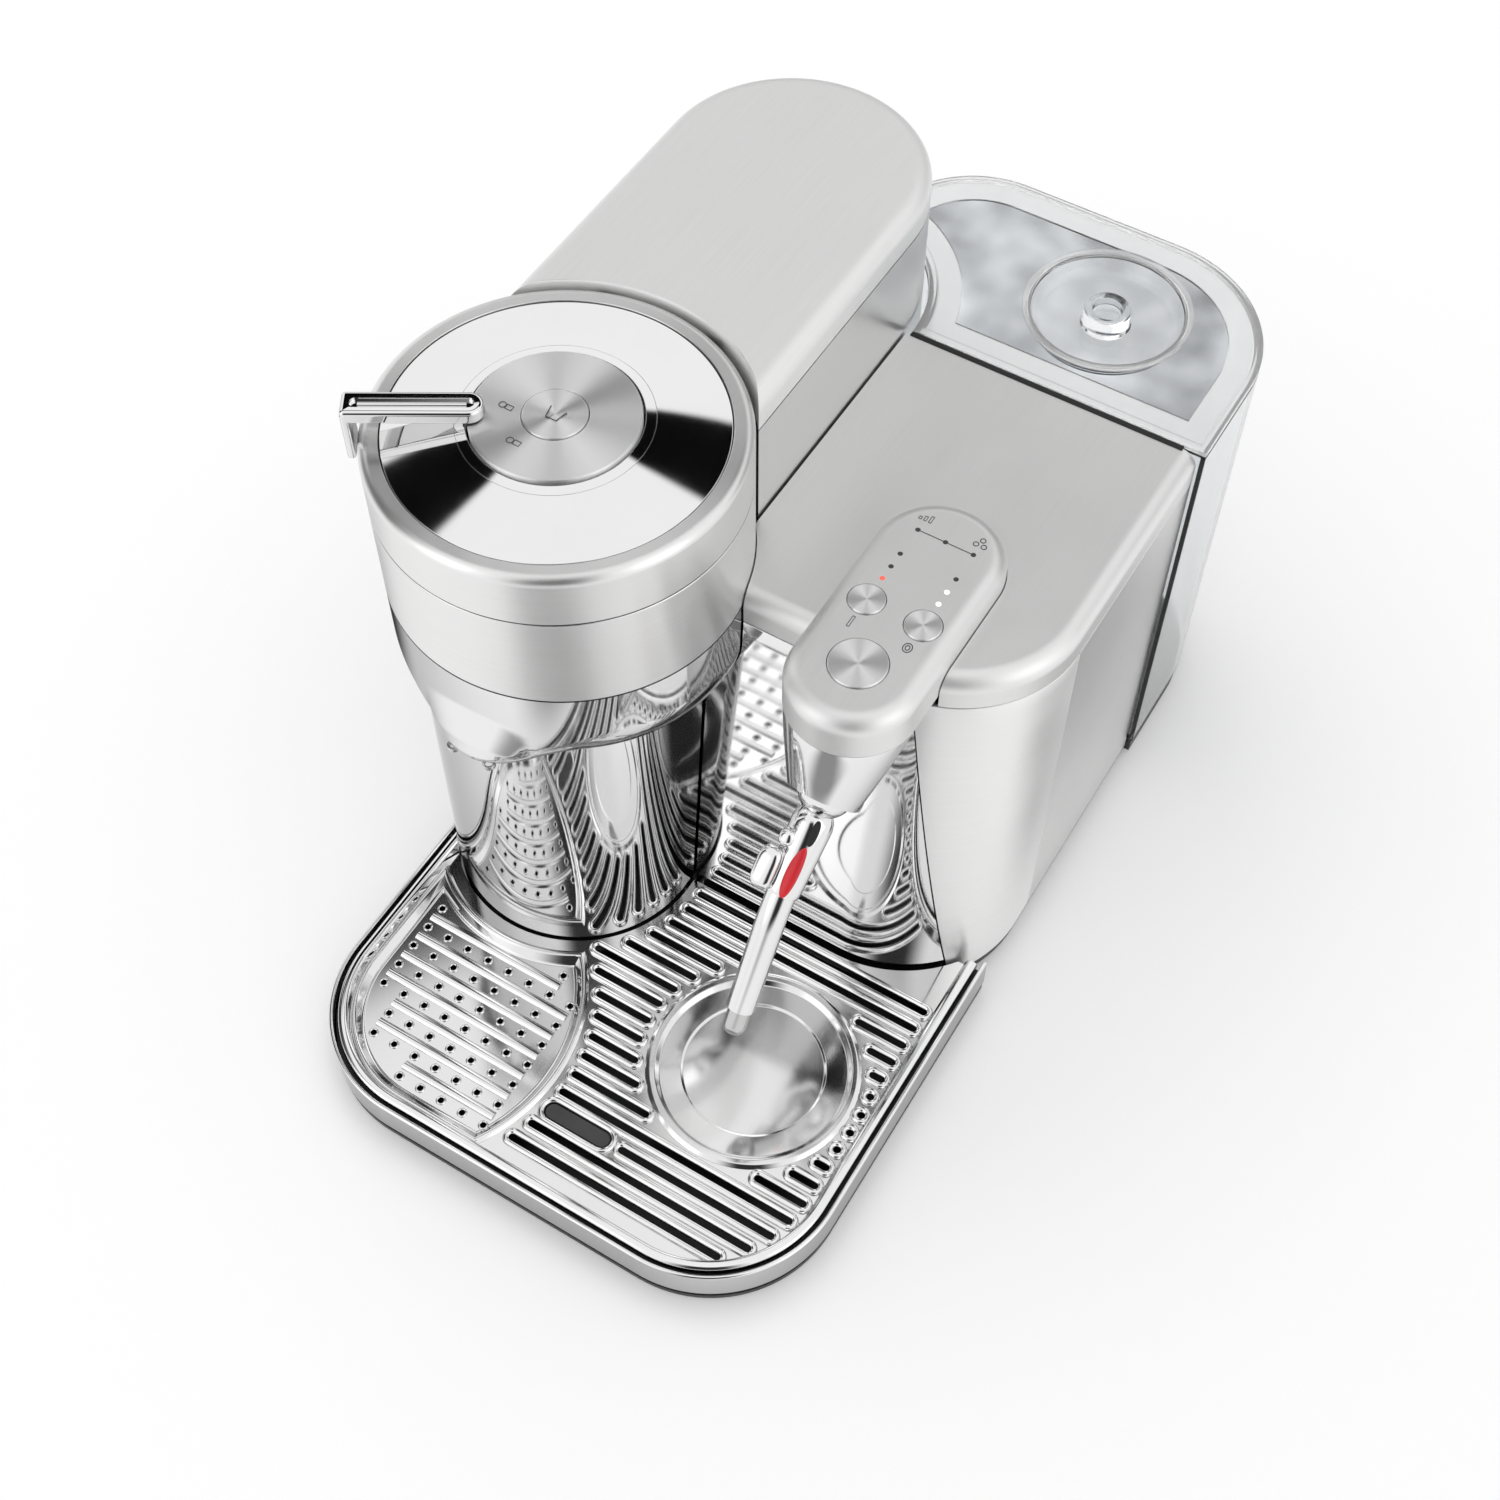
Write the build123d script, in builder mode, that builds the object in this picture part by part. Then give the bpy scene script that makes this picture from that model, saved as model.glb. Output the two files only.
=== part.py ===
"""Pod coffee machine with a spinning brew head, a steam wand, a drip tray and a clear water tank.

Millimetres, +Z up, -Y is the front. The origin is the middle of the footprint, on the worktop.
"""
import os
from math import cos, radians, sin, sqrt

from build123d import *

os.makedirs("parts", exist_ok=True)

# Overall plan
WIDTH = 254.0
DEPTH = 428.0
HEAD_R = 69.4
TOWER_HALF = 54.0
TRAY_REACH = 100.0
COLUMN_LEAD = 12.0
TANK_BEHIND = 47.0
TANK_DEPTH = 100.0
JUG_REACH = 159.5
TOWER_GAP = 0.8
TANK_GAP = 1.5
SIDE_INSET = 2.6

# Heights
FOOT_H = 3.0
BASE_T = 6.0
LID_SEAM = 190.0
HOUSING_TOP = 205.0
BOWL_BOTTOM = 153.0
BOWL_TOP = 198.8
BAND_TOP = 243.2
ARM_SEAM = 252.0
ARM_TOP = 266.5
RING_TOP = 267.0
DISC_TOP = 273.0
TANK_TOP = 203.0
CAP_LOW = 196.0
CAP_TOP = 215.0

# Walls, seams and fits
WALL = 1.8
SEAM = 0.5
SEAT = 0.3
RUN_FIT = 0.05
PRESS = 0.02
BASE_INSET = 1.0
FOOT_R = 9.0

# Steam housing
FRONT_LEAN = 18.0
CORNER_LOW = 57.3
CORNER_TOP = 51.0
LID_FILLET = 13.0
SIDE_SEAM_Y = 15.0
SPLASH_EDGE_LOW = 111.0
SPLASH_EDGE_TOP = 82.0

# Control cap and its buttons
CAP_HALF = 25.5
CAP_LENGTH = 112.5
CAP_OVERHANG = 39.0
CAP_INSET = 58.9
CAP_FILLET = 7.0
CAP_WALL = 2.0
MAIN_R = 11.0
SMALL_R = 7.0
MAIN_BACK = 27.5
SMALL_BACK = 54.0
SMALL_SPREAD = 11.5
BUTTON_PROUD = 0.6
BUTTON_TRAVEL = 1.0
LIGHT_R = 1.1

# Brew head
BOWL_FILLET = 24.0
BOWL_WALL = 2.5
NOSE_R = 21.0
NOSE_REACH = 56.0
NOSE_FILLET = 6.0
RING_FILLET = 7.0
RING_WALL = 2.5
DOME_R = HEAD_R - 7.9
DISC_R = 30.5
BREW_R = 11.7
BREW_TRAVEL = 1.2
COVER_GAP = 2.0
LEVER_ANGLE = 211.0
LEVER_W = 11.0
LEVER_INNER_R = 24.0
LEVER_OUTER_R = HEAD_R + 4.2
LEVER_H = 5.4
LEVER_GRIP_DROP = 23.0
GRIP_T = 3.0
PIN_R = 2.0
DECK_HOLE_R = 44.0

# Pod drive
HOLDER_R = 36.0
SPINDLE_R = 4.0
BEARING_R = 9.0
HOLDER_PULLEY_R = 20.0
MOTOR_PULLEY_R = 10.0
PULLEY_H = 9.0
BELT_T = 1.8
BELT_H = 7.0
MOTOR_R = 27.0
MOTOR_WALL = 5.0
MOTOR_CORE_R = 15.0
MOTOR_SHAFT_R = 3.0
MOTOR_Y = 105.0

# Tower bays
SPLIT_Y = -6.0
BAY_LENGTH = 74.0
FRAME_T = 3.0
SHELF_T = 4.0
CONTAINER_WALL = 2.0
CONTAINER_H = 132.0

# Steam wand
BALL_R = 11.0
BALL_Z = 158.0
HORN_WALL = 3.2
TUBE_R = 4.6
WAND_SLOT = 11.0
UPPER_RUN = 45.0
LOWER_RUN = 50.0
UPPER_ANGLE = 50.0
LOWER_ANGLE = 33.0
WAND_BEND_R = 70.0
TIP_LENGTH = 12.0

# Drip tray
TRAY_WIDTH = 233.0
TRAY_RIGHT_INSET = 1.0
TRAY_CORNER = 56.0
TRAY_REAR_Y = -28.0
TRAY_CLEAR = 0.8
TRAY_RIM = 24.0
SKIRT_T = 1.6
SKIRT_LOW = 4.5
PAN_LOW = 1.5
PAN_INSET = 2.1
PAN_WALL = 2.5
PAN_FLOOR = 2.2
GRID_INSET = 3.4
GRID_RIM_W = 4.0
GRID_T = 1.2
GRID_LEVEL = 18.8
LIP_H = 1.0
LIP_W = 1.7
SLOT_W = 3.6
ROW_PITCH = 9.0
ROW_FRONT = 18.5
JUG_X = 66.0
JUG_Y = -119.0
JUG_R = 44.0
WELL_R = 78.0
WELL_X = -78.0
WELL_Y = -165.0
WELL_SINK = 2.5
WELL_HOLE_R = 1.1
WELL_PITCH = 10.5
RIDGE_W = 4.0
RIDGE_H = 1.8
FLOAT_SLOT_L = 32.0
FLOAT_SLOT_W = 8.6
FLOAT_CLEAR = 1.0

# Water tank
TANK_WALL = 2.2
TANK_FLOOR = 2.5
TANK_LIFT = 1.0
TANK_CORNER = 58.0
TANK_LEFT_CORNER = 46.0
TANK_LEFT_REACH = 11.6
TOWER_CLEAR = 2.5
LID_T = 2.5
RECESS_R = 32.0
RECESS_DEPTH = 8.0
KNOB_R = 7.0
VALVE_R = 6.2

# Places worked out from the driving dimensions
FRONT_Y = -DEPTH / 2
REAR_Y = DEPTH / 2
BASE_TOP = FOOT_H + BASE_T
HEAD_X = -WIDTH / 2 + HEAD_R
COLUMN_Y = FRONT_Y + TRAY_REACH + TOWER_HALF
HEAD_Y = COLUMN_Y + COLUMN_LEAD
TOWER_REAR_Y = REAR_Y - TANK_BEHIND - TOWER_HALF
TOWER_RIGHT = HEAD_X + TOWER_HALF
TOWER_LEFT = HEAD_X - TOWER_HALF
HOUSING_LEFT = TOWER_RIGHT + TOWER_GAP
HOUSING_RIGHT = WIDTH / 2 - SIDE_INSET
HOUSING_REAR = REAR_Y - TANK_DEPTH - TANK_GAP
FRONT_LOW_Y = FRONT_Y + JUG_REACH
FRONT_TOP_Y = FRONT_LOW_Y + FRONT_LEAN
CAP_X = HOUSING_RIGHT - CAP_INSET
CAP_FRONT = FRONT_TOP_Y - CAP_OVERHANG
CAP_REAR = CAP_FRONT + CAP_LENGTH
CAP_MID = (CAP_FRONT + CAP_REAR) / 2
SHELF_TOP = BOWL_BOTTOM - 0.4
BAY_REAR = SPLIT_Y + BAY_LENGTH
HINGE_Y = HEAD_Y + HEAD_R - RING_FILLET
HINGE_Z = RING_TOP - RING_FILLET
NOSE_Y = HEAD_Y - NOSE_REACH
TRAY_RIGHT = WIDTH / 2 - TRAY_RIGHT_INSET
TRAY_LEFT = TRAY_RIGHT - TRAY_WIDTH
TANK_LOW = BASE_TOP + TANK_LIFT
TANK_LEFT = HEAD_X + TANK_LEFT_REACH
LID_X = WIDTH / 2 - 67.0
LID_Y = REAR_Y - 48.0
BALL_Y = CAP_FRONT + 9.5
BEARING_LOW = BOWL_BOTTOM + BOWL_WALL
PULLEY_LOW = BEARING_LOW + 16.5

BOTTOM = (Align.CENTER, Align.CENTER, Align.MIN)
HEAD_AXIS = Axis((HEAD_X, HEAD_Y, 0), (0, 0, 1))
HEAD_SECTION = Plane(origin=(HEAD_X, HEAD_Y, 0), x_dir=(1, 0, 0), z_dir=(0, -1, 0))


def save(piece, name):
    """Label a finished piece and write its file."""
    piece.part.label = name
    export_step(piece.part, f"parts/{name}.step")


def front_at(z):
    """Y of the leaning front of the steam housing at a height."""
    share = (z - BASE_TOP) / (LID_SEAM - BASE_TOP)
    return FRONT_LOW_Y + FRONT_LEAN * share


def corner_at(z):
    """Corner radius of the steam housing at a height."""
    share = (z - BASE_TOP) / (LID_SEAM - BASE_TOP)
    return CORNER_LOW + (CORNER_TOP - CORNER_LOW) * share


def housing_face(z, margin=0.0):
    """Plan of the steam housing at a height, grown by a margin."""
    left = HOUSING_LEFT - margin
    right = HOUSING_RIGHT + margin
    front = front_at(z) - margin
    rear = HOUSING_REAR + margin
    corner = corner_at(z) + margin
    bend = corner * (1 - sqrt(0.5))
    with BuildSketch(mode=Mode.PRIVATE) as plan:
        with BuildLine():
            Polyline(
                (right, front + corner),
                (right, rear),
                (left, rear),
                (left, front),
                (right - corner, front),
            )
            ThreePointArc((right - corner, front), (right - bend, front + bend), (right, front + corner))
        make_face()
    return plan.sketch


def tower_face(margin=0.0):
    """Round-ended plan of the brew tower, grown by a margin."""
    with BuildSketch(mode=Mode.PRIVATE) as plan:
        with Locations((HEAD_X, (COLUMN_Y + TOWER_REAR_Y) / 2)):
            SlotCenterToCenter(TOWER_REAR_Y - COLUMN_Y, 2 * (TOWER_HALF + margin), rotation=90)
    return plan.sketch


def cap_face(margin=0.0):
    """Round-ended plan of the control cap, grown by a margin."""
    with BuildSketch(mode=Mode.PRIVATE) as plan:
        with Locations((CAP_X, CAP_MID)):
            SlotCenterToCenter(CAP_LENGTH - 2 * CAP_HALF, 2 * (CAP_HALF + margin), rotation=90)
    return plan.sketch


def tank_face(margin=0.0):
    """Plan of the tank: a rounded block hollowed where it wraps the tower, grown by a margin."""
    right = WIDTH / 2 + margin
    rear = REAR_Y + margin
    front = REAR_Y - TANK_DEPTH - margin
    left = TANK_LEFT - margin
    corner = TANK_CORNER + margin
    left_corner = TANK_LEFT_CORNER + margin
    bend = corner * (1 - sqrt(0.5))
    left_bend = left_corner * (1 - sqrt(0.5))
    with BuildSketch(mode=Mode.PRIVATE) as plan:
        with BuildLine():
            Polyline((left, rear - left_corner), (left, front), (right, front), (right, rear - corner))
            ThreePointArc((right, rear - corner), (right - bend, rear - bend), (right - corner, rear))
            Line((right - corner, rear), (left + left_corner, rear))
            ThreePointArc(
                (left + left_corner, rear), (left + left_bend, rear - left_bend), (left, rear - left_corner)
            )
        make_face()
        add(tower_face(TOWER_CLEAR - margin), mode=Mode.SUBTRACT)
    return plan.sketch


def tray_face(margin=0.0):
    """Plan of the drip tray, round at the front and cut round the two towers."""
    left = TRAY_LEFT - margin
    right = TRAY_RIGHT + margin
    front = FRONT_Y - margin
    corner = TRAY_CORNER + margin
    bend = corner * (1 - sqrt(0.5))
    rear = TRAY_REAR_Y + margin
    with BuildSketch(mode=Mode.PRIVATE) as plan:
        with BuildLine():
            Polyline((right, front + corner), (right, rear), (left, rear), (left, front + corner))
            ThreePointArc((left, front + corner), (left + bend, front + bend), (left + corner, front))
            Line((left + corner, front), (right - corner, front))
            ThreePointArc((right - corner, front), (right - bend, front + bend), (right, front + corner))
        make_face()
        add(tower_face(TRAY_CLEAR - margin), mode=Mode.SUBTRACT)
        add(housing_face(BASE_TOP, TRAY_CLEAR - margin), mode=Mode.SUBTRACT)
    return plan.sketch


def block(low, high, mode=Mode.ADD):
    """A box between two corners."""
    size = [b - a for a, b in zip(low, high)]
    with Locations(tuple((a + b) / 2 for a, b in zip(low, high))):
        Box(*size, mode=mode)


def post(x, y, low, high, radius, mode=Mode.ADD):
    """An upright cylinder between two heights."""
    with Locations((x, y, low)):
        Cylinder(radius, high - low, align=BOTTOM, mode=mode)


# Base plate, feet and screws
with BuildPart() as base_plate:
    with BuildSketch(Plane.XY.offset(FOOT_H)):
        add(tower_face(-BASE_INSET))
        add(housing_face(BASE_TOP, -BASE_INSET))
        add(tank_face(-BASE_INSET))
        block_gap = TOWER_GAP + TANK_GAP + TOWER_CLEAR + 4 * BASE_INSET
        with Locations((TOWER_RIGHT, (FRONT_TOP_Y + TOWER_REAR_Y) / 2)):
            Rectangle(2 * block_gap, TOWER_REAR_Y - FRONT_TOP_Y)
        with Locations(((HOUSING_LEFT + HOUSING_RIGHT) / 2, HOUSING_REAR)):
            Rectangle(HOUSING_RIGHT - HOUSING_LEFT - 2 * BASE_INSET, 2 * block_gap)
    extrude(amount=BASE_T)
save(base_plate, "base_plate")

FOOT_SPOTS = [
    (HEAD_X, COLUMN_Y - TOWER_HALF / 3),
    (HEAD_X, TOWER_REAR_Y + TOWER_HALF / 6),
    (HOUSING_RIGHT - 2 * FOOT_R - 10, FRONT_LOW_Y + 4 * FOOT_R),
    (HOUSING_RIGHT - 2 * FOOT_R - 10, REAR_Y - 4 * FOOT_R),
]
with BuildPart() as rubber_feet:
    with Locations(*[(x, y, 0) for x, y in FOOT_SPOTS]):
        Cylinder(FOOT_R, FOOT_H, align=BOTTOM)
save(rubber_feet, "rubber_feet")

SCREW_SPOTS = [(x, y + 2.5 * FOOT_R) for x, y in FOOT_SPOTS[:3]]
SCREW_R = 3.2
SCREW_HEAD_H = 1.6
with BuildPart() as base_screws:
    with Locations(*[(x, y, FOOT_H - SCREW_HEAD_H) for x, y in SCREW_SPOTS]):
        Cylinder(SCREW_R, SCREW_HEAD_H, align=BOTTOM)
save(base_screws, "base_screws")

# Brew tower: shell, polished column and arm cover
GLAND_ANGLE = 135.0
GLAND_Z = 28.0
GLAND_R = 7.0
GLAND_PLANE = Plane(
    origin=(
        HEAD_X + (TOWER_HALF - WALL) * cos(radians(GLAND_ANGLE)),
        TOWER_REAR_Y + (TOWER_HALF - WALL) * sin(radians(GLAND_ANGLE)),
        GLAND_Z,
    ),
    x_dir=(0, 0, 1),
    z_dir=(cos(radians(GLAND_ANGLE)), sin(radians(GLAND_ANGLE)), 0),
)
CONTAINER_LOW = BASE_TOP + SEAT
CONTAINER_TOP = CONTAINER_LOW + CONTAINER_H
with BuildPart() as tower_shell:
    with BuildSketch(Plane.XY.offset(BASE_TOP)):
        add(tower_face())
        add(tower_face(-WALL), mode=Mode.SUBTRACT)
    extrude(amount=ARM_SEAM - SEAM - BASE_TOP)
    block(
        (TOWER_LEFT - 1, COLUMN_Y - TOWER_HALF - 1, 0),
        (TOWER_RIGHT + 1, SPLIT_Y, RING_TOP),
        Mode.SUBTRACT,
    )
    post(HEAD_X, HEAD_Y, SHELF_TOP, RING_TOP, HEAD_R + COVER_GAP, Mode.SUBTRACT)
    block(
        (TOWER_LEFT - 1, SPLIT_Y - 1, BASE_TOP - 1),
        (TOWER_LEFT + 2 * WALL, BAY_REAR, CONTAINER_TOP + SEAM),
        Mode.SUBTRACT,
    )
    with BuildSketch(GLAND_PLANE):
        Circle(GLAND_R + PRESS)
    extrude(amount=4 * WALL, both=True, mode=Mode.SUBTRACT)
save(tower_shell, "tower_shell")

CORD_R = 3.6
with BuildPart() as cord_gland:
    with BuildSketch(GLAND_PLANE.offset(-WALL)):
        Circle(GLAND_R)
        Circle(CORD_R, mode=Mode.SUBTRACT)
    extrude(amount=3 * WALL)
    with BuildSketch(GLAND_PLANE.offset(2 * WALL)):
        Circle(GLAND_R + 2 * WALL)
        Circle(CORD_R, mode=Mode.SUBTRACT)
    extrude(amount=WALL)
save(cord_gland, "cord_gland")

with BuildPart() as column_front:
    with BuildSketch(Plane.XY.offset(BASE_TOP)):
        add(tower_face())
        add(tower_face(-WALL), mode=Mode.SUBTRACT)
    extrude(amount=SHELF_TOP - BASE_TOP)
    block(
        (TOWER_LEFT - 1, SPLIT_Y - SEAM, 0),
        (TOWER_RIGHT + 1, REAR_Y, RING_TOP),
        Mode.SUBTRACT,
    )
save(column_front, "column_front")

ARM_FILLET = 11.0
with BuildPart() as arm_core:
    with BuildSketch(Plane.XY.offset(ARM_SEAM - SEAM)):
        add(tower_face(-WALL))
    extrude(amount=ARM_TOP - WALL - ARM_SEAM + SEAM)
    fillet(arm_core.faces().sort_by(Axis.Z)[-1].edges(), ARM_FILLET - WALL)

with BuildPart() as arm_top:
    with BuildSketch(Plane.XY.offset(ARM_SEAM)):
        add(tower_face())
    extrude(amount=ARM_TOP - ARM_SEAM)
    fillet(arm_top.faces().sort_by(Axis.Z)[-1].edges(), ARM_FILLET)
    add(arm_core.part, mode=Mode.SUBTRACT)
    post(HEAD_X, HEAD_Y, 0, 2 * RING_TOP, HEAD_R + COVER_GAP, Mode.SUBTRACT)
    block(
        (TOWER_LEFT - 1, COLUMN_Y - TOWER_HALF - 1, 0),
        (TOWER_RIGHT + 1, HEAD_Y, 2 * RING_TOP),
        Mode.SUBTRACT,
    )
save(arm_top, "arm_top")

# Tower frame: bulkhead behind the pod bay, shelf under the bowl, shelf under the motor
FRAME_HALF = TOWER_HALF - WALL - SEAT
MOTOR_LOW = BASE_TOP + 62.0
BELT_LOW = PULLEY_LOW + (PULLEY_H - BELT_H) / 2
CHUTE_HALF = 30.0
with BuildPart() as tower_frame:
    with BuildSketch(Plane.XY.offset(SHELF_TOP - SHELF_T)):
        add(tower_face(-WALL - SEAT))
        with Locations((HEAD_X, BAY_REAR + REAR_Y / 2)):
            Rectangle(4 * TOWER_HALF, REAR_Y, mode=Mode.SUBTRACT)
        with Locations((HEAD_X, (SPLIT_Y + BAY_REAR) / 2)):
            Rectangle(2 * CHUTE_HALF, BAY_LENGTH - 4 * FRAME_T, mode=Mode.SUBTRACT)
    extrude(amount=SHELF_T)
    block(
        (HEAD_X - FRAME_HALF, BAY_REAR, BASE_TOP),
        (HEAD_X + FRAME_HALF, BAY_REAR + FRAME_T, ARM_SEAM - SHELF_T),
    )
    with BuildSketch(Plane.XY.offset(MOTOR_LOW - SHELF_T)):
        add(tower_face(-WALL - SEAT))
        with Locations((HEAD_X, BAY_REAR - REAR_Y / 2)):
            Rectangle(4 * TOWER_HALF, REAR_Y, mode=Mode.SUBTRACT)
    extrude(amount=SHELF_T)
    block(
        (HEAD_X - HOLDER_PULLEY_R - 6, BAY_REAR - 1, BELT_LOW - 5),
        (HEAD_X + HOLDER_PULLEY_R + 6, BAY_REAR + FRAME_T + 1, BELT_LOW + BELT_H + 5),
        Mode.SUBTRACT,
    )
save(tower_frame, "tower_frame")

# Used-pod container, drawn out to the left
CONTAINER_RIGHT = TOWER_RIGHT - 5 * WALL
CONTAINER_FRONT = SPLIT_Y + SEAM
CONTAINER_REAR = BAY_REAR - SEAM
GRIP_H = 16.0
with BuildPart() as pod_container:
    block(
        (TOWER_LEFT, CONTAINER_FRONT, CONTAINER_LOW),
        (CONTAINER_RIGHT, CONTAINER_REAR, CONTAINER_TOP),
    )
    block(
        (TOWER_LEFT + 6 * CONTAINER_WALL, CONTAINER_FRONT + CONTAINER_WALL, CONTAINER_LOW + CONTAINER_WALL),
        (CONTAINER_RIGHT - CONTAINER_WALL, CONTAINER_REAR - CONTAINER_WALL, RING_TOP),
        Mode.SUBTRACT,
    )
    grip_mid = (CONTAINER_FRONT + CONTAINER_REAR) / 2
    block(
        (TOWER_LEFT - 1, grip_mid - 2 * GRIP_H, CONTAINER_TOP - 3 * GRIP_H),
        (TOWER_LEFT + 5 * CONTAINER_WALL, grip_mid + 2 * GRIP_H, CONTAINER_TOP - 2 * GRIP_H),
        Mode.SUBTRACT,
    )
save(pod_container, "pod_container")

# Brew head: bowl with the pouring nose, outlets and band
LOFT_TOP = BOWL_TOP - 7.0


def bowl_body(wall):
    """The bowl and its nose, drawn in by a wall."""
    low = BOWL_BOTTOM + wall
    radius = HEAD_R - wall
    round_off = BOWL_FILLET - wall
    bend = round_off * (1 - sqrt(0.5))
    top = BOWL_TOP + wall
    with BuildPart(mode=Mode.PRIVATE) as body:
        with BuildSketch(HEAD_SECTION):
            with BuildLine():
                Polyline(
                    (radius, low + round_off),
                    (radius, top),
                    (0, top),
                    (0, low),
                    (radius - round_off, low),
                )
                ThreePointArc(
                    (radius - round_off, low), (radius - bend, low + bend), (radius, low + round_off)
                )
            make_face()
        revolve(axis=HEAD_AXIS)
    with BuildPart(mode=Mode.PRIVATE) as nose:
        with BuildSketch(Plane.XY.offset(LOFT_TOP)):
            with Locations((HEAD_X, HEAD_Y)):
                Circle(HEAD_R - 3.0 - wall)
        with BuildSketch(Plane.XY.offset(BOWL_BOTTOM + SEAM + wall)):
            with Locations((HEAD_X, NOSE_Y)):
                Circle(NOSE_R - wall)
        loft()
        fillet(nose.faces().sort_by(Axis.Z)[0].edges(), NOSE_FILLET - wall)
    return body.part, nose.part


bowl_outer, nose_outer = bowl_body(0.0)
bowl_inner, nose_inner = bowl_body(BOWL_WALL)
OUTLET_R = 3.5
OUTLET_SPREAD = 8.0
OUTLET_Y = COLUMN_Y - TOWER_HALF - OUTLET_R - 2.0
BELT_SLOT_HALF = HOLDER_PULLEY_R + 4.0
with BuildPart() as head_bowl:
    add(bowl_outer)
    add(nose_outer)
    add(bowl_inner, mode=Mode.SUBTRACT)
    add(nose_inner, mode=Mode.SUBTRACT)
    post(HEAD_X, HEAD_Y, BOWL_BOTTOM + BOWL_WALL / 2, BEARING_LOW + 8, BEARING_R + 3)
    post(HEAD_X, HEAD_Y, BEARING_LOW, BEARING_LOW + 9, BEARING_R + PRESS, Mode.SUBTRACT)
    block(
        (HEAD_X - BELT_SLOT_HALF, HEAD_Y, BELT_LOW - 4),
        (HEAD_X + BELT_SLOT_HALF, HEAD_Y + 2 * HEAD_R, BELT_LOW + BELT_H + 4),
        Mode.SUBTRACT,
    )
    with Locations(*[(HEAD_X + s * OUTLET_SPREAD, OUTLET_Y, BOWL_BOTTOM) for s in (-1, 1)]):
        Cylinder(OUTLET_R + PRESS, 4 * BOWL_WALL, mode=Mode.SUBTRACT)
save(head_bowl, "head_bowl")

OUTLET_DROP = 4.0
OUTLET_BORE = 2.2
with BuildPart() as coffee_outlets:
    with Locations(*[(HEAD_X + s * OUTLET_SPREAD, OUTLET_Y, BOWL_BOTTOM - OUTLET_DROP) for s in (-1, 1)]):
        Cylinder(OUTLET_R, OUTLET_DROP + BOWL_WALL + SEAM, align=BOTTOM)
        Cylinder(OUTLET_BORE, 4 * OUTLET_DROP, mode=Mode.SUBTRACT)
save(coffee_outlets, "coffee_outlets")

with BuildPart() as head_band:
    post(HEAD_X, HEAD_Y, BOWL_TOP + SEAM, BAND_TOP, HEAD_R)
    post(HEAD_X, HEAD_Y, BOWL_TOP, BAND_TOP + 1, HEAD_R - RING_WALL, Mode.SUBTRACT)
save(head_band, "head_band")

# Brew deck with the hinge bracket, seen when the cover is open
BRACKET_HALF = 8.0
BRACKET_R = 4.5
DECK_T = 3.0
DECK_TOP = BAND_TOP - 0.6
DECK_WALL = 2.5
with BuildPart() as brew_deck:
    post(HEAD_X, HEAD_Y, DECK_TOP - DECK_T, DECK_TOP, HEAD_R - RING_WALL - SEAT)
    post(HEAD_X, HEAD_Y, BOWL_TOP - 6, DECK_TOP - DECK_T, DECK_HOLE_R + DECK_WALL)
    post(HEAD_X, HEAD_Y, BOWL_TOP - 7, DECK_TOP + 1, DECK_HOLE_R, Mode.SUBTRACT)
    block(
        (HEAD_X - BRACKET_HALF, HINGE_Y - BRACKET_R, DECK_TOP - DECK_T),
        (HEAD_X + BRACKET_HALF, HINGE_Y + BRACKET_R / 3, HINGE_Z),
    )
    with Locations(Location((HEAD_X, HINGE_Y, HINGE_Z), (0, 90, 0))):
        Cylinder(BRACKET_R, 2 * BRACKET_HALF)
        Cylinder(PIN_R + RUN_FIT, 4 * BRACKET_HALF, mode=Mode.SUBTRACT)
save(brew_deck, "brew_deck")

# Pod drive: holder on its spindle, bearing, pulleys, belt and motor
HOLDER_TOP = BAND_TOP - 2.7
HOLDER_LOW = PULLEY_LOW + PULLEY_H + 5.0
HOLDER_WALL = 2.0
HOLDER_LIP = 5.0
with BuildPart() as pod_holder:
    post(HEAD_X, HEAD_Y, HOLDER_LOW, HOLDER_TOP, HOLDER_R)
    post(HEAD_X, HEAD_Y, HOLDER_TOP - HOLDER_WALL, HOLDER_TOP, HOLDER_R + HOLDER_LIP)
    post(HEAD_X, HEAD_Y, HOLDER_LOW + HOLDER_WALL, RING_TOP, HOLDER_R - HOLDER_WALL, Mode.SUBTRACT)
    post(HEAD_X, HEAD_Y, BEARING_LOW + SEAT, HOLDER_LOW + HOLDER_WALL, SPINDLE_R)
save(pod_holder, "pod_holder")

with BuildPart() as spindle_bearing:
    post(HEAD_X, HEAD_Y, BEARING_LOW, BEARING_LOW + 7, BEARING_R)
    post(HEAD_X, HEAD_Y, BEARING_LOW - 1, BEARING_LOW + 8, SPINDLE_R + RUN_FIT, Mode.SUBTRACT)
save(spindle_bearing, "spindle_bearing")

FLANGE_T = (PULLEY_H - BELT_H) / 2 - SEAT
with BuildPart() as holder_pulley:
    post(HEAD_X, HEAD_Y, PULLEY_LOW, PULLEY_LOW + PULLEY_H, HOLDER_PULLEY_R)
    post(HEAD_X, HEAD_Y, PULLEY_LOW, PULLEY_LOW + FLANGE_T, HOLDER_PULLEY_R + BELT_T)
    post(HEAD_X, HEAD_Y, PULLEY_LOW - 1, RING_TOP, SPINDLE_R + PRESS, Mode.SUBTRACT)
save(holder_pulley, "holder_pulley")

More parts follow.
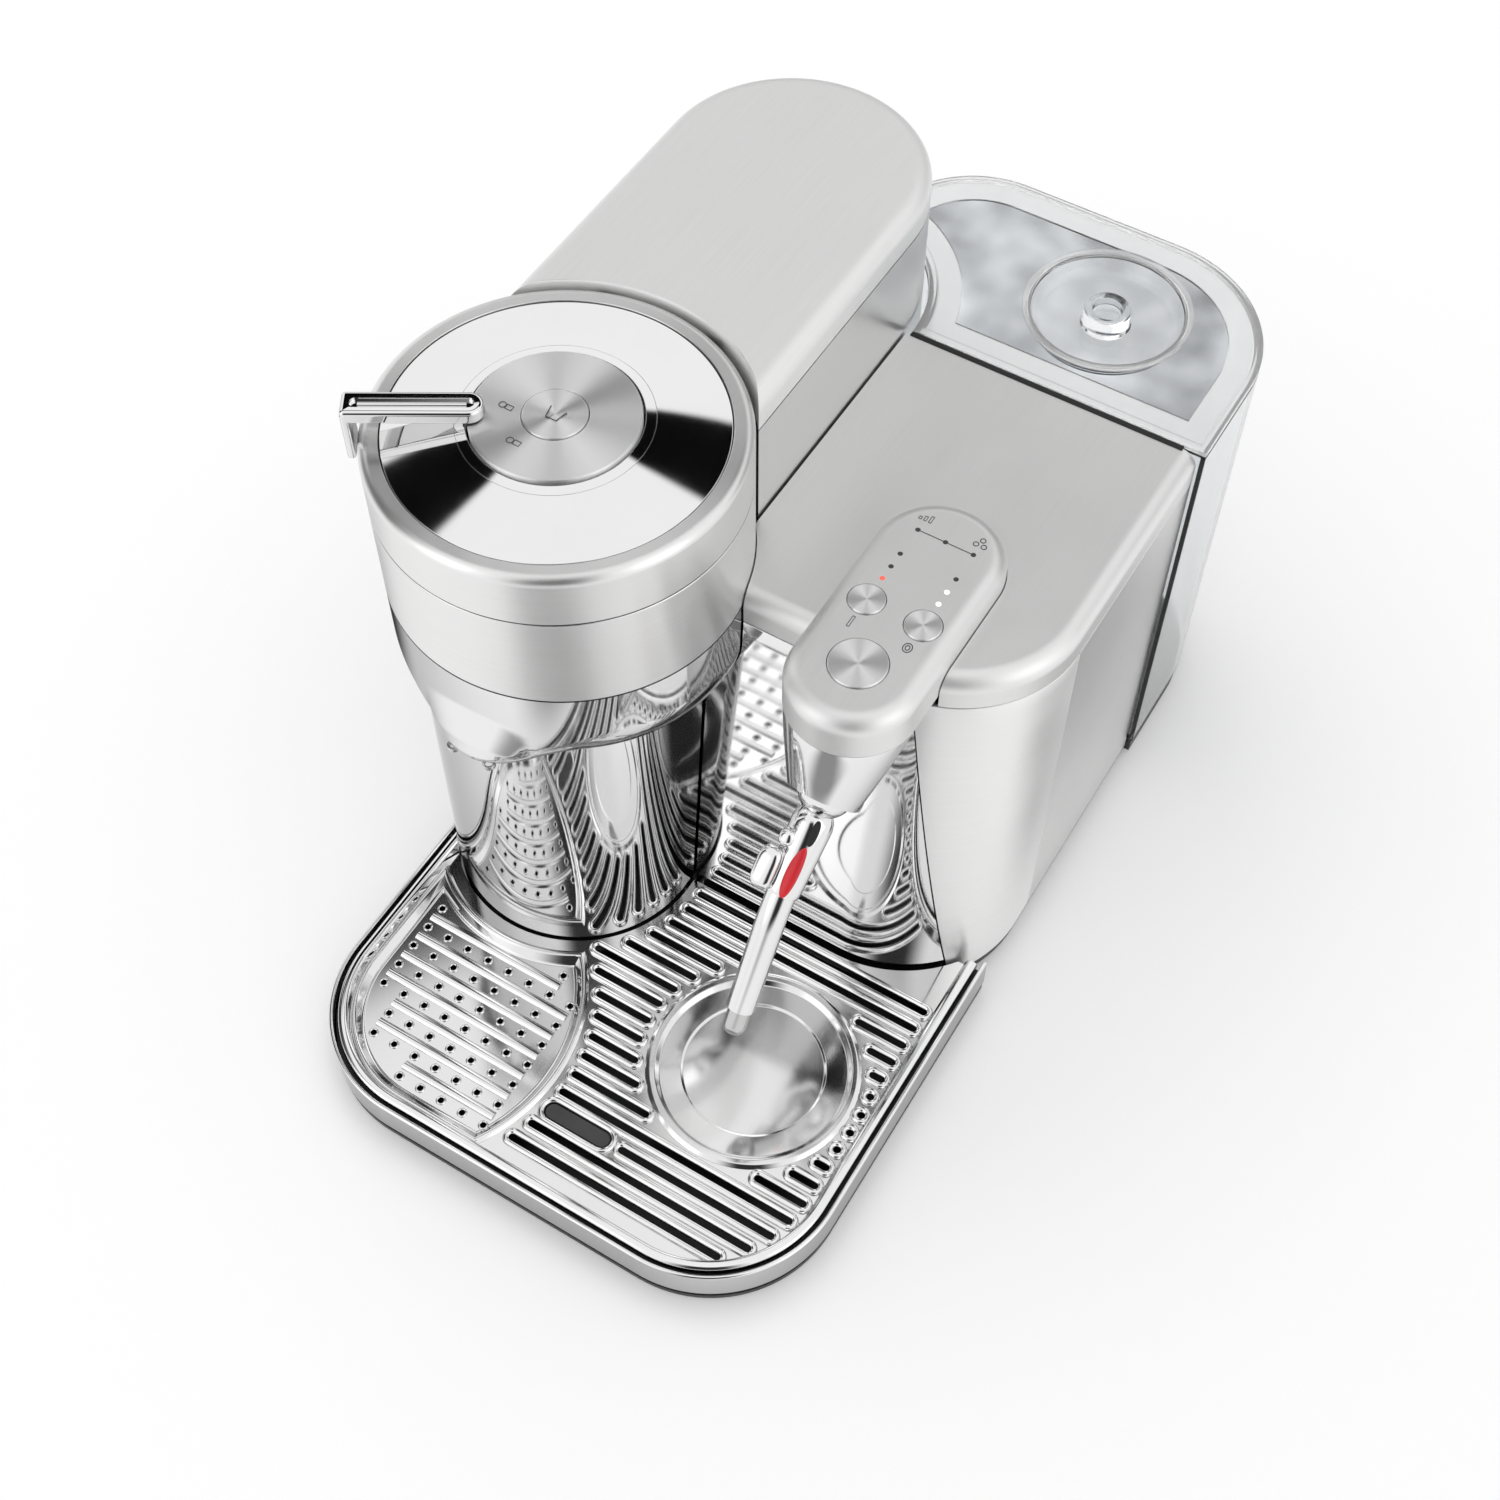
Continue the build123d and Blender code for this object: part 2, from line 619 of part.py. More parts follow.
MOTOR_TOP = PULLEY_LOW - 3.0
with BuildPart() as brew_motor:
    post(HEAD_X, MOTOR_Y, MOTOR_LOW, MOTOR_TOP, MOTOR_R)
    post(HEAD_X, MOTOR_Y, MOTOR_LOW + 12, MOTOR_TOP + 1, MOTOR_SHAFT_R + RUN_FIT, Mode.SUBTRACT)
    fillet(brew_motor.edges().filter_by(GeomType.CIRCLE).sort_by(SortBy.RADIUS)[-2:], 3.0)
    with BuildSketch(Plane.XY.offset(MOTOR_LOW)):
        with Locations((HEAD_X, MOTOR_Y)):
            Circle(MOTOR_R - MOTOR_WALL)
            Circle(MOTOR_CORE_R, mode=Mode.SUBTRACT)
    extrude(amount=MOTOR_TOP - MOTOR_LOW - 6.0, mode=Mode.SUBTRACT)
save(brew_motor, "brew_motor")

with BuildPart() as motor_pulley:
    post(HEAD_X, MOTOR_Y, MOTOR_LOW + 12 + SEAT, PULLEY_LOW + PULLEY_H, MOTOR_SHAFT_R)
    post(HEAD_X, MOTOR_Y, PULLEY_LOW, PULLEY_LOW + PULLEY_H, MOTOR_PULLEY_R)
    post(HEAD_X, MOTOR_Y, PULLEY_LOW, PULLEY_LOW + FLANGE_T, MOTOR_PULLEY_R + BELT_T)
save(motor_pulley, "motor_pulley")


def belt_face(grow):
    """Plan of a loop round both pulleys, a distance out from them."""
    with BuildSketch(mode=Mode.PRIVATE) as loop:
        with Locations((HEAD_X, HEAD_Y)):
            Circle(HOLDER_PULLEY_R + grow)
        with Locations((HEAD_X, MOTOR_Y)):
            Circle(MOTOR_PULLEY_R + grow)
        make_hull()
    return loop.sketch


with BuildPart() as drive_belt:
    with BuildSketch(Plane.XY.offset(BELT_LOW)):
        add(belt_face(SEAT + BELT_T))
        add(belt_face(SEAT), mode=Mode.SUBTRACT)
    extrude(amount=BELT_H)
save(drive_belt, "drive_belt")

# Cover of the head: ring, core, dome, disc, hinge pin, injector and seal
RING_LOW = BAND_TOP + SEAM
RING_INNER = DOME_R + 0.4
NOTCH_HALF = 26.0
HINGE_ROOM_R = BRACKET_R + 0.4
with BuildPart() as head_ring:
    with BuildSketch(HEAD_SECTION):
        with BuildLine():
            inner = HEAD_R - RING_WALL
            bend = RING_FILLET * (1 - sqrt(0.5))
            Polyline(
                (HEAD_R - RING_FILLET, RING_TOP),
                (RING_INNER, RING_TOP),
                (RING_INNER, RING_TOP - 3.5),
                (inner, RING_TOP - 7.5),
                (inner, RING_LOW),
                (HEAD_R, RING_LOW),
                (HEAD_R, RING_TOP - RING_FILLET),
            )
            ThreePointArc(
                (HEAD_R, RING_TOP - RING_FILLET),
                (HEAD_R - bend, RING_TOP - bend),
                (HEAD_R - RING_FILLET, RING_TOP),
            )
        make_face()
    revolve(axis=HEAD_AXIS)
    block(
        (HEAD_X - NOTCH_HALF, HEAD_Y + HEAD_R / 2, RING_LOW - 1),
        (HEAD_X + NOTCH_HALF, HEAD_Y + 2 * HEAD_R, HINGE_Z - 1),
        Mode.SUBTRACT,
    )
    with Locations(Location((HEAD_X, HINGE_Y, HINGE_Z), (0, 90, 0))):
        Cylinder(HINGE_ROOM_R, 2 * NOTCH_HALF, mode=Mode.SUBTRACT)
save(head_ring, "head_ring")

CORE_LOW = RING_LOW + 3.5
CORE_STEP = RING_TOP - 8.5
CORE_TOP = RING_TOP - 4.3
LUG_IN = BRACKET_HALF + 0.4
LUG_OUT = LUG_IN + 4.5
with BuildPart() as cover_core:
    post(HEAD_X, HEAD_Y, CORE_LOW, CORE_STEP, HEAD_R - RING_WALL - SEAT)
    post(HEAD_X, HEAD_Y, CORE_STEP, CORE_TOP, DOME_R - SEAT)
    block(
        (HEAD_X - NOTCH_HALF, HINGE_Y - BRACKET_R - 4, CORE_LOW - 1),
        (HEAD_X + NOTCH_HALF, HEAD_Y + 2 * HEAD_R, RING_TOP),
        Mode.SUBTRACT,
    )
    for side in (-1, 1):
        lug_low, lug_high = sorted((HEAD_X + side * LUG_IN, HEAD_X + side * LUG_OUT))
        block(
            (lug_low, HINGE_Y - BRACKET_R - 5, HINGE_Z - BRACKET_R),
            (lug_high, HINGE_Y, HINGE_Z + 2.5),
        )
        with Locations(Location(((lug_low + lug_high) / 2, HINGE_Y, HINGE_Z), (0, 90, 0))):
            Cylinder(BRACKET_R, lug_high - lug_low)
    with Locations(Location((HEAD_X, HINGE_Y, HINGE_Z), (0, 90, 0))):
        Cylinder(PIN_R + PRESS, 4 * LUG_OUT, mode=Mode.SUBTRACT)
save(cover_core, "cover_core")

with BuildPart() as hinge_pin:
    with Locations(Location((HEAD_X, HINGE_Y, HINGE_Z), (0, 90, 0))):
        Cylinder(PIN_R, 2 * LUG_OUT)
save(hinge_pin, "hinge_pin")

DOME_EDGE_Z = RING_TOP - 0.4
DOME_INNER_Z = DISC_TOP - 2.0
GROOVE_OUT = DISC_R + 4.7
GROOVE_Z = DOME_INNER_Z - 2.6
DOME_BORE = DISC_R + SEAM
with BuildPart() as head_dome:
    with BuildSketch(HEAD_SECTION):
        with BuildLine():
            mid_r = (DOME_R + GROOVE_OUT) / 2
            mid_z = (DOME_EDGE_Z + DOME_INNER_Z) / 2 + 0.5
            ThreePointArc((DOME_R, DOME_EDGE_Z), (mid_r, mid_z), (GROOVE_OUT, DOME_INNER_Z))
            Polyline(
                (GROOVE_OUT, DOME_INNER_Z),
                (GROOVE_OUT, GROOVE_Z),
                (DOME_BORE, GROOVE_Z),
                (DOME_BORE, CORE_TOP),
                (DOME_R, CORE_TOP),
                (DOME_R, DOME_EDGE_Z),
            )
        make_face()
    revolve(axis=HEAD_AXIS)
    with Locations(Location((HEAD_X, HINGE_Y, HINGE_Z), (0, 90, 0))):
        Cylinder(HINGE_ROOM_R, 2 * NOTCH_HALF, mode=Mode.SUBTRACT)
save(head_dome, "head_dome")

BREW_CLEAR = 0.25
BREW_FLOOR = CORE_TOP + 2.0
with BuildPart() as head_disc:
    post(HEAD_X, HEAD_Y, CORE_TOP, DISC_TOP, DISC_R)
    chamfer(head_disc.edges().sort_by(Axis.Z)[-1], 0.6)
    post(HEAD_X, HEAD_Y, BREW_FLOOR, DISC_TOP + 1, BREW_R + BREW_CLEAR, Mode.SUBTRACT)
save(head_disc, "head_disc")

with BuildPart() as brew_button:
    post(HEAD_X, HEAD_Y, BREW_FLOOR + BREW_TRAVEL + SEAT, DISC_TOP + 0.4, BREW_R)
    chamfer(brew_button.edges().sort_by(Axis.Z)[-1], 0.4)
save(brew_button, "brew_button")

# Lock lever: a ring in the groove round the disc, with a bar and a down-turned grip
LEVER_DIR = (cos(radians(LEVER_ANGLE)), sin(radians(LEVER_ANGLE)), 0)
LEVER_LOW = DISC_TOP + 0.6
LEVER_RING_IN = DISC_R + 0.9
LEVER_RING_OUT = GROOVE_OUT - 0.4


def lever_plane(z):
    """A level plane at the head axis with its X along the lever."""
    return Plane(origin=(HEAD_X, HEAD_Y, z), x_dir=LEVER_DIR, z_dir=(0, 0, 1))


with BuildPart() as lock_lever:
    with BuildSketch(lever_plane(LEVER_LOW)):
        with Locations(((LEVER_INNER_R + LEVER_W / 2 + LEVER_OUTER_R) / 2, 0)):
            Rectangle(LEVER_OUTER_R - LEVER_INNER_R - LEVER_W / 2, LEVER_W)
        with Locations((LEVER_INNER_R + LEVER_W / 2, 0)):
            Circle(LEVER_W / 2)
    extrude(amount=LEVER_H)
    fillet(lock_lever.faces().sort_by(Axis.Z)[-1].edges(), 1.2)
    with BuildSketch(lever_plane(LEVER_LOW + LEVER_H - 1.6)):
        with Locations(((LEVER_INNER_R + LEVER_OUTER_R) / 2, 0)):
            SlotOverall(LEVER_OUTER_R - LEVER_INNER_R - LEVER_W * 0.6, LEVER_W * 0.42)
    extrude(amount=LEVER_H, mode=Mode.SUBTRACT)
    with BuildSketch(lever_plane(LEVER_LOW + LEVER_H - LEVER_GRIP_DROP)):
        with Locations((LEVER_OUTER_R - GRIP_T / 2, 0)):
            Rectangle(GRIP_T, LEVER_W)
    extrude(amount=LEVER_GRIP_DROP - LEVER_H / 2)
    with BuildSketch(lever_plane(GROOVE_Z + SEAT)):
        Circle(LEVER_RING_OUT)
        Circle(LEVER_RING_IN, mode=Mode.SUBTRACT)
    extrude(amount=DOME_INNER_Z - GROOVE_Z - 2 * SEAT)
    with BuildSketch(lever_plane(GROOVE_Z + SEAT)):
        with Locations(((LEVER_RING_IN + LEVER_RING_OUT) / 2, 0)):
            Rectangle(LEVER_RING_OUT - LEVER_RING_IN - 0.4, LEVER_W - 2)
    extrude(amount=LEVER_LOW + LEVER_H / 2 - GROOVE_Z - SEAT)
save(lock_lever, "lock_lever")

INJECTOR_R = 20.0
NEEDLE_R = 1.0
with BuildPart() as injector:
    post(HEAD_X, HEAD_Y, CORE_LOW - 4.0, CORE_LOW, INJECTOR_R)
    with Locations((HEAD_X, HEAD_Y, CORE_LOW - 7.0)):
        with PolarLocations(INJECTOR_R * 0.6, 3):
            Cylinder(NEEDLE_R, 4.0, align=BOTTOM)
save(injector, "injector")

with BuildPart() as chamber_seal:
    post(HEAD_X, HEAD_Y, CORE_LOW - 3.5, CORE_LOW, HOLDER_R + HOLDER_LIP)
    post(HEAD_X, HEAD_Y, CORE_LOW - 4, CORE_LOW + 1, HOLDER_R + 1, Mode.SUBTRACT)
save(chamber_seal, "chamber_seal")

# Water and steam pieces inside
HEATER = (62.0, 46.0, 44.0)
with BuildPart() as heater_block:
    with Locations((HEAD_X, TOWER_REAR_Y - 8, BASE_TOP)):
        Box(*HEATER, align=BOTTOM)
    fillet(heater_block.edges().filter_by(Axis.Z), 5.0)
save(heater_block, "heater_block")

PUMP_X = HOUSING_LEFT + 22.0
PUMP_Y = HOUSING_REAR - 62.0
PUMP_R = 17.0
PUMP_L = 70.0
PUMP_Z = BASE_TOP + PUMP_R + 6.0
with BuildPart() as water_pump:
    with Locations((PUMP_X, PUMP_Y, BASE_TOP)):
        Box(1.4 * PUMP_R, 0.8 * PUMP_L, PUMP_R, align=BOTTOM)
    with Locations(Location((PUMP_X, PUMP_Y, PUMP_Z), (90, 0, 0))):
        Cylinder(PUMP_R, PUMP_L)
save(water_pump, "water_pump")

HOSE_R = 4.0
with BuildPart() as water_hose:
    with BuildSketch(Plane.XZ.offset(-PUMP_Y - PUMP_L / 2)):
        with Locations((PUMP_X, PUMP_Z)):
            Circle(HOSE_R)
            Circle(HOSE_R / 2, mode=Mode.SUBTRACT)
    extrude(amount=-(HOUSING_REAR - WALL - PUMP_Y - PUMP_L / 2))
save(water_hose, "water_hose")

BOILER_R = 26.0
BOILER_WALL = 2.5
BOILER_OUTLET_R = 2.0
BOILER_Y = FRONT_TOP_Y + 62.0
BOILER_TOP = BASE_TOP + 100.0
with BuildPart() as steam_boiler:
    post(CAP_X, BOILER_Y, BASE_TOP, BOILER_TOP, BOILER_R)
    fillet(steam_boiler.edges().sort_by(Axis.Z)[-1], 8.0)
    inside = BASE_TOP + BOILER_WALL
    post(CAP_X, BOILER_Y, inside, BOILER_TOP - 6.0, BOILER_R - BOILER_WALL, Mode.SUBTRACT)
    post(CAP_X, BOILER_Y, inside, BOILER_TOP + 1, BOILER_OUTLET_R, Mode.SUBTRACT)
save(steam_boiler, "steam_boiler")

PIPE_R = 3.0
PIPE_Z = BALL_Z + 14.0
PIPE_BEND = 14.0
PIPE_END = front_at(PIPE_Z)
with BuildPart() as steam_pipe:
    with BuildLine() as pipe_path:
        FilletPolyline(
            (CAP_X, BOILER_Y, BOILER_TOP),
            (CAP_X, BOILER_Y, PIPE_Z),
            (CAP_X, PIPE_END, PIPE_Z),
            radius=PIPE_BEND,
        )
    with BuildSketch(Plane.XY.offset(BOILER_TOP)):
        with Locations((CAP_X, BOILER_Y)):
            Circle(PIPE_R)
    sweep(path=pipe_path.line)
save(steam_pipe, "steam_pipe")


# Steam housing: one leaning shell, parted into splash panel, wrap, side panel and rear panel
def housing_shell():
    """The whole leaning shell of the steam housing, open at the top and bottom."""
    top = LID_SEAM - SEAM
    with BuildPart(mode=Mode.PRIVATE) as shell:
        with BuildSketch(Plane.XY.offset(BASE_TOP)):
            add(housing_face(BASE_TOP))
        with BuildSketch(Plane.XY.offset(top)):
            add(housing_face(top))
        loft()
        with BuildSketch(Plane.XY.offset(BASE_TOP - 2)):
            add(housing_face(BASE_TOP - 2, -WALL))
        with BuildSketch(Plane.XY.offset(top + 2)):
            add(housing_face(top + 2, -WALL))
        loft(mode=Mode.SUBTRACT)
    return shell.part


shell = housing_shell()
SPLASH_REAR = Plane.XZ.offset(-SIDE_SEAM_Y)
SPLASH_CORNERS = [(SPLASH_EDGE_LOW, BASE_TOP - 1), (SPLASH_EDGE_TOP, LID_SEAM + 1)]
with BuildPart() as splash_panel:
    add(shell)
    with BuildSketch(SPLASH_REAR):
        with BuildLine():
            Polyline(
                (HOUSING_LEFT - 1, BASE_TOP - 1),
                *SPLASH_CORNERS,
                (HOUSING_LEFT - 1, LID_SEAM + 1),
                close=True,
            )
        make_face()
    extrude(amount=DEPTH, mode=Mode.INTERSECT)
    with BuildSketch(Plane.XZ):
        with Locations((CAP_X, PIPE_Z)):
            Circle(PIPE_R + SEAT)
    extrude(amount=DEPTH, mode=Mode.SUBTRACT)
    post(HEAD_X, HEAD_Y, SHELF_TOP, RING_TOP, HEAD_R + COVER_GAP, Mode.SUBTRACT)
save(splash_panel, "splash_panel")

with BuildPart() as housing_wrap:
    add(shell)
    with BuildSketch(SPLASH_REAR):
        with BuildLine():
            low, high = [(x + SEAM, z) for x, z in SPLASH_CORNERS]
            Polyline(low, (WIDTH, low[1]), (WIDTH, high[1]), high, close=True)
        make_face()
    extrude(amount=DEPTH, mode=Mode.INTERSECT)
save(housing_wrap, "housing_wrap")

PANEL_RETURN = 8.0
with BuildPart() as side_panel:
    add(shell)
    block(
        (HOUSING_RIGHT - PANEL_RETURN, SIDE_SEAM_Y + SEAM, 0),
        (WIDTH, DEPTH, HOUSING_TOP),
        Mode.INTERSECT,
    )
save(side_panel, "side_panel")

with BuildPart() as rear_panel:
    add(shell)
    block(
        (HOUSING_LEFT - 1, HOUSING_REAR - PANEL_RETURN, 0),
        (HOUSING_RIGHT - PANEL_RETURN - SEAM, DEPTH, HOUSING_TOP),
        Mode.INTERSECT,
    )
    with BuildSketch(Plane.XZ):
        with Locations((PUMP_X, PUMP_Z)):
            Circle(HOSE_R / 2)
    extrude(amount=-DEPTH, mode=Mode.SUBTRACT)
save(rear_panel, "rear_panel")


def lid_block(drawn_in, round_off):
    """The lid's rounded block, drawn in by a wall."""
    with BuildPart(mode=Mode.PRIVATE) as body:
        with BuildSketch(Plane.XY.offset(LID_SEAM - drawn_in)):
            add(housing_face(LID_SEAM, -drawn_in))
        extrude(amount=HOUSING_TOP - LID_SEAM)
        rim = body.faces().sort_by(Axis.Z)[-1].edges()
        outer = [
            e for e in rim
            if e.center().X > HOUSING_LEFT + 2 * WALL and e.center().Y < HOUSING_REAR - 2 * WALL
        ]
        fillet(outer, round_off)
    return body.part


lid_solid = lid_block(0.0, LID_FILLET)
lid_hollow = lid_block(WALL, LID_FILLET - WALL)
with BuildPart() as housing_lid:
    add(lid_solid)
    add(lid_hollow, mode=Mode.SUBTRACT)
    with BuildSketch(Plane.XY):
        add(cap_face(SEAT))
    extrude(amount=DEPTH, mode=Mode.SUBTRACT)
    post(HEAD_X, HEAD_Y, SHELF_TOP, RING_TOP, HEAD_R + COVER_GAP, Mode.SUBTRACT)
save(housing_lid, "housing_lid")

# Control cap with its lights, buttons and board
LIGHT_ROWS = [44.7, 37.8, 31.4]
LIGHT_SPREAD = 11.5
SCALE_BACK = 92.0
CAP_CENTRES = [(CAP_X + s * LIGHT_SPREAD, CAP_FRONT + 34.0 + row) for s in (-1, 1) for row in LIGHT_ROWS]
SCALE_CENTRES = [(CAP_X + s * LIGHT_SPREAD, CAP_FRONT + SCALE_BACK) for s in (-1, 0, 1)]
LIGHTS = CAP_CENTRES + SCALE_CENTRES
MAIN_SPOT = (CAP_X, CAP_FRONT + MAIN_BACK)
LEFT_SPOT = (CAP_X - SMALL_SPREAD, CAP_FRONT + SMALL_BACK)
RIGHT_SPOT = (CAP_X + SMALL_SPREAD, CAP_FRONT + SMALL_BACK)
BUTTON_CLEAR = 0.25
with BuildPart() as cap_core:
    with BuildSketch(Plane.XY.offset(CAP_LOW - CAP_WALL)):
        add(cap_face(-CAP_WALL))
    extrude(amount=CAP_TOP - CAP_LOW)
    fillet(cap_core.faces().sort_by(Axis.Z)[-1].edges(), CAP_FILLET - CAP_WALL)

with BuildPart() as control_cap:
    with BuildSketch(Plane.XY.offset(CAP_LOW)):
        add(cap_face())
    extrude(amount=CAP_TOP - CAP_LOW)
    fillet(control_cap.faces().sort_by(Axis.Z)[-1].edges(), CAP_FILLET)
    add(cap_core.part, mode=Mode.SUBTRACT)
    post(*MAIN_SPOT, CAP_LOW, CAP_TOP + 1, MAIN_R + BUTTON_CLEAR, Mode.SUBTRACT)
    for spot in (LEFT_SPOT, RIGHT_SPOT):
        post(*spot, CAP_LOW, CAP_TOP + 1, SMALL_R + BUTTON_CLEAR, Mode.SUBTRACT)
    for spot in LIGHTS:
        post(*spot, CAP_LOW, CAP_TOP + 1, LIGHT_R + PRESS, Mode.SUBTRACT)
save(control_cap, "control_cap")

with BuildPart() as indicator_lights:
    for spot in LIGHTS:
        post(*spot, CAP_TOP - CAP_WALL, CAP_TOP, LIGHT_R)
save(indicator_lights, "indicator_lights")

BOARD_TOP = CAP_TOP - 10.4
BOARD_T = 1.6
with BuildPart() as control_board:
    with BuildSketch(Plane.XY.offset(BOARD_TOP - BOARD_T)):
        add(cap_face(-CAP_WALL - SEAT))
    extrude(amount=BOARD_T)
save(control_board, "control_board")

BUTTON_RIM = 0.8
BUTTON_STEM_R = 3.0


def button(spot, radius, name):
    """A turned push button with a retaining rim below the cap and a stem over the board."""
    rim_top = CAP_TOP - CAP_WALL - SEAT
    with BuildPart() as piece:
        post(*spot, rim_top - BUTTON_RIM, CAP_TOP + BUTTON_PROUD, radius)
        chamfer(piece.edges().sort_by(Axis.Z)[-1], 0.4)
        post(*spot, rim_top - BUTTON_RIM, rim_top, radius + BUTTON_RIM)
        post(*spot, BOARD_TOP + BUTTON_TRAVEL + SEAT, rim_top, BUTTON_STEM_R)
    save(piece, name)


button(MAIN_SPOT, MAIN_R, "main_button")
button(LEFT_SPOT, SMALL_R, "left_button")
button(RIGHT_SPOT, SMALL_R, "right_button")

# Steam wand: horn with a ball socket, ball and bent tube, tip, tab and grip pad
HORN_R = BALL_R + SEAT + HORN_WALL
PIVOT_R = 2.0
PIVOT_REACH = HORN_R - 1.3
HORN_TOP_R = CAP_HALF - SEAT
HORN_TOP_Y = CAP_FRONT + CAP_HALF
with BuildPart() as housing_solid:
    with BuildSketch(Plane.XY.offset(BASE_TOP)):
        add(housing_face(BASE_TOP, SEAT))
    with BuildSketch(Plane.XY.offset(LID_SEAM)):
        add(housing_face(LID_SEAM, SEAT))
    loft()

UPPER_DIR = (-sin(radians(UPPER_ANGLE)), -cos(radians(UPPER_ANGLE)))
LOWER_DIR = (-sin(radians(LOWER_ANGLE)), -cos(radians(LOWER_ANGLE)))
BALL_AT = (CAP_X, BALL_Y, BALL_Z)
KNEE = (BALL_Y + UPPER_RUN * UPPER_DIR[0], BALL_Z + UPPER_RUN * UPPER_DIR[1])
END = (KNEE[0] + LOWER_RUN * LOWER_DIR[0], KNEE[1] + LOWER_RUN * LOWER_DIR[1])
WAND_SIDE = Plane(origin=(CAP_X, 0, 0), x_dir=(0, 1, 0), z_dir=(1, 0, 0))
with BuildPart() as wand_horn:
    with BuildSketch(Plane.XY.offset(CAP_LOW - SEAT)):
        with Locations((CAP_X, HORN_TOP_Y)):
            Circle(HORN_TOP_R)
    with BuildSketch(Plane.XY.offset(BALL_Z)):
        with Locations((CAP_X, BALL_Y)):
            Circle(HORN_R)
    loft()
    with Locations(BALL_AT):
        Sphere(HORN_R, arc_size1=-90, arc_size2=0, align=(Align.CENTER, Align.CENTER, Align.MAX))
    add(housing_solid.part, mode=Mode.SUBTRACT)
    block(
        (CAP_X - CAP_HALF, front_at(LID_SEAM), LID_SEAM - SEAT),
        (CAP_X + CAP_HALF, DEPTH, CAP_TOP),
        Mode.SUBTRACT,
    )
    with Locations(Location(BALL_AT, (0, 0, 90))):
        Sphere(BALL_R + SEAT, mode=Mode.SUBTRACT)
    with BuildSketch(WAND_SIDE):
        with BuildLine():
            Polyline(
                (BALL_Y + 2, BALL_Z + WAND_SLOT / 3),
                (BALL_Y - 2 * HORN_R, BALL_Z + WAND_SLOT / 3),
                (BALL_Y - 2 * HORN_R, BALL_Z - 2 * HORN_R),
                (BALL_Y + 0.5 * HORN_R, BALL_Z - 2 * HORN_R),
                close=True,
            )
        make_face()
    extrude(amount=WAND_SLOT / 2, both=True, mode=Mode.SUBTRACT)
    with Locations(Location(BALL_AT, (0, 90, 0))):
        Cylinder(PIVOT_R + RUN_FIT, 2 * (PIVOT_REACH + SEAT), mode=Mode.SUBTRACT)
save(wand_horn, "wand_horn")

with BuildPart() as wand_tube:
    with BuildLine() as wand_path:
        FilletPolyline(
            (CAP_X, BALL_Y, BALL_Z),
            (CAP_X, *KNEE),
            (CAP_X, *END),
            radius=WAND_BEND_R,
        )
    with BuildSketch(Plane(origin=BALL_AT, x_dir=(1, 0, 0), z_dir=(0, *UPPER_DIR))):
        Circle(TUBE_R)
    sweep(path=wand_path.line)
    with Locations(Location(BALL_AT, (0, 0, 90))):
        Sphere(BALL_R)
    with Locations(Location(BALL_AT, (0, 90, 0))):
        Cylinder(PIVOT_R, 2 * PIVOT_REACH)
save(wand_tube, "wand_tube")

with BuildPart() as wand_tip:
    with BuildSketch(Plane(origin=(CAP_X, *END), x_dir=(1, 0, 0), z_dir=(0, *LOWER_DIR))):
        Circle(TUBE_R)
    extrude(amount=TIP_LENGTH)
    fillet(wand_tip.edges().sort_by(Axis.Z)[0], TUBE_R * 0.6)
save(wand_tip, "wand_tip")

TAB_FROM = 21.0
TAB_LENGTH = 22.0
TAB_REACH = 15.0
TAB_T = 7.0
TAB_COLLAR = 2.2
TAB_PLANE = Plane(
    origin=(CAP_X, BALL_Y + TAB_FROM * UPPER_DIR[0], BALL_Z + TAB_FROM * UPPER_DIR[1]),
    x_dir=(1, 0, 0),
    z_dir=(0, *UPPER_DIR),
)
with BuildPart() as wand_tab:
    with BuildSketch(TAB_PLANE):
        Circle(TUBE_R + TAB_COLLAR)
        with Locations((-(TAB_REACH) / 2, 0)):
            Rectangle(TAB_REACH, TAB_T)
        with Locations((-TAB_REACH, 0)):
            Circle(TAB_T / 2)
        Circle(TUBE_R + PRESS, mode=Mode.SUBTRACT)
    extrude(amount=TAB_LENGTH * 0.55)
save(wand_tab, "wand_tab")

PAD_T = 2.0
with BuildPart() as wand_grip:
    with BuildSketch(TAB_PLANE.offset(-PAD_T)):
        Circle(TUBE_R + TAB_COLLAR)
        with Locations((-(TAB_REACH) / 2, 0)):
            Rectangle(TAB_REACH, TAB_T)
        with Locations((-TAB_REACH, 0)):
            Circle(TAB_T / 2)
        Circle(TUBE_R + PRESS, mode=Mode.SUBTRACT)
    extrude(amount=PAD_T)
save(wand_grip, "wand_grip")

# Drip tray: pan, skirt, feet and float
with BuildPart() as tray_pan:
    with BuildSketch(Plane.XY.offset(PAN_LOW)):
        add(tray_face(-SEAM))
    extrude(amount=SKIRT_LOW - SEAT - PAN_LOW)
    with BuildSketch(Plane.XY.offset(PAN_LOW)):
        add(tray_face(-PAN_INSET))
    extrude(amount=GRID_LEVEL - GRID_T - SEAT - PAN_LOW)
    with BuildSketch(Plane.XY.offset(PAN_LOW + PAN_FLOOR)):
        add(tray_face(-PAN_INSET - PAN_WALL))
    extrude(amount=TRAY_RIM, mode=Mode.SUBTRACT)
save(tray_pan, "tray_pan")

with BuildPart() as tray_skirt:
    with BuildSketch(Plane.XY.offset(SKIRT_LOW)):
        add(tray_face())
        add(tray_face(-SKIRT_T), mode=Mode.SUBTRACT)
    extrude(amount=TRAY_RIM - SEAM - SKIRT_LOW)
save(tray_skirt, "tray_skirt")

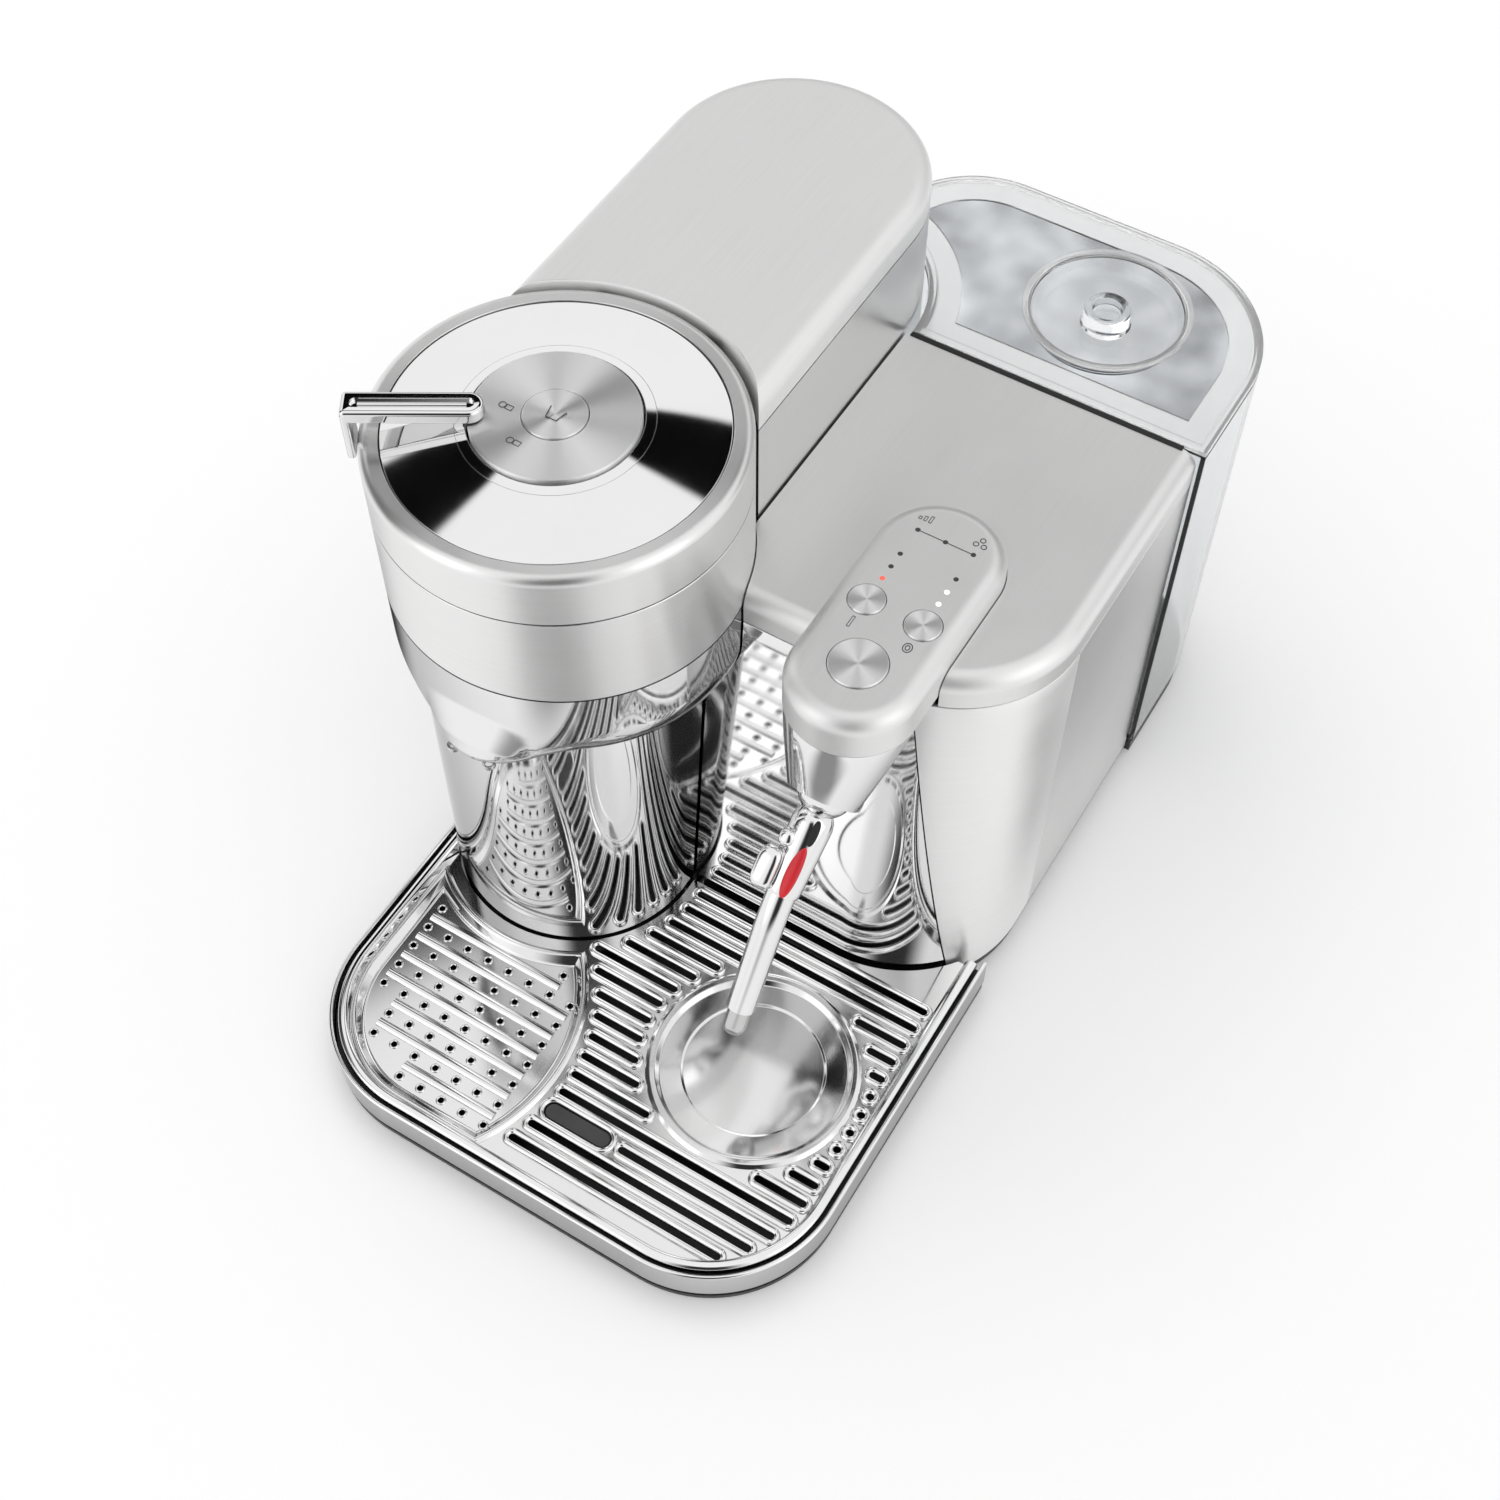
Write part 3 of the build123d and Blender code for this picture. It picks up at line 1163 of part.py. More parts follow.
TRAY_FOOT_SPOTS = [
    (TRAY_LEFT + TRAY_CORNER / 2, FRONT_Y + TRAY_CORNER / 2 + FOOT_R),
    (TRAY_RIGHT - TRAY_CORNER / 2, FRONT_Y + TRAY_CORNER / 2 + FOOT_R),
]
with BuildPart() as tray_feet:
    with Locations(*[(x, y, 0) for x, y in TRAY_FOOT_SPOTS]):
        Cylinder(FOOT_R, PAN_LOW, align=BOTTOM)
save(tray_feet, "tray_feet")

# Stamped grid: rolled rim, sunk cup well and raised-lip slots in rows round the jug ring
ROW_START = FRONT_Y + ROW_FRONT
PLATE_EDGE = GRID_INSET + GRID_RIM_W
SLOT_MARGIN = LIP_W + SLOT_W / 2
COLUMN_EDGE = TOWER_HALF + TRAY_CLEAR + PLATE_EDGE
FLOAT_ROW = 2
FLOAT_X = WELL_X + WELL_R + 2.5 + FLOAT_SLOT_L / 2


def left_limit(y):
    """Leftmost X that a slot may reach in a row: the cup well's ridge or the column."""
    limits = [TRAY_LEFT + PLATE_EDGE]
    if abs(y - WELL_Y) < WELL_R:
        limits.append(WELL_X + sqrt(WELL_R ** 2 - (y - WELL_Y) ** 2))
    if y > COLUMN_Y:
        limits.append(HEAD_X + COLUMN_EDGE)
    elif abs(y - COLUMN_Y) < COLUMN_EDGE:
        limits.append(HEAD_X + sqrt(COLUMN_EDGE ** 2 - (y - COLUMN_Y) ** 2))
    return max(limits) + SLOT_MARGIN


def right_limit(y):
    """Rightmost X that a slot may reach in a row, inside the rolled rim."""
    right = TRAY_RIGHT - PLATE_EDGE
    corner_y = FRONT_Y + TRAY_CORNER
    if y < corner_y:
        corner = TRAY_CORNER - PLATE_EDGE
        right += sqrt(corner ** 2 - (y - corner_y) ** 2) - corner
    return right - SLOT_MARGIN


def row_spans(y, row):
    """Start and end X of each slot in a row, clear of the jug ring and the float slot."""
    start, end = left_limit(y), right_limit(y)
    spans = [(start, end)]
    reach = JUG_R + SLOT_W / 2 + LIP_W
    if abs(y - JUG_Y) < reach:
        half = sqrt(reach ** 2 - (y - JUG_Y) ** 2)
        spans = [(start, JUG_X - half), (JUG_X + half, end)]
    if row == FLOAT_ROW:
        spans = [(FLOAT_X + FLOAT_SLOT_L / 2 + SLOT_MARGIN, end)]
    return [(a, b) for a, b in spans if b - a > SLOT_W]


ROWS = int((FRONT_LOW_Y - SLOT_MARGIN - TRAY_CLEAR - PLATE_EDGE - ROW_START) / ROW_PITCH) + 1
SLOTS = [
    (a, b, ROW_START + row * ROW_PITCH)
    for row in range(ROWS)
    for a, b in row_spans(ROW_START + row * ROW_PITCH, row)
]
FLOAT_Y = ROW_START + FLOAT_ROW * ROW_PITCH


def slot_face(grow):
    """All the slots of the grid, grown by a margin."""
    with BuildSketch(mode=Mode.PRIVATE) as holes:
        for a, b, y in SLOTS:
            with Locations(((a + b) / 2, y)):
                SlotOverall(b - a + 2 * grow, SLOT_W + 2 * grow)
        with Locations((FLOAT_X, FLOAT_Y)):
            SlotOverall(FLOAT_SLOT_L + 2 * grow, FLOAT_SLOT_W + 2 * grow)
    return holes.sketch


def well_face(margin=0.0):
    """Plan of the cup well: the part of the plate inside the ridge's arc."""
    with BuildSketch(mode=Mode.PRIVATE) as plan:
        add(tray_face(-PLATE_EDGE + margin))
        with Locations((WELL_X, WELL_Y)):
            Circle(WELL_R + margin, mode=Mode.INTERSECT)
    return plan.sketch


def in_well(x, y):
    """Whether a drain hole lies inside the cup well, clear of its ridge, the rim and the column."""
    clear = RIDGE_W + 3 * WELL_HOLE_R
    corner = (TRAY_LEFT + TRAY_CORNER, FRONT_Y + TRAY_CORNER)
    in_ridge = (x - WELL_X) ** 2 + (y - WELL_Y) ** 2 < (WELL_R - clear) ** 2
    off_column = (x - HEAD_X) ** 2 + (y - COLUMN_Y) ** 2 > (COLUMN_EDGE + clear) ** 2
    in_rim = x > TRAY_LEFT + PLATE_EDGE + clear and y > FRONT_Y + PLATE_EDGE + clear
    in_corner = x > corner[0] or y > corner[1]
    on_arc = (x - corner[0]) ** 2 + (y - corner[1]) ** 2 < (TRAY_CORNER - PLATE_EDGE - clear) ** 2
    return in_ridge and off_column and in_rim and (in_corner or on_arc) and y < COLUMN_Y


WELL_COUNT = int(2 * WELL_R / WELL_PITCH)
WELL_HOLES = [
    (WELL_X + i * WELL_PITCH, WELL_Y + j * WELL_PITCH)
    for i in range(-WELL_COUNT, WELL_COUNT)
    for j in range(-WELL_COUNT, WELL_COUNT)
    if in_well(WELL_X + i * WELL_PITCH, WELL_Y + j * WELL_PITCH)
]
PLATE_LOW = GRID_LEVEL - GRID_T
with BuildPart() as drip_grid:
    with BuildSketch(Plane.XY.offset(PLATE_LOW)):
        add(tray_face(-GRID_INSET))
    extrude(amount=TRAY_RIM - PLATE_LOW)
    fillet(drip_grid.faces().sort_by(Axis.Z)[-1].edges(), GRID_RIM_W * 0.4)
    with BuildSketch(Plane.XY.offset(GRID_LEVEL)):
        add(tray_face(-PLATE_EDGE))
    extrude(amount=TRAY_RIM, mode=Mode.SUBTRACT)
    with BuildSketch(Plane.XY.offset(PLATE_LOW - WELL_SINK)):
        add(well_face())
    extrude(amount=WELL_SINK + GRID_T + RIDGE_H)
    with BuildSketch(Plane.XY.offset(GRID_LEVEL - WELL_SINK)):
        add(well_face(-RIDGE_W))
    extrude(amount=TRAY_RIM, mode=Mode.SUBTRACT)
    with BuildSketch(Plane.XY.offset(GRID_LEVEL)):
        add(slot_face(LIP_W))
    extrude(amount=LIP_H)
    with BuildSketch(Plane.XY.offset(PLATE_LOW - 1)):
        add(slot_face(0.0))
    extrude(amount=TRAY_RIM, mode=Mode.SUBTRACT)
    with Locations(*[(x, y, PLATE_LOW - WELL_SINK) for x, y in WELL_HOLES]):
        Cylinder(WELL_HOLE_R, 4 * GRID_T, mode=Mode.SUBTRACT)
save(drip_grid, "drip_grid")

FLOAT_LOW = PAN_LOW + PAN_FLOOR + SEAT
with BuildPart() as tray_float:
    with BuildSketch(Plane.XY.offset(FLOAT_LOW)):
        with Locations((FLOAT_X, FLOAT_Y)):
            SlotOverall(FLOAT_SLOT_L - 2 * FLOAT_CLEAR, FLOAT_SLOT_W - 2 * FLOAT_CLEAR)
    extrude(amount=GRID_LEVEL - FLOAT_LOW)
save(tray_float, "tray_float")

# Water tank, lid with its dished recess, knob, valve and socket
VALVE_SPOT = (LID_X - 70.0, LID_Y)
with BuildPart() as water_tank:
    with BuildSketch(Plane.XY.offset(TANK_LOW)):
        add(tank_face())
    extrude(amount=TANK_TOP - TANK_LOW)
    with BuildSketch(Plane.XY.offset(TANK_LOW + TANK_FLOOR)):
        add(tank_face(-TANK_WALL))
    extrude(amount=TANK_TOP, mode=Mode.SUBTRACT)
    post(*VALVE_SPOT, 0, TANK_TOP, VALVE_R + SEAT, Mode.SUBTRACT)
save(water_tank, "water_tank")

SKIRT_DEPTH = 5.0
LID_LOW = TANK_TOP + SEAT
with BuildPart() as tank_lid:
    with BuildSketch(Plane.XY.offset(LID_LOW)):
        add(tank_face())
    extrude(amount=LID_T)
    with BuildSketch(Plane.XY.offset(LID_LOW - SKIRT_DEPTH)):
        add(tank_face(-TANK_WALL - SEAM))
        add(tank_face(-2 * TANK_WALL - SEAM), mode=Mode.SUBTRACT)
    extrude(amount=SKIRT_DEPTH)
    post(LID_X, LID_Y, LID_LOW + LID_T - RECESS_DEPTH - LID_T, LID_LOW, RECESS_R + LID_T)
    post(LID_X, LID_Y, LID_LOW + LID_T - RECESS_DEPTH, TANK_TOP + RING_TOP, RECESS_R, Mode.SUBTRACT)
save(tank_lid, "tank_lid")

KNOB_LOW = LID_LOW + LID_T - RECESS_DEPTH
with BuildPart() as tank_knob:
    post(LID_X, LID_Y, KNOB_LOW, KNOB_LOW + RECESS_DEPTH - 2, KNOB_R)
    post(LID_X, LID_Y, KNOB_LOW + RECESS_DEPTH / 2, KNOB_LOW + RECESS_DEPTH, KNOB_R * 1.5)
    fillet(tank_knob.edges().sort_by(Axis.Z)[-1], 1.5)
save(tank_knob, "tank_knob")

FLOOR_TOP = TANK_LOW + TANK_FLOOR
with BuildPart() as tank_valve:
    post(*VALVE_SPOT, FLOOR_TOP + SEAT, FLOOR_TOP + SEAT + 4, 1.6 * VALVE_R)
    post(*VALVE_SPOT, TANK_LOW + SEAT, FLOOR_TOP + SEAT, VALVE_R)
save(tank_valve, "tank_valve")

with BuildPart() as tank_socket:
    post(*VALVE_SPOT, BASE_TOP, BASE_TOP + TANK_LIFT - SEAT, 2 * VALVE_R)
save(tank_socket, "tank_socket")
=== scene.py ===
"""Looks of the pod coffee machine: brew tower and head, steam housing and wand, drip tray and clear tank."""
import logging
import math
from dataclasses import dataclass, field
from enum import Enum
from typing import Any, Callable, Dict, List, Sequence, Tuple, Union

import bmesh
import bpy
import numpy as np
from mathutils import Matrix, Vector


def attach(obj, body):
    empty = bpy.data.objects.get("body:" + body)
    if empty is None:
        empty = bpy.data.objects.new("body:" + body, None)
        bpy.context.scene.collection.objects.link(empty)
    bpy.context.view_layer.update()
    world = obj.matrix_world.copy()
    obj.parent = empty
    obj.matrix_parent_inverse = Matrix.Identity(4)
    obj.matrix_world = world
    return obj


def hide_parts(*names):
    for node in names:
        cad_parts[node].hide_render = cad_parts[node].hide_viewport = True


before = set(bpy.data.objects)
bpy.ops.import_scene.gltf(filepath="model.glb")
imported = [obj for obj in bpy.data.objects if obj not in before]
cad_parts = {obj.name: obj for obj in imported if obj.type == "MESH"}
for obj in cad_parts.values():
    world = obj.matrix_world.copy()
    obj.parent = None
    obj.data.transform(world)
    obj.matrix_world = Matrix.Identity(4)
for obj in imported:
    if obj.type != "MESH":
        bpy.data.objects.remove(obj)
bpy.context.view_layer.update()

LOG = logging.getLogger("coffee_machine")
MM = 0.001
CORNER_SHARE = 0.49  # most of a run that the rounding of one of its corners may take
TURN = 2 * math.pi
Point2 = Tuple[float, float]
Point3 = Tuple[float, float, float]
Loop = List[Point3]
Plan = Callable[[float], List[Point2]]
Material, Mesh = bpy.types.Material, bpy.types.Mesh
Node, Socket = bpy.types.Node, bpy.types.NodeSocket

# Shared places of the machine, in millimetres
HEAD_X, HEAD_Y, HEAD_R = -57.6, -48.0, 69.4
HEAD = (HEAD_X, HEAD_Y)
HEAD_GAP = 0.5
COLUMN_Y = -60.0
COLUMN = (HEAD_X, COLUMN_Y)
TOWER_HALF, TOWER_REAR = 54.0, 113.0
HOUSING_LEFT, HOUSING_RIGHT, HOUSING_FRONT, HOUSING_CORNER = -2.8, 124.4, -54.5, 57.3
CAP_X = 65.5
MAIN_KEY, LEFT_KEY, RIGHT_KEY = (CAP_X, -48.0), (CAP_X - 11.5, -21.5), (CAP_X + 11.5, -21.5)


class Grain(Enum):
    """Which way the fine lines of a worked metal run, in cycles per metre along X, Y and Z."""

    ALONG_Y = (5200.0, 25.0, 5200.0)
    LEVEL = (20.0, 20.0, 5200.0)
    UPRIGHT = (5200.0, 5200.0, 20.0)


def grey(tone: float) -> Point3:
    """An even grey."""
    return (tone, tone, tone)


class NodeDesk:
    """Short hand for building a node tree."""

    NOISE = (0.3, 0.7)  # where a noise counts as low and as high
    EDGE = (0.42, 0.97)  # how far a surface turns away where its edge shade starts and ends

    def __init__(self, tree: bpy.types.NodeTree) -> None:
        """Take over a tree."""
        self.tree = tree

    def join(self, value: Any, target: Socket) -> None:
        """Set an input, or link it.

        Args:
            value: its value, or the socket that it comes from.
            target: the input.
        """
        if isinstance(value, bpy.types.NodeSocket):
            self.tree.links.new(value, target)
        else:
            target.default_value = value

    def feed(self, node: Node, **sockets: Any) -> Node:
        """Set or link a node's inputs.

        Args:
            node: the node.
            sockets: value or source of each input, by its name with underscores for blanks.

        Returns:
            The node itself.
        """
        for name, value in sockets.items():
            self.join(value, node.inputs[name.replace("_", " ")])
        return node

    def add(self, kind: str, settings: Sequence[Tuple[str, Any]] = (), **sockets: Any) -> Node:
        """Add a node.

        Args:
            kind: its type name.
            settings: its own settings, by name.
            sockets: value or source of each input.

        Returns:
            The new node.
        """
        node = self.tree.nodes.new(kind)
        for name, value in settings:
            setattr(node, name, value)
        return self.feed(node, **sockets)

    def math(self, operation: str, *values: Any) -> Socket:
        """Work out a sum.

        Args:
            operation: what is worked out.
            values: values or sources, in order.

        Returns:
            The result.
        """
        node = self.add("ShaderNodeMath", [("operation", operation)])
        for value, target in zip(values, node.inputs):
            self.join(value, target)
        return node.outputs["Value"]

    def place(self, kind: str = "Object") -> Socket:
        """The coordinates of a kind."""
        return self.add("ShaderNodeTexCoord").outputs[kind]

    def noise(self, scale: Point3, detail: float) -> Socket:
        """A noise on Object coordinates.

        Args:
            scale: cycles per metre along X, Y and Z.
            detail: octaves of the noise.

        Returns:
            The noise's value.
        """
        spot = self.add("ShaderNodeMapping", Vector=self.place(), Scale=scale).outputs["Vector"]
        waves = self.add("ShaderNodeTexNoise", Vector=spot, Scale=1.0, Detail=detail, Roughness=0.6)
        return waves.outputs["Fac"]

    def spread(self, source: Socket, low: float, high: float) -> Socket:
        """Map a noise onto a range.

        Args:
            source: the noise.
            low: result where it is low.
            high: result where it is high.

        Returns:
            The mapped value.
        """
        ends = {"From_Min": self.NOISE[0], "From_Max": self.NOISE[1], "To_Min": low, "To_Max": high}
        return self.add("ShaderNodeMapRange", Value=source, **ends).outputs["Result"]

    def tint(self, source: Socket, dark: Point3, pale: Point3) -> Socket:
        """Blend two near colours by a noise.

        Args:
            source: the noise.
            dark: colour where it is low.
            pale: colour where it is high.

        Returns:
            The blended colour.
        """
        ramp = self.add("ShaderNodeValToRGB", Fac=source)
        for stop, spot, colour in zip(ramp.color_ramp.elements, self.NOISE, (dark, pale)):
            stop.position, stop.color = spot, (*colour, 1)
        return ramp.outputs["Color"]

    def bump(self, source: Socket, strength: float, depth: float) -> Socket:
        """A bump from a height.

        Args:
            source: the height's value.
            strength: share of the bump that shows.
            depth: height of the relief, in metres.

        Returns:
            The bent normal.
        """
        return self.add("ShaderNodeBump", Height=source, Strength=strength, Distance=depth).outputs["Normal"]

    def soft_step(self, source: Socket, start: Point2, end: Point2) -> Socket:
        """Ease from one value to another.

        Args:
            source: what is mapped.
            start: where it begins, and the value there.
            end: where it ends, and the value there.

        Returns:
            The eased value.
        """
        ends = {"From_Min": start[0], "From_Max": end[0], "To_Min": start[1], "To_Max": end[1]}
        smooth = [("interpolation_type", "SMOOTHSTEP")]
        return self.add("ShaderNodeMapRange", smooth, Value=source, **ends).outputs["Result"]

    def round_axis(self, shader: Node, centre: Point2, amount: float) -> None:
        """Stretch the highlights across lines that run round an upright axis.

        Args:
            shader: the principled shader.
            centre: where the axis stands, in millimetres.
            amount: how far the highlights are stretched.
        """
        split = self.add("ShaderNodeSeparateXYZ", Vector=self.place())
        x = self.math("MULTIPLY_ADD", split.outputs["Y"], -1.0, centre[1] * MM)
        y = self.math("MULTIPLY_ADD", split.outputs["X"], 1.0, -centre[0] * MM)
        along = self.add("ShaderNodeCombineXYZ", X=x, Y=y).outputs["Vector"]
        unit = self.add("ShaderNodeVectorMath", [("operation", "NORMALIZE")], Vector=along)
        self.feed(shader, Tangent=unit.outputs["Vector"], Anisotropic=amount, Anisotropic_Rotation=0.25)

    def painted_edge_shade(self, colour: Socket, share: float) -> Socket:
        """Darken a colour where the surface turns away, as painted shade at the edges.

        Args:
            colour: the colour of the surface that is looked at squarely.
            share: what is left of it at the edge.

        Returns:
            The colour with its edge.
        """
        facing = self.add("ShaderNodeLayerWeight", Blend=0.5).outputs["Facing"]
        left = self.soft_step(facing, (self.EDGE[0], 1.0), (self.EDGE[1], share))
        scaled = self.add("ShaderNodeVectorMath", [("operation", "SCALE")], Vector=colour, Scale=left)
        return scaled.outputs["Vector"]


def fresh_tree(owner: Union[Material, bpy.types.World]) -> NodeDesk:
    """Empty the node tree of a material or world, and take it over.

    Args:
        owner: the material or world.

    Returns:
        The tree's desk.
    """
    owner.use_nodes = True
    owner.node_tree.nodes.clear()
    return NodeDesk(owner.node_tree)


def fresh_material(name: str) -> Tuple[Material, NodeDesk, Node]:
    """Make a material with a principled shader.

    Args:
        name: the material's name.

    Returns:
        The material, its desk and its shader.
    """
    made = bpy.data.materials.new(name)
    desk = fresh_tree(made)
    shader = desk.add("ShaderNodeBsdfPrincipled")
    desk.add("ShaderNodeOutputMaterial", Surface=shader.outputs["BSDF"])
    return made, desk, shader


@dataclass(frozen=True)
class Finish:
    """What a surface is made of and how it is worked."""

    name: str

    def dress(self, desk: NodeDesk, shader: Node) -> None:
        """Set up the shader; each kind of finish has its own way.

        Args:
            desk: the tree's desk.
            shader: the principled shader.
        """
        raise NotImplementedError

    def build(self) -> Material:
        """Make the material.

        Returns:
            The material.
        """
        made, desk, shader = fresh_material(self.name)
        self.dress(desk, shader)
        return made


@dataclass(frozen=True)
class SatinSteel(Finish):
    """Fine brushed steel with lines in one direction and faint hand marks."""

    grain: Grain
    tone: float
    gloss: float
    stretch: float = 0.0
    centre: Point2 = (0.0, 0.0)

    def dress(self, desk: NodeDesk, shader: Node) -> None:
        """Lay the lines and the hand marks.

        Args:
            desk: the tree's desk.
            shader: the principled shader.
        """
        lines, marks = desk.noise(self.grain.value, 4.0), desk.noise(grey(22.0), 2.0)
        tone, gloss = self.tone, self.gloss
        dark, pale = (tone * 0.97, tone * 0.97, tone * 0.965), (tone * 1.03, tone * 1.03, tone * 1.025)
        fine, broad = desk.spread(lines, gloss - 0.03, gloss + 0.03), desk.spread(marks, -0.025, 0.025)
        rough = desk.math("ADD", fine, broad)
        desk.feed(shader, Base_Color=desk.tint(lines, dark, pale), Roughness=rough, Metallic=1.0)
        desk.feed(shader, Normal=desk.bump(lines, 0.06, 0.00002))
        if self.stretch:
            desk.round_axis(shader, self.centre, self.stretch)


@dataclass(frozen=True)
class MirrorChrome(Finish):
    """Polished chrome with the faintest wipe marks, and painted shade at the edges that turn away."""

    tone: float = 0.84
    gloss: float = 0.03
    # share of the colour left where the surface turns away: painted edge shade
    edge: float = 0.22

    def dress(self, desk: NodeDesk, shader: Node) -> None:
        """Lay the wipe marks and the painted edge shade.

        Args:
            desk: the tree's desk.
            shader: the principled shader.
        """
        wipes = desk.noise((30.0, 30.0, 12.0), 4.0)
        colour = desk.tint(wipes, grey(self.tone * 0.985), grey(self.tone * 1.015))
        rough = desk.spread(wipes, self.gloss, self.gloss + 0.035)
        desk.feed(shader, Base_Color=desk.painted_edge_shade(colour, self.edge), Roughness=rough, Metallic=1.0)
        desk.feed(shader, Normal=desk.bump(wipes, 0.05, 0.00004))


@dataclass(frozen=True)
class SpunSteel(Finish):
    """Steel turned on a lathe, with fine rings about a centre that fan the light."""

    centre: Point2
    tone: float = 0.9
    gloss: float = 0.42

    def dress(self, desk: NodeDesk, shader: Node) -> None:
        """Lay the rings.

        Args:
            desk: the tree's desk.
            shader: the principled shader.
        """
        middle = (-self.centre[0] * MM, -self.centre[1] * MM, 0)
        shift = desk.add("ShaderNodeMapping", Vector=desk.place(), Location=middle, Scale=(1, 1, 0))
        reach = desk.add("ShaderNodeVectorMath", [("operation", "LENGTH")], Vector=shift.outputs["Vector"])
        rings = {"W": reach.outputs["Value"], "Scale": 5200.0, "Detail": 2.0, "Roughness": 0.5}
        lines = desk.add("ShaderNodeTexNoise", [("noise_dimensions", "1D")], **rings).outputs["Fac"]
        colour = desk.tint(lines, grey(self.tone * 0.975), grey(self.tone * 1.025))
        rough = desk.spread(lines, self.gloss - 0.05, self.gloss + 0.07)
        desk.feed(shader, Base_Color=colour, Roughness=rough, Metallic=1.0)
        desk.feed(shader, Normal=desk.bump(lines, 0.03, 0.00002))
        desk.round_axis(shader, self.centre, 0.97)


@dataclass(frozen=True)
class Moulded(Finish):
    """Moulded plastic or rubber with a fine grain."""

    color: Point3
    gloss: float
    grain: float = 1400.0
    depth: float = 0.00008

    def dress(self, desk: NodeDesk, shader: Node) -> None:
        """Lay the grain.

        Args:
            desk: the tree's desk.
            shader: the principled shader.
        """
        fine, broad = desk.noise(grey(self.grain), 2.0), desk.noise(grey(40.0), 3.0)
        dark, pale = [tuple(min(1.0, c * share) for c in self.color) for share in (0.85, 1.15)]
        rough = desk.spread(broad, self.gloss - 0.05, self.gloss + 0.07)
        desk.feed(shader, Base_Color=desk.tint(broad, dark, pale), Roughness=rough)
        desk.feed(shader, Normal=desk.bump(fine, 0.25, self.depth))


@dataclass(frozen=True)
class ClearPlastic(Finish):
    """Clear moulded plastic with faint flow marks and tint blotches: faint tone where small, painted caustic
    highlights and shade where large.
    """

    color: Point3 = (0.93, 0.945, 0.955)
    gloss: float = 0.02
    bend: float = 1.45
    clear: float = 1.0
    # size of the tint blotches: faint tone where small, painted caustic highlights and shade where large
    tint_blotches: float = 0.015

    def dress(self, desk: NodeDesk, shader: Node) -> None:
        """Lay the flow marks.

        Args:
            desk: the tree's desk.
            Lay the flow marks and the tint blotches, which where large are painted caustic highlights and
            shade.
        """
        flow, drift = desk.noise((9.0, 9.0, 3.0), 3.0), desk.noise((24.0, 24.0, 8.0), 2.0)
        # darker and paler blotch colours: painted caustic highlights and shade where the blotches are large
        dim_blotch, clean = [tuple(min(1.0, c * (1.0 + side * self.tint_blotches)) for c in self.color) for side in (-1, 1)]
        rough = desk.spread(flow, self.gloss, self.gloss + 0.05)
        desk.feed(shader, Base_Color=desk.tint(drift, dim_blotch, clean), Roughness=rough)
        desk.feed(shader, Normal=desk.bump(flow, 0.08, 0.0008), Transmission_Weight=self.clear, IOR=self.bend)


@dataclass(frozen=True)
class LampLens(Finish):
    """A small lens that may glow."""

    color: Point3
    glow: float = 0.0

    def dress(self, desk: NodeDesk, shader: Node) -> None:
        """Cloud the lens and make it glow.

        Args:
            desk: the tree's desk.
            shader: the principled shader.
        """
        tint_blotches = desk.noise(grey(600.0), 2.0)
        dark = tuple(c * 0.8 for c in self.color)
        colour, rough = desk.tint(tint_blotches, dark, self.color), desk.spread(tint_blotches, 0.15, 0.25)
        desk.feed(shader, Base_Color=colour, Roughness=rough)
        desk.feed(shader, Emission_Color=(*self.color, 1), Emission_Strength=self.glow)


class Finishes:
    """All the finishes of the machine, each made once."""

    SLOTS: Dict[str, str] = {
        "satin": "satin_steel",
        "mirror": "mirror_chrome",
        "soft": "mirror_chrome",
        "spun": "turned_steel",
        "ink": "black_plastic",
        "clear": "clear_plastic",
        "lens": "light_lens",
    }

    def __init__(self) -> None:
        """Make every material."""
        recipes: List[Finish] = [
            SatinSteel("satin_along_arm", Grain.ALONG_Y, 0.92, 0.58),
            SatinSteel("satin_lid", Grain.ALONG_Y, 0.82, 0.46),
            SatinSteel("satin_level", Grain.LEVEL, 0.84, 0.33, 0.8, HEAD),
            SatinSteel("satin_wrap", Grain.LEVEL, 0.9, 0.36, 0.8, (70.0, 8.0)),
            SatinSteel("satin_shell", Grain.LEVEL, 0.74, 0.32),
            SatinSteel("satin_side", Grain.UPRIGHT, 0.74, 0.32),
            SatinSteel("plain_steel", Grain.LEVEL, 0.6, 0.2),
            SatinSteel("cast_aluminium", Grain.UPRIGHT, 0.66, 0.42),
            MirrorChrome("mirror_chrome"),
            MirrorChrome("soft_chrome", 0.8, 0.07),
            SpunSteel("spun_head", HEAD),
            SpunSteel("spun_main", MAIN_KEY),
            SpunSteel("spun_left", LEFT_KEY),
            SpunSteel("spun_right", RIGHT_KEY),
            Moulded("black_plastic", (0.018, 0.018, 0.02), 0.42),
            Moulded("rubber", grey(0.012), 0.7, 900.0, 0.00015),
            Moulded("red_plastic", (0.74, 0.006, 0.018), 0.4, 700.0, 0.00003),
            Moulded("ink_mark", (0.05, 0.05, 0.052), 0.4, 900.0, 0.00003),
            ClearPlastic("clear_plastic"),
            ClearPlastic("clear_edge", (0.985, 0.99, 0.99), 0.22, 1.4, 0.8),
            # large tint blotches: painted caustic highlights and shade on the dish
            ClearPlastic("clear_dish", (0.74, 0.75, 0.765), 0.03, 1.4, 1.0, 0.3),
            # grey tint and large blotches: painted shade and painted caustic highlights seen through the lid
            ClearPlastic("clear_shade", (0.62, 0.63, 0.645), 0.05, 1.25, 1.0, 0.5),
            LampLens("lens_dark", grey(0.05)),
            LampLens("lens_white", (0.95, 0.95, 0.92), 0.9),
            LampLens("lens_red", (0.8, 0.12, 0.08), 0.5),
        ]
        self.made: Dict[str, Material] = {r.name: r.build() for r in recipes}

    def __getitem__(self, name: str) -> Material:
        """The material of that name."""
        return self.made[name]

    def slot(self, name: str) -> str:
        """The slot that the finish of that name falls under."""
        return self.SLOTS.get(name.split("_")[0], name)


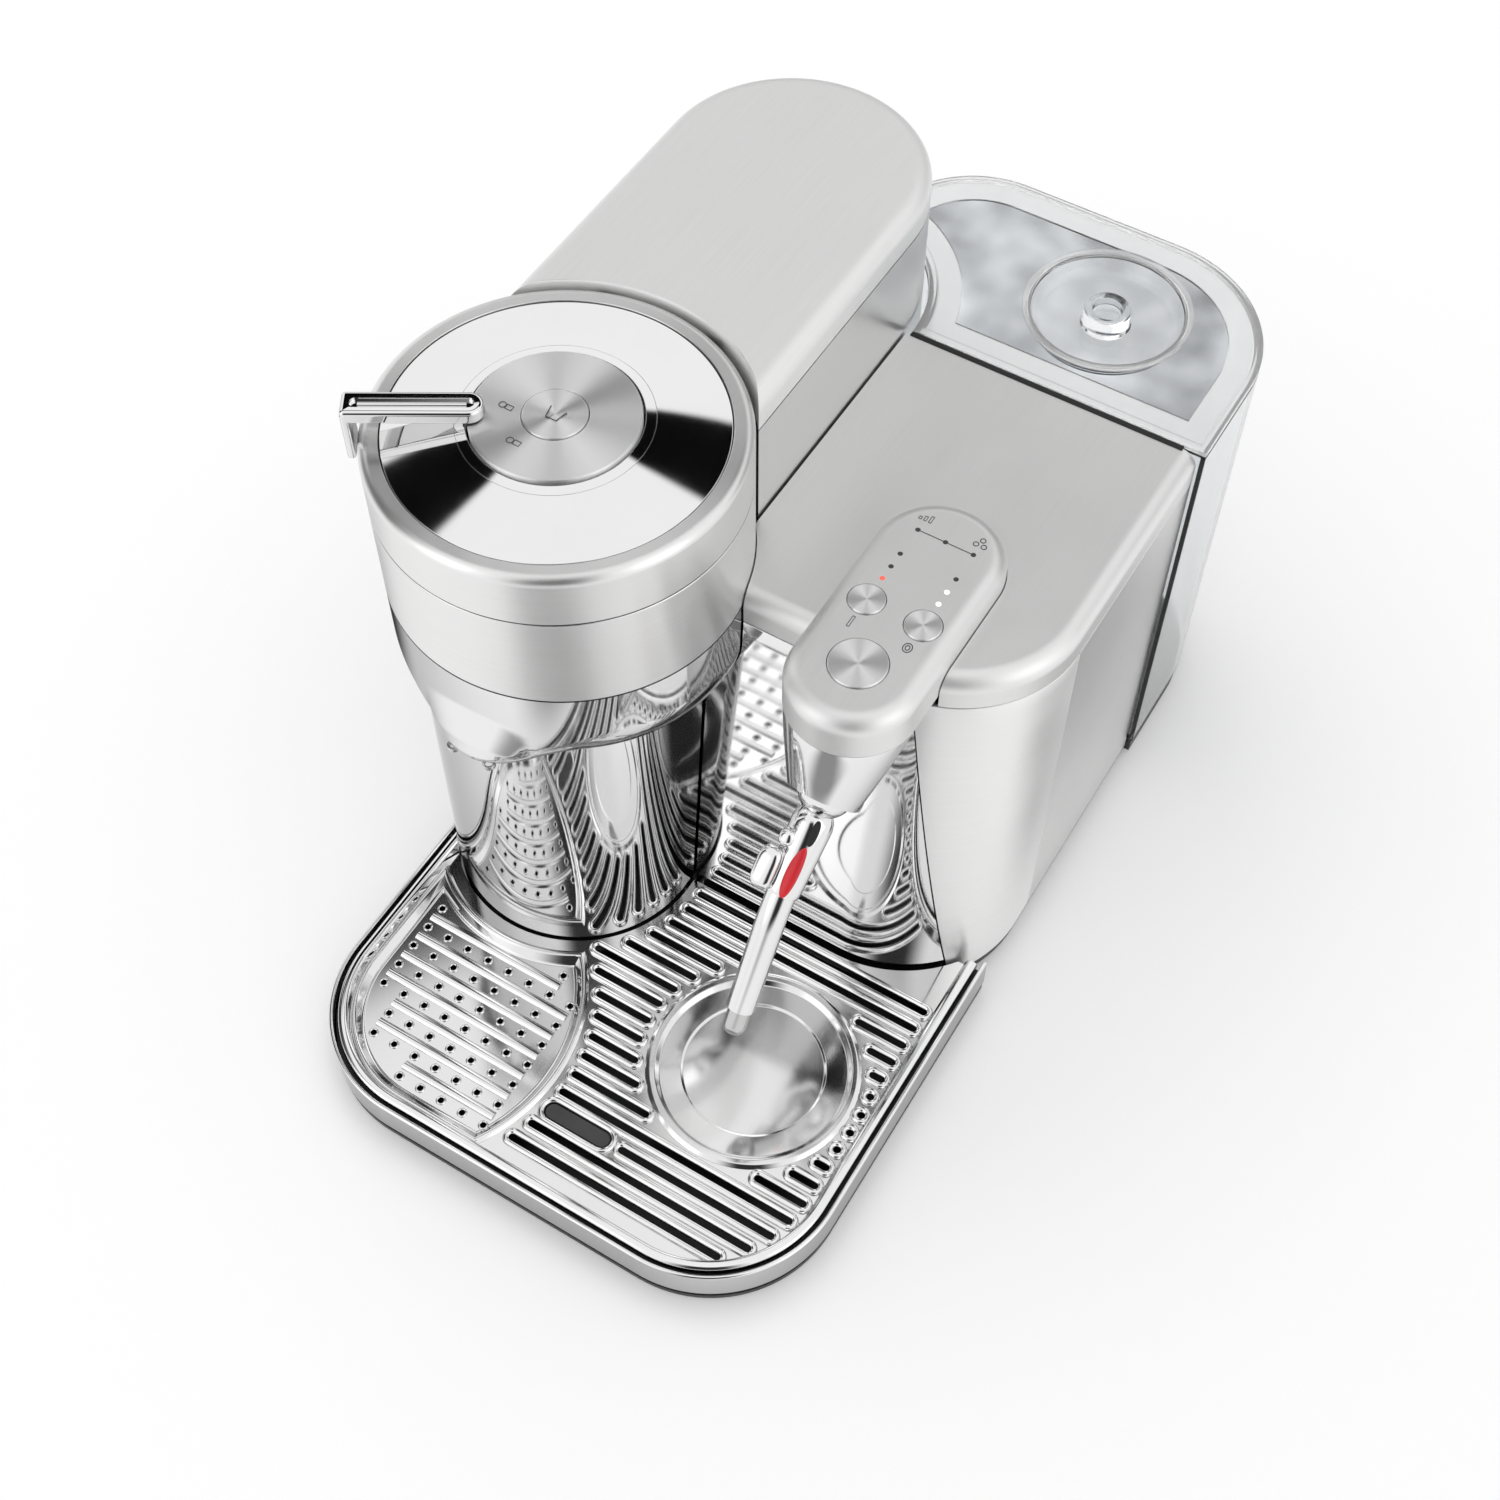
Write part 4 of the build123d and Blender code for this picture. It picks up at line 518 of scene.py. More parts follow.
def fillet_path(points: Sequence[Point2], radii: Sequence[float], closed: bool, steps: int) -> List[Point2]:
    """Round the corners of a path, with a support point on each side of every corner.

    Args:
        points: corners of the path.
        radii: radius at each corner; nought keeps it sharp, and CORNER_SHARE limits it.
        closed: whether the last corner joins the first.
        steps: points along each rounding.

    Returns:
        The rounded path.
    """
    count = len(points)
    path: List[Point2] = []
    for i, (corner, radius) in enumerate(zip(points, radii)):
        here = np.array(corner, float)
        if radius <= 0 or (not closed and i in (0, count - 1)):
            path.append(tuple(here))
            continue
        before = np.array(points[i - 1], float) - here
        after = np.array(points[(i + 1) % count], float) - here
        span = min(np.linalg.norm(before), np.linalg.norm(after))
        u, v = before / np.linalg.norm(before), after / np.linalg.norm(after)
        half = math.acos(float(np.clip(u @ v, -1, 1))) / 2
        reach = min(radius / math.tan(half), span * CORNER_SHARE)
        radius = reach * math.tan(half)
        middle = here + (u + v) / np.linalg.norm(u + v) * radius / math.sin(half)
        start, end = here + u * reach, here + v * reach
        pad = min(0.25, span * 0.01)
        path.append(tuple(start + u * pad))
        a, b, turn = start - middle, end - middle, math.pi - 2 * half
        for k in range(steps + 1):
            t = k / steps
            p = (math.sin((1 - t) * turn) * a + math.sin(t * turn) * b) / math.sin(turn)
            path.append(tuple(middle + p))
        path.append(tuple(end + v * pad))
    return path


def on_circle(centre: Point2, radius: float, angle: float) -> Point2:
    """The point of a circle at an angle in degrees."""
    turn = math.radians(angle)
    return (centre[0] + radius * math.cos(turn), centre[1] + radius * math.sin(turn))


def circle(centre: Sequence[float], radius: float, z: float, count: int, tall: float = 0.0) -> Loop:
    """Points round an upright axis.

    Args:
        centre: where the axis stands.
        radius: reach from the axis.
        z: the height.
        count: how many points.
        tall: reach along Y, where it isn't the same.

    Returns:
        The points.
    """
    turns = [TURN * k / count for k in range(count)]
    return [(centre[0] + radius * math.cos(t), centre[1] + (tall or radius) * math.sin(t), z) for t in turns]


class PlanPath:
    """An outline in plan, drawn anticlockwise from runs and arcs."""

    NEAR = 1e-4

    def __init__(self, start: Point2) -> None:
        """Begin at a point."""
        self.points: List[Point2] = [start]

    def run(self, x: float, y: float, parts: int = 1) -> "PlanPath":
        """Add a straight run with a support point near each end.

        Args:
            x: end of the run.
            y: end of the run.
            parts: stretches of the run between its supports.

        Returns:
            The path itself.
        """
        a, b = np.array(self.points[-1], float), np.array((x, y), float)
        pad = min(0.4 / max(np.linalg.norm(b - a), 1e-6), 0.2)
        for t in [pad] + [pad + (1 - 2 * pad) * k / parts for k in range(1, parts)] + [1 - pad, 1.0]:
            self.points.append(tuple(a + (b - a) * t))
        return self

    def arc(self, centre: Point2, radius: float, start: float, end: float, steps: int) -> "PlanPath":
        """Add an arc.

        Args:
            centre: middle of the arc.
            radius: its radius.
            start: first angle, in degrees.
            end: last angle, in degrees.
            steps: points along it.

        Returns:
            The path itself.
        """
        for k in range(steps + 1):
            point = on_circle(centre, radius, start + (end - start) * k / steps)
            if math.dist(point, self.points[-1]) > self.NEAR:
                self.points.append(point)
        return self

    def closed(self) -> List[Point2]:
        """The outline's points, without a repeated end."""
        points = self.points
        return points[:-1] if math.dist(points[0], points[-1]) < self.NEAR else points


def inset(points: Sequence[Point2], distance: float) -> List[Point2]:
    """Draw an anticlockwise outline inwards, with mitred corners.

    Args:
        points: the outline.
        distance: how far inwards; below nought draws it outwards.

    Returns:
        The inner outline, point for point.
    """
    p = np.array(points, float)
    step = np.roll(p, -1, 0) - p
    step /= np.linalg.norm(step, axis=1)[:, None]
    normal = np.stack([-step[:, 1], step[:, 0]], 1)
    before = np.roll(normal, 1, 0)
    scale = 1 + np.sum(normal * before, 1)
    return [tuple(q) for q in p + distance * (normal + before) / np.maximum(scale, 0.2)[:, None]]


def at_height(points: Sequence[Point2], z: float) -> Loop:
    """Lift an outline to a height."""
    return [(x, y, z) for x, y in points]


@dataclass
class Sheet:
    """Loose vertices and faces, gathered before they become a piece."""

    verts: List[Point3] = field(default_factory=list)
    faces: List[Tuple[int, ...]] = field(default_factory=list)

    def stack(self, loops: Sequence[Loop], wrap: bool = False) -> "Sheet":
        """Skin a row of loops that have the same number of points.

        Args:
            loops: the loops, in order.
            wrap: whether the last loop joins the first; else a face closes each of them.

        Returns:
            The sheet itself.
        """
        start, count, rows = len(self.verts), len(loops[0]), len(loops)
        for loop in loops:
            self.verts.extend(loop)
        for i in range(rows if wrap else rows - 1):
            a, b = start + i * count, start + (i + 1) % rows * count
            self.faces += [(a + k, a + (k + 1) % count, b + (k + 1) % count, b + k) for k in range(count)]
        if not wrap:
            last = start + (rows - 1) * count
            self.faces += [tuple(range(start + count - 1, start - 1, -1)), tuple(range(last, last + count))]
        return self

    def turned(
        self, profile: Sequence[Point2], centre: Sequence[float], wrap: bool, segments: int
    ) -> "Sheet":
        """Turn a profile about an upright axis.

        Args:
            profile: radius and height of each point, in order.
            centre: where the axis stands.
            wrap: whether the profile is closed; an open one is capped at both ends.
            segments: divisions of the turn.

        Returns:
            The sheet itself.
        """
        return self.stack([circle(centre, r, z, segments) for r, z in profile], wrap)

    def prism(self, plan: Sequence[Point2], low: float, high: float) -> "Sheet":
        """Raise an outline.

        Args:
            plan: the outline.
            low: lower end.
            high: upper end.

        Returns:
            The sheet itself.
        """
        return self.stack([at_height(plan, low), at_height(plan, high)])

    def rail(self, line: Sequence[Point2], section: Sequence[Point2]) -> "Sheet":
        """Carry a closed section along an open line in plan, capped at both ends.

        Args:
            line: the line, with the inside on its left.
            section: distance to the left of the line and height of each point, in order.

        Returns:
            The sheet itself.
        """
        p = np.array(line, float)
        step = np.diff(p, axis=0)
        step /= np.linalg.norm(step, axis=1)[:, None]
        normal = np.stack([-step[:, 1], step[:, 0]], 1)
        before, after = np.vstack([normal[:1], normal]), np.vstack([normal, normal[-1:]])
        side = (before + after) / (1 + np.sum(before * after, 1))[:, None]
        ways = zip(p, side)
        return self.stack([[(x + m * u, y + m * v, z) for m, z in section] for (x, y), (u, v) in ways])

    def tube(self, line: Sequence[Point3], radii: Sequence[float], sides: int) -> "Sheet":
        """A round tube along a line, capped at both ends.

        Args:
            line: points of the centre line.
            radii: radius at each point.
            sides: divisions round the tube.

        Returns:
            The sheet itself.
        """
        points = [Vector(p) for p in line]
        ring = [TURN * k / sides for k in range(sides)]
        loops: List[Loop] = []
        side = (points[1] - points[0]).normalized().orthogonal().normalized()
        for i, point in enumerate(points):
            tangent = (points[min(i + 1, len(points) - 1)] - points[max(i - 1, 0)]).normalized()
            side = (side - tangent * side.dot(tangent)).normalized()
            up = tangent.cross(side)
            loops.append([tuple(point + (side * math.cos(t) + up * math.sin(t)) * radii[i]) for t in ring])
        return self.stack(loops)

    def mesh(self) -> Mesh:
        """Make a mesh in metres, merged and facing outwards.

        Returns:
            The mesh.
        """
        made = bpy.data.meshes.new("sheet")
        made.from_pydata([tuple(c * MM for c in v) for v in self.verts], [], self.faces)
        work = bmesh.new()
        work.from_mesh(made)
        bmesh.ops.remove_doubles(work, verts=work.verts, dist=1e-7)
        bmesh.ops.recalc_face_normals(work, faces=work.faces)
        if work.calc_volume(signed=True) < 0:
            bmesh.ops.reverse_faces(work, faces=work.faces)
        work.to_mesh(made)
        work.free()
        return made


Form = Union[Sheet, Mesh]


def meshed(form: Form) -> Mesh:
    """The mesh of a sheet, or the mesh itself."""
    return form.mesh() if isinstance(form, Sheet) else form


def sweep(
    plan: Plan, corners: Sequence[Point2], radii: Sequence[float], steps: int, wrap: bool = False
) -> Sheet:
    """Carry a rounded section round an outline.

    Args:
        plan: gives the outline drawn in by a distance.
        corners: inset and height of the section's corners, in order.
        radii: rounding of each corner.
        steps: points along each rounding.
        wrap: whether the section is closed; an open one is capped at both ends.

    Returns:
        The sheet.
    """
    return Sheet().stack([at_height(plan(m), z) for m, z in fillet_path(corners, radii, wrap, steps)], wrap)


def lathe(
    corners: Sequence[Point2],
    radii: Sequence[float],
    centre: Point2,
    steps: int,
    segments: int,
    wrap: bool = True,
) -> Sheet:
    """Turn a rounded profile about an upright axis.

    Args:
        corners: radius and height of the profile's corners, in order.
        radii: rounding of each corner.
        centre: where the axis stands.
        steps: points along each rounding.
        segments: divisions of the turn.
        wrap: whether the profile is closed; an open one is capped at both ends.

    Returns:
        The sheet.
    """
    return Sheet().turned(fillet_path(corners, radii, wrap, steps), centre, wrap, segments)


def ball(centre: Point3, radius: float, rows: int, segments: int) -> Sheet:
    """A ball.

    Args:
        centre: its middle.
        radius: its radius.
        rows: divisions from pole to pole.
        segments: divisions of the turn.

    Returns:
        The sheet.
    """
    turns = [math.pi * k / rows for k in range(1, rows)]
    profile = [(radius * math.sin(a), centre[2] + radius * math.cos(a)) for a in turns]
    return Sheet().turned(profile, centre, False, segments)


def discs(spots: Sequence[Point2], radius: float, low: float, high: float, sides: int) -> Sheet:
    """Upright round rods at several spots, to cut with.

    Args:
        spots: their centres.
        radius: their radius.
        low: lower end.
        high: upper end.
        sides: divisions round each.

    Returns:
        The rods as one sheet.
    """
    sheet = Sheet()
    for spot in spots:
        sheet.turned([(radius, low), (radius, high)], spot, False, sides)
    return sheet


def block(low: Point3, high: Point3) -> Sheet:
    """A box between two corners."""
    plan = [(low[0], low[1]), (high[0], low[1]), (high[0], high[1]), (low[0], high[1])]
    return Sheet().prism(plan, low[2], high[2])


def plain_copy(item: bpy.types.Object) -> Mesh:
    """The mesh of an object with its modifiers applied; the object goes.

    Args:
        item: the object.

    Returns:
        The plain mesh.
    """
    made = bpy.data.meshes.new_from_object(item.evaluated_get(bpy.context.evaluated_depsgraph_get()))
    bpy.data.objects.remove(item)
    return made


def linked(name: str, data: bpy.types.ID) -> bpy.types.Object:
    """A new object in the scene.

    Args:
        name: its name.
        data: its mesh, lamp or camera.

    Returns:
        The object.
    """
    item = bpy.data.objects.new(name, data)
    bpy.context.scene.collection.objects.link(item)
    return item


def carve(form: Form, *tools: Form, keep: str = "DIFFERENCE") -> Mesh:
    """Cut a form by closed tools, one after the other, and clear away the slivers.

    Args:
        form: what is cut.
        tools: what is taken away, or added.
        keep: the boolean's operation.

    Returns:
        The cut mesh.
    """
    mesh = meshed(form)
    for tool in tools:
        body, cutter = linked("carve_body", mesh), linked("carve_tool", meshed(tool))
        cut = body.modifiers.new("carve", "BOOLEAN")
        cut.operation, cut.solver, cut.object = keep, "EXACT", cutter
        mesh = plain_copy(body)
        bpy.data.objects.remove(cutter)
        clean = bmesh.new()
        clean.from_mesh(mesh)
        bmesh.ops.remove_doubles(clean, verts=clean.verts, dist=3e-6)
        bmesh.ops.dissolve_degenerate(clean, dist=1e-6, edges=clean.edges)
        clean.to_mesh(mesh)
        clean.free()
    return mesh


class NodeForm:
    """A small Geometry Nodes tree with named inputs, turned into a plain mesh."""

    def __init__(self, name: str, material: Material) -> None:
        """Begin the tree.

        Args:
            name: the tree's name.
            material: what Set Material gives the result.
        """
        self.tree = bpy.data.node_groups.new(name, "GeometryNodeTree")
        self.desk = NodeDesk(self.tree)
        self.material = material
        for way in ("INPUT", "OUTPUT"):
            self.tree.interface.new_socket(name="Geometry", in_out=way, socket_type="NodeSocketGeometry")
        self.entry = self.desk.add("NodeGroupInput")
        self.values: Dict[str, float] = {}

    def size(self, name: str, value: float) -> Socket:
        """Add a named size.

        Args:
            name: the input's name.
            value: its value, in millimetres.

        Returns:
            The group input's socket.
        """
        socket = self.tree.interface.new_socket(name=name, in_out="INPUT", socket_type="NodeSocketFloat")
        self.values[socket.identifier] = value * MM
        return self.entry.outputs[name]

    def end(self, geometry: Socket) -> "NodeForm":
        """Close the tree with Realize Instances and Set Material.

        Args:
            geometry: what the tree has made.

        Returns:
            The form itself.
        """
        real = self.desk.add("GeometryNodeRealizeInstances", Geometry=geometry).outputs["Geometry"]
        dressed = self.desk.add("GeometryNodeSetMaterial", Geometry=real, Material=self.material)
        self.desk.add("NodeGroupOutput", Geometry=dressed.outputs["Geometry"])
        return self

    def mesh(self, verts: Sequence[Point3], edges: Sequence[Tuple[int, int]] = ()) -> Mesh:
        """Run the tree on points or lines.

        Args:
            verts: points, in millimetres.
            edges: lines between them.

        Returns:
            The plain mesh.
        """
        seed = bpy.data.meshes.new(self.tree.name + "_seed")
        seed.from_pydata([tuple(c * MM for c in v) for v in verts], list(edges), [])
        holder = linked(self.tree.name + "_holder", seed)
        modifier = holder.modifiers.new("form", "NODES")
        modifier.node_group = self.tree
        for identifier, value in self.values.items():
            modifier[identifier] = value
        return plain_copy(holder)


def bead_form(name: str, material: Material, radius: float, sides: int) -> NodeForm:
    """A tree that lays a round bead along lines.

    Args:
        name: the tree's name.
        material: the bead's finish.
        radius: the bead's radius, in millimetres.
        sides: divisions round the bead.

    Returns:
        The tree.
    """
    form = NodeForm(name, material)
    size, add = form.size("Bead radius", radius), form.desk.add
    curve = add("GeometryNodeMeshToCurve", Mesh=form.entry.outputs["Geometry"]).outputs["Curve"]
    ring = add("GeometryNodeCurvePrimitiveCircle", Resolution=sides, Radius=size).outputs["Curve"]
    skin = add("GeometryNodeCurveToMesh", Curve=curve, Profile_Curve=ring, Fill_Caps=True)
    return form.end(skin.outputs["Mesh"])


def dome_form(name: str, material: Material, radius: float, height: float) -> NodeForm:
    """A tree that sets a small flattened dome on every point.

    Args:
        name: the tree's name.
        material: the dome's finish.
        radius: the dome's radius, in millimetres.
        height: its height, in millimetres.

    Returns:
        The tree.
    """
    form = NodeForm(name, material)
    wide, tall, add = form.size("Dome radius", radius), form.size("Dome height", height), form.desk.add
    round_ball = add("GeometryNodeMeshUVSphere", Segments=20, Rings=10, Radius=1.0).outputs["Mesh"]
    scale = add("ShaderNodeCombineXYZ", X=wide, Y=wide, Z=tall).outputs["Vector"]
    points = form.entry.outputs["Geometry"]
    spots = add("GeometryNodeInstanceOnPoints", Points=points, Instance=round_ball, Scale=scale)
    return form.end(spots.outputs["Instances"])


def slot_outline(start: float, end: float, y: float, half: float, steps: int = 12) -> List[Point2]:
    """A round-ended slot along X.

    Args:
        start: left end of the slot.
        end: right end of the slot.
        y: its middle line.
        half: half its width.
        steps: points round each end.

    Returns:
        The outline.
    """
    path = PlanPath((start + half, y - half))
    path.points.append((end - half, y - half))
    path.arc((end - half, y), half, -90, 90, steps)
    path.points.append((start + half, y + half))
    return path.arc((start + half, y), half, 90, 270, steps).closed()


@dataclass
class Assembly:
    """A sub-assembly that makes its pieces in their finishes."""

    finishes: Finishes

    def put(self, name: str, form: Form, finish: str, body: str, node: str = "", angle: float = 32.0) -> None:
        """Finish a piece: material, shading and the body that it rides on.

        Args:
            name: the piece's name.
            form: its shape, in place.
            finish: the finish's name.
            body: the body that carries it.
            node: the CAD node that it stands for.
            angle: edges sharper than this stay crisp, in degrees.
        """
        mesh = meshed(form)
        mesh.name = name
        mesh.materials.clear()
        mesh.materials.append(self.finishes[finish])
        mesh.shade_smooth()
        mesh.set_sharp_from_angle(angle=math.radians(angle))
        piece = linked(name, mesh)
        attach(piece, body)
        self.finishes.slot(finish)
        if node:
            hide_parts(node)
        LOG.info("piece %s on %s, %d faces", name, body, len(mesh.polygons))

    def bead(
        self,
        name: str,
        lines: Sequence[Loop],
        closed: bool,
        size: Tuple[float, int],
        finish: str,
        body: str,
        angle: float = 32.0,
    ) -> None:
        """Lay a round bead along lines.

        Args:
            name: the piece's name.
            lines: points of each line.
            closed: whether each line's end joins its start.
            size: the bead's radius and the divisions round it.
            finish: the finish's name.
            body: the body that carries it.
            angle: edges sharper than this stay crisp, in degrees.
        """
        verts: List[Point3] = []
        edges: List[Tuple[int, int]] = []
        for line in lines:
            start, count = len(verts), len(line)
            verts.extend(line)
            edges += [(start + k, start + (k + 1) % count) for k in range(count if closed else count - 1)]
        mesh = bead_form(name + "_form", self.finishes[finish], *size).mesh(verts, edges)
        self.put(name, mesh, finish, body, "", angle)


@dataclass
class BrewTower(Assembly):
    """The tower behind the brew head: arm cover and polished column."""

    half: float = TOWER_HALF
    arm_low: float = 252.0
    arm_top: float = 266.5
    arm_round: float = 11.0
    head_room: float = 71.4
    column_low: float = 9.0
    column_top: float = 166.0
    split_y: float = -6.5
    wall: float = 1.8

    def arm_plan(self, drawn_in: float) -> List[Point2]:
        """Plan of the arm, round behind and hollowed round the head in front.

        Args:
            drawn_in: how far the sides are drawn in.

        Returns:
            The outline.
        """
        half = self.half - drawn_in
        room = self.head_room + 0.25 * min(drawn_in, self.arm_round)
        lean = math.degrees(math.acos(half / room))
        y = HEAD_Y + math.sqrt(room ** 2 - half ** 2)
        path = PlanPath((HEAD_X + half, y)).run(HEAD_X + half, TOWER_REAR, 6)
        path.arc((HEAD_X, TOWER_REAR), half, 0, 180, 64).run(HEAD_X - half, y, 6)
        return path.arc(HEAD, room, 180 - lean, lean, 64).closed()

    def arm(self) -> None:
        """Make the arm cover with its broad rounded edge."""
        corners = [(1.6, self.arm_low + 0.01), (0.0, self.arm_low), (0.0, self.arm_top), (20.0, self.arm_top)]
        form = sweep(self.arm_plan, corners, [0, 0.4, self.arm_round, 0], 14)
        self.put("arm_cover", form, "satin_along_arm", "base", "arm_top", 50)

    def column(self) -> None:
        """Make the polished half-round column below the head."""
        path = PlanPath((HEAD_X - self.half, self.split_y)).run(HEAD_X - self.half, COLUMN_Y, 4)
        path.arc(COLUMN, self.half, 180, 360, 128).run(HEAD_X + self.half, self.split_y, 4)
        low, high, wall = self.column_low, self.column_top, self.wall
        corners = [(0.0, low), (0.0, high), (wall, high), (wall, low)]
        form = Sheet().rail(path.points, fillet_path(corners, [0.3, 0.5, 0.3, 0.3], True, 4))
        self.put("brew_column", form, "mirror_chrome", "base", "column_front")

    def build(self) -> None:
        """Make the tower's pieces."""
        self.arm()
        self.column()


@dataclass
class BrewHead(Assembly):
    """The round head: bowl with its nose, band, and the cover with dome, disc, button and lever."""

    radius: float = HEAD_R
    wall: float = 2.5
    bowl_low: float = 153.0
    bowl_top: float = 198.8
    bowl_round: float = 24.0
    bowl_wall: float = 2.4
    nose_r: float = 21.0
    nose_reach: float = 56.0
    nose_round: float = 6.0
    nose_blend: float = 6.0
    outlet_y: float = -119.5
    outlet_shift: float = 8.0
    outlet_r: float = 1.7
    band_low: float = 199.3
    band_top: float = 243.2
    ring_low: float = 243.7
    ring_top: float = 267.0
    ring_round: float = 3.675
    hinge_y: float = 14.4
    hinge_z: float = 260.0
    hinge_half: float = 26.0
    hinge_room: float = 4.9
    dome_r: float = 61.5
    dome_low: float = 262.9
    dome_edge: float = 266.6
    dome_crown: float = 271.0
    groove_low: float = 268.4
    disc_r: float = 30.5
    disc_low: float = 262.8
    disc_top: float = 273.0
    button_r: float = 11.7
    lever_turn: float = 211.0
    lever_w: float = 11.0
    lever_in: float = 24.0
    lever_out: float = 73.6
    lever_low: float = 273.6
    lever_top: float = 279.0
    grip_low: float = 256.0
    grip_t: float = 3.0
    channel_half: float = 2.3
    channel_end: float = 5.5
    hub_in: float = 31.35
    hub_out: float = 35.12
    hub_low: float = 268.7
    hub_edge: float = 271.01
    hub_crest: float = 271.63
    neck_in: float = 31.6
    neck_out: float = 34.7
    neck_half: float = 4.4
    neck_low: float = 269.2
    notch_y: float = HEAD_Y + 34.7
    notch_low: float = 242.0
    notch_top: float = 259.0
    lock_reach: float = 19.0
    lock_turns: Point2 = (197.0, 250.0)

    def nose_span(self, z: float) -> Point2:
        """Radius and forward shift of the nose at a height.

        Args:
            z: the height.

        Returns:
            The nose circle's radius, and its centre's distance ahead of the head's axis.
        """
        low, high = self.bowl_low + 0.5, self.bowl_top - 7.0
        share = min(1.0, max(0.0, (z - low) / (high - low)))
        radius = self.nose_r + (self.radius - 3.0 - self.nose_r) * share
        if z < low + self.nose_round:
            drop = self.nose_round - max(0.0, z - low)
            radius -= self.nose_round - math.sqrt(max(0.0, self.nose_round ** 2 - drop ** 2))
        return radius, self.nose_reach * (1 - share)

    def reach(self, angle: float, z: float) -> float:
        """How far the bowl and its nose reach from the head's axis.

        Args:
            angle: direction in plan, in radians.
            z: the height.

        Returns:
            The larger of the bowl's and the nose's reach, blended where they meet.
        """
        drop = max(0.0, self.bowl_low + self.bowl_round - z)
        bowl = self.radius - self.bowl_round
        bowl += math.sqrt(max(0.0, self.bowl_round ** 2 - min(drop, self.bowl_round) ** 2))
        if z >= self.bowl_top - 9:
            return bowl
        radius, ahead = self.nose_span(z)
        inside = radius ** 2 - (math.cos(angle) * ahead) ** 2
        nose = -math.sin(angle) * ahead + math.sqrt(inside) if inside > 0 else 0.0
        soft, peak = self.nose_blend, max(bowl, nose)
        share = math.log(math.exp((bowl - peak) / soft) + math.exp((nose - peak) / soft))
        return max(min(peak + soft * share - soft * 0.25, max(peak, self.radius)), bowl)

    def bowl_loop(self, z: float, wall: float) -> Loop:
        """Points round the bowl at a height.

        Args:
            z: the height.
            wall: how far the surface is drawn in.

        Returns:
            The loop.
        """
        loop: Loop = []
        for t in [TURN * k / 192 for k in range(192)]:
            reach = self.reach(t, z) - wall
            loop.append((HEAD_X + reach * math.cos(t), HEAD_Y + reach * math.sin(t), z))
        return loop

    def toward(self, point: Point3, share: float) -> Point3:
        """Draw a point of the floor in towards the axis and a little lower.

        Args:
            point: the point.
            share: what is left of its reach.

        Returns:
            The point drawn in.
        """
        x, y = [c + (p - c) * share for c, p in zip(HEAD, point)]
        return (x, y, self.bowl_low + (point[2] - self.bowl_low) * max(0.0, share * 2 - 1))

    def bowl(self) -> None:
        """Make the polished bowl that draws out into the pouring nose, and the rings of its outlets."""
        low, bend = self.bowl_low + 0.5, 9.0
        heights = [low + bend * (k / 24) ** 2 for k in range(25)]
        heights += [low + bend + (self.bowl_top - low - bend) * k / 40 for k in range(1, 41)]
        inner = (155.3, 157.0, 161.0, 168.0, 178.0, 190.0, self.bowl_top)
        loops = [self.bowl_loop(z, self.bowl_wall) for z in inner]
        loops += [self.bowl_loop(z, 0.0) for z in reversed(heights)]
        floor = loops[-1]
        loops += [[self.toward(p, share) for p in floor] for share in (0.97, 0.8, 0.4)]
        spots = [(HEAD_X + side * self.outlet_shift, self.outlet_y) for side in (-1, 1)]
        mesh = carve(Sheet().stack(loops), discs(spots, self.outlet_r, 145.0, 157.0, 48))
        self.put("brew_bowl", mesh, "mirror_chrome", "base", "head_bowl", 40)
        near, far, under, over = self.outlet_r, self.outlet_r + 0.9, 152.8, 155.0
        corners = [(near, under), (far, under), (far, over), (near, over)]
        rings = Sheet()
        for spot in spots:
            rings.turned(fillet_path(corners, [0.3, 0.3, 0.1, 0.1], True, 4), spot, True, 40)
        self.put("outlet_rings", rings, "plain_steel", "base", "coffee_outlets")

    def band(self) -> None:
        """Make the satin band under the cover."""
        outer, inner, low, high = self.radius, self.radius - self.wall, self.band_low, self.band_top
        corners = [(outer, low), (outer, high), (inner, high), (inner, low)]
        form = lathe(corners, [0.5, 0.5, 0.3, 0.3], HEAD, 8, 192)
        self.put("satin_band", form, "satin_level", "base", "head_band")

    def hinge_cut(self) -> Sheet:
        """The room that the cover leaves round its hinge pin, as a rod."""
        ends = [(HEAD_X + side * self.hinge_half, self.hinge_y, self.hinge_z) for side in (-1, 1)]
        return Sheet().tube(ends, [self.hinge_room] * 2, 48)

    def cover_ring(self) -> None:
        """Make the cover's rounded ring, notched behind for the hinge."""
        outer, inner, edge, top = self.radius, self.radius - self.wall, self.dome_r + 0.4, self.ring_top
        corners = [(outer, self.ring_low), (outer, top), (edge, top)]
        corners += [(edge, top - 3.5), (inner, top - 7.5), (inner, self.ring_low)]
        form = lathe(corners, [0.5, self.ring_round, 0.3, 0.3, 0.5, 0.3], HEAD, 14, 192)
        half, far = self.hinge_half, HEAD_Y + 140
        notch = block((HEAD_X - half, self.notch_y, self.notch_low), (HEAD_X + half, far, self.notch_top))
        self.put("cover_ring", carve(form, notch, self.hinge_cut()), "satin_level", "cover", "head_ring")

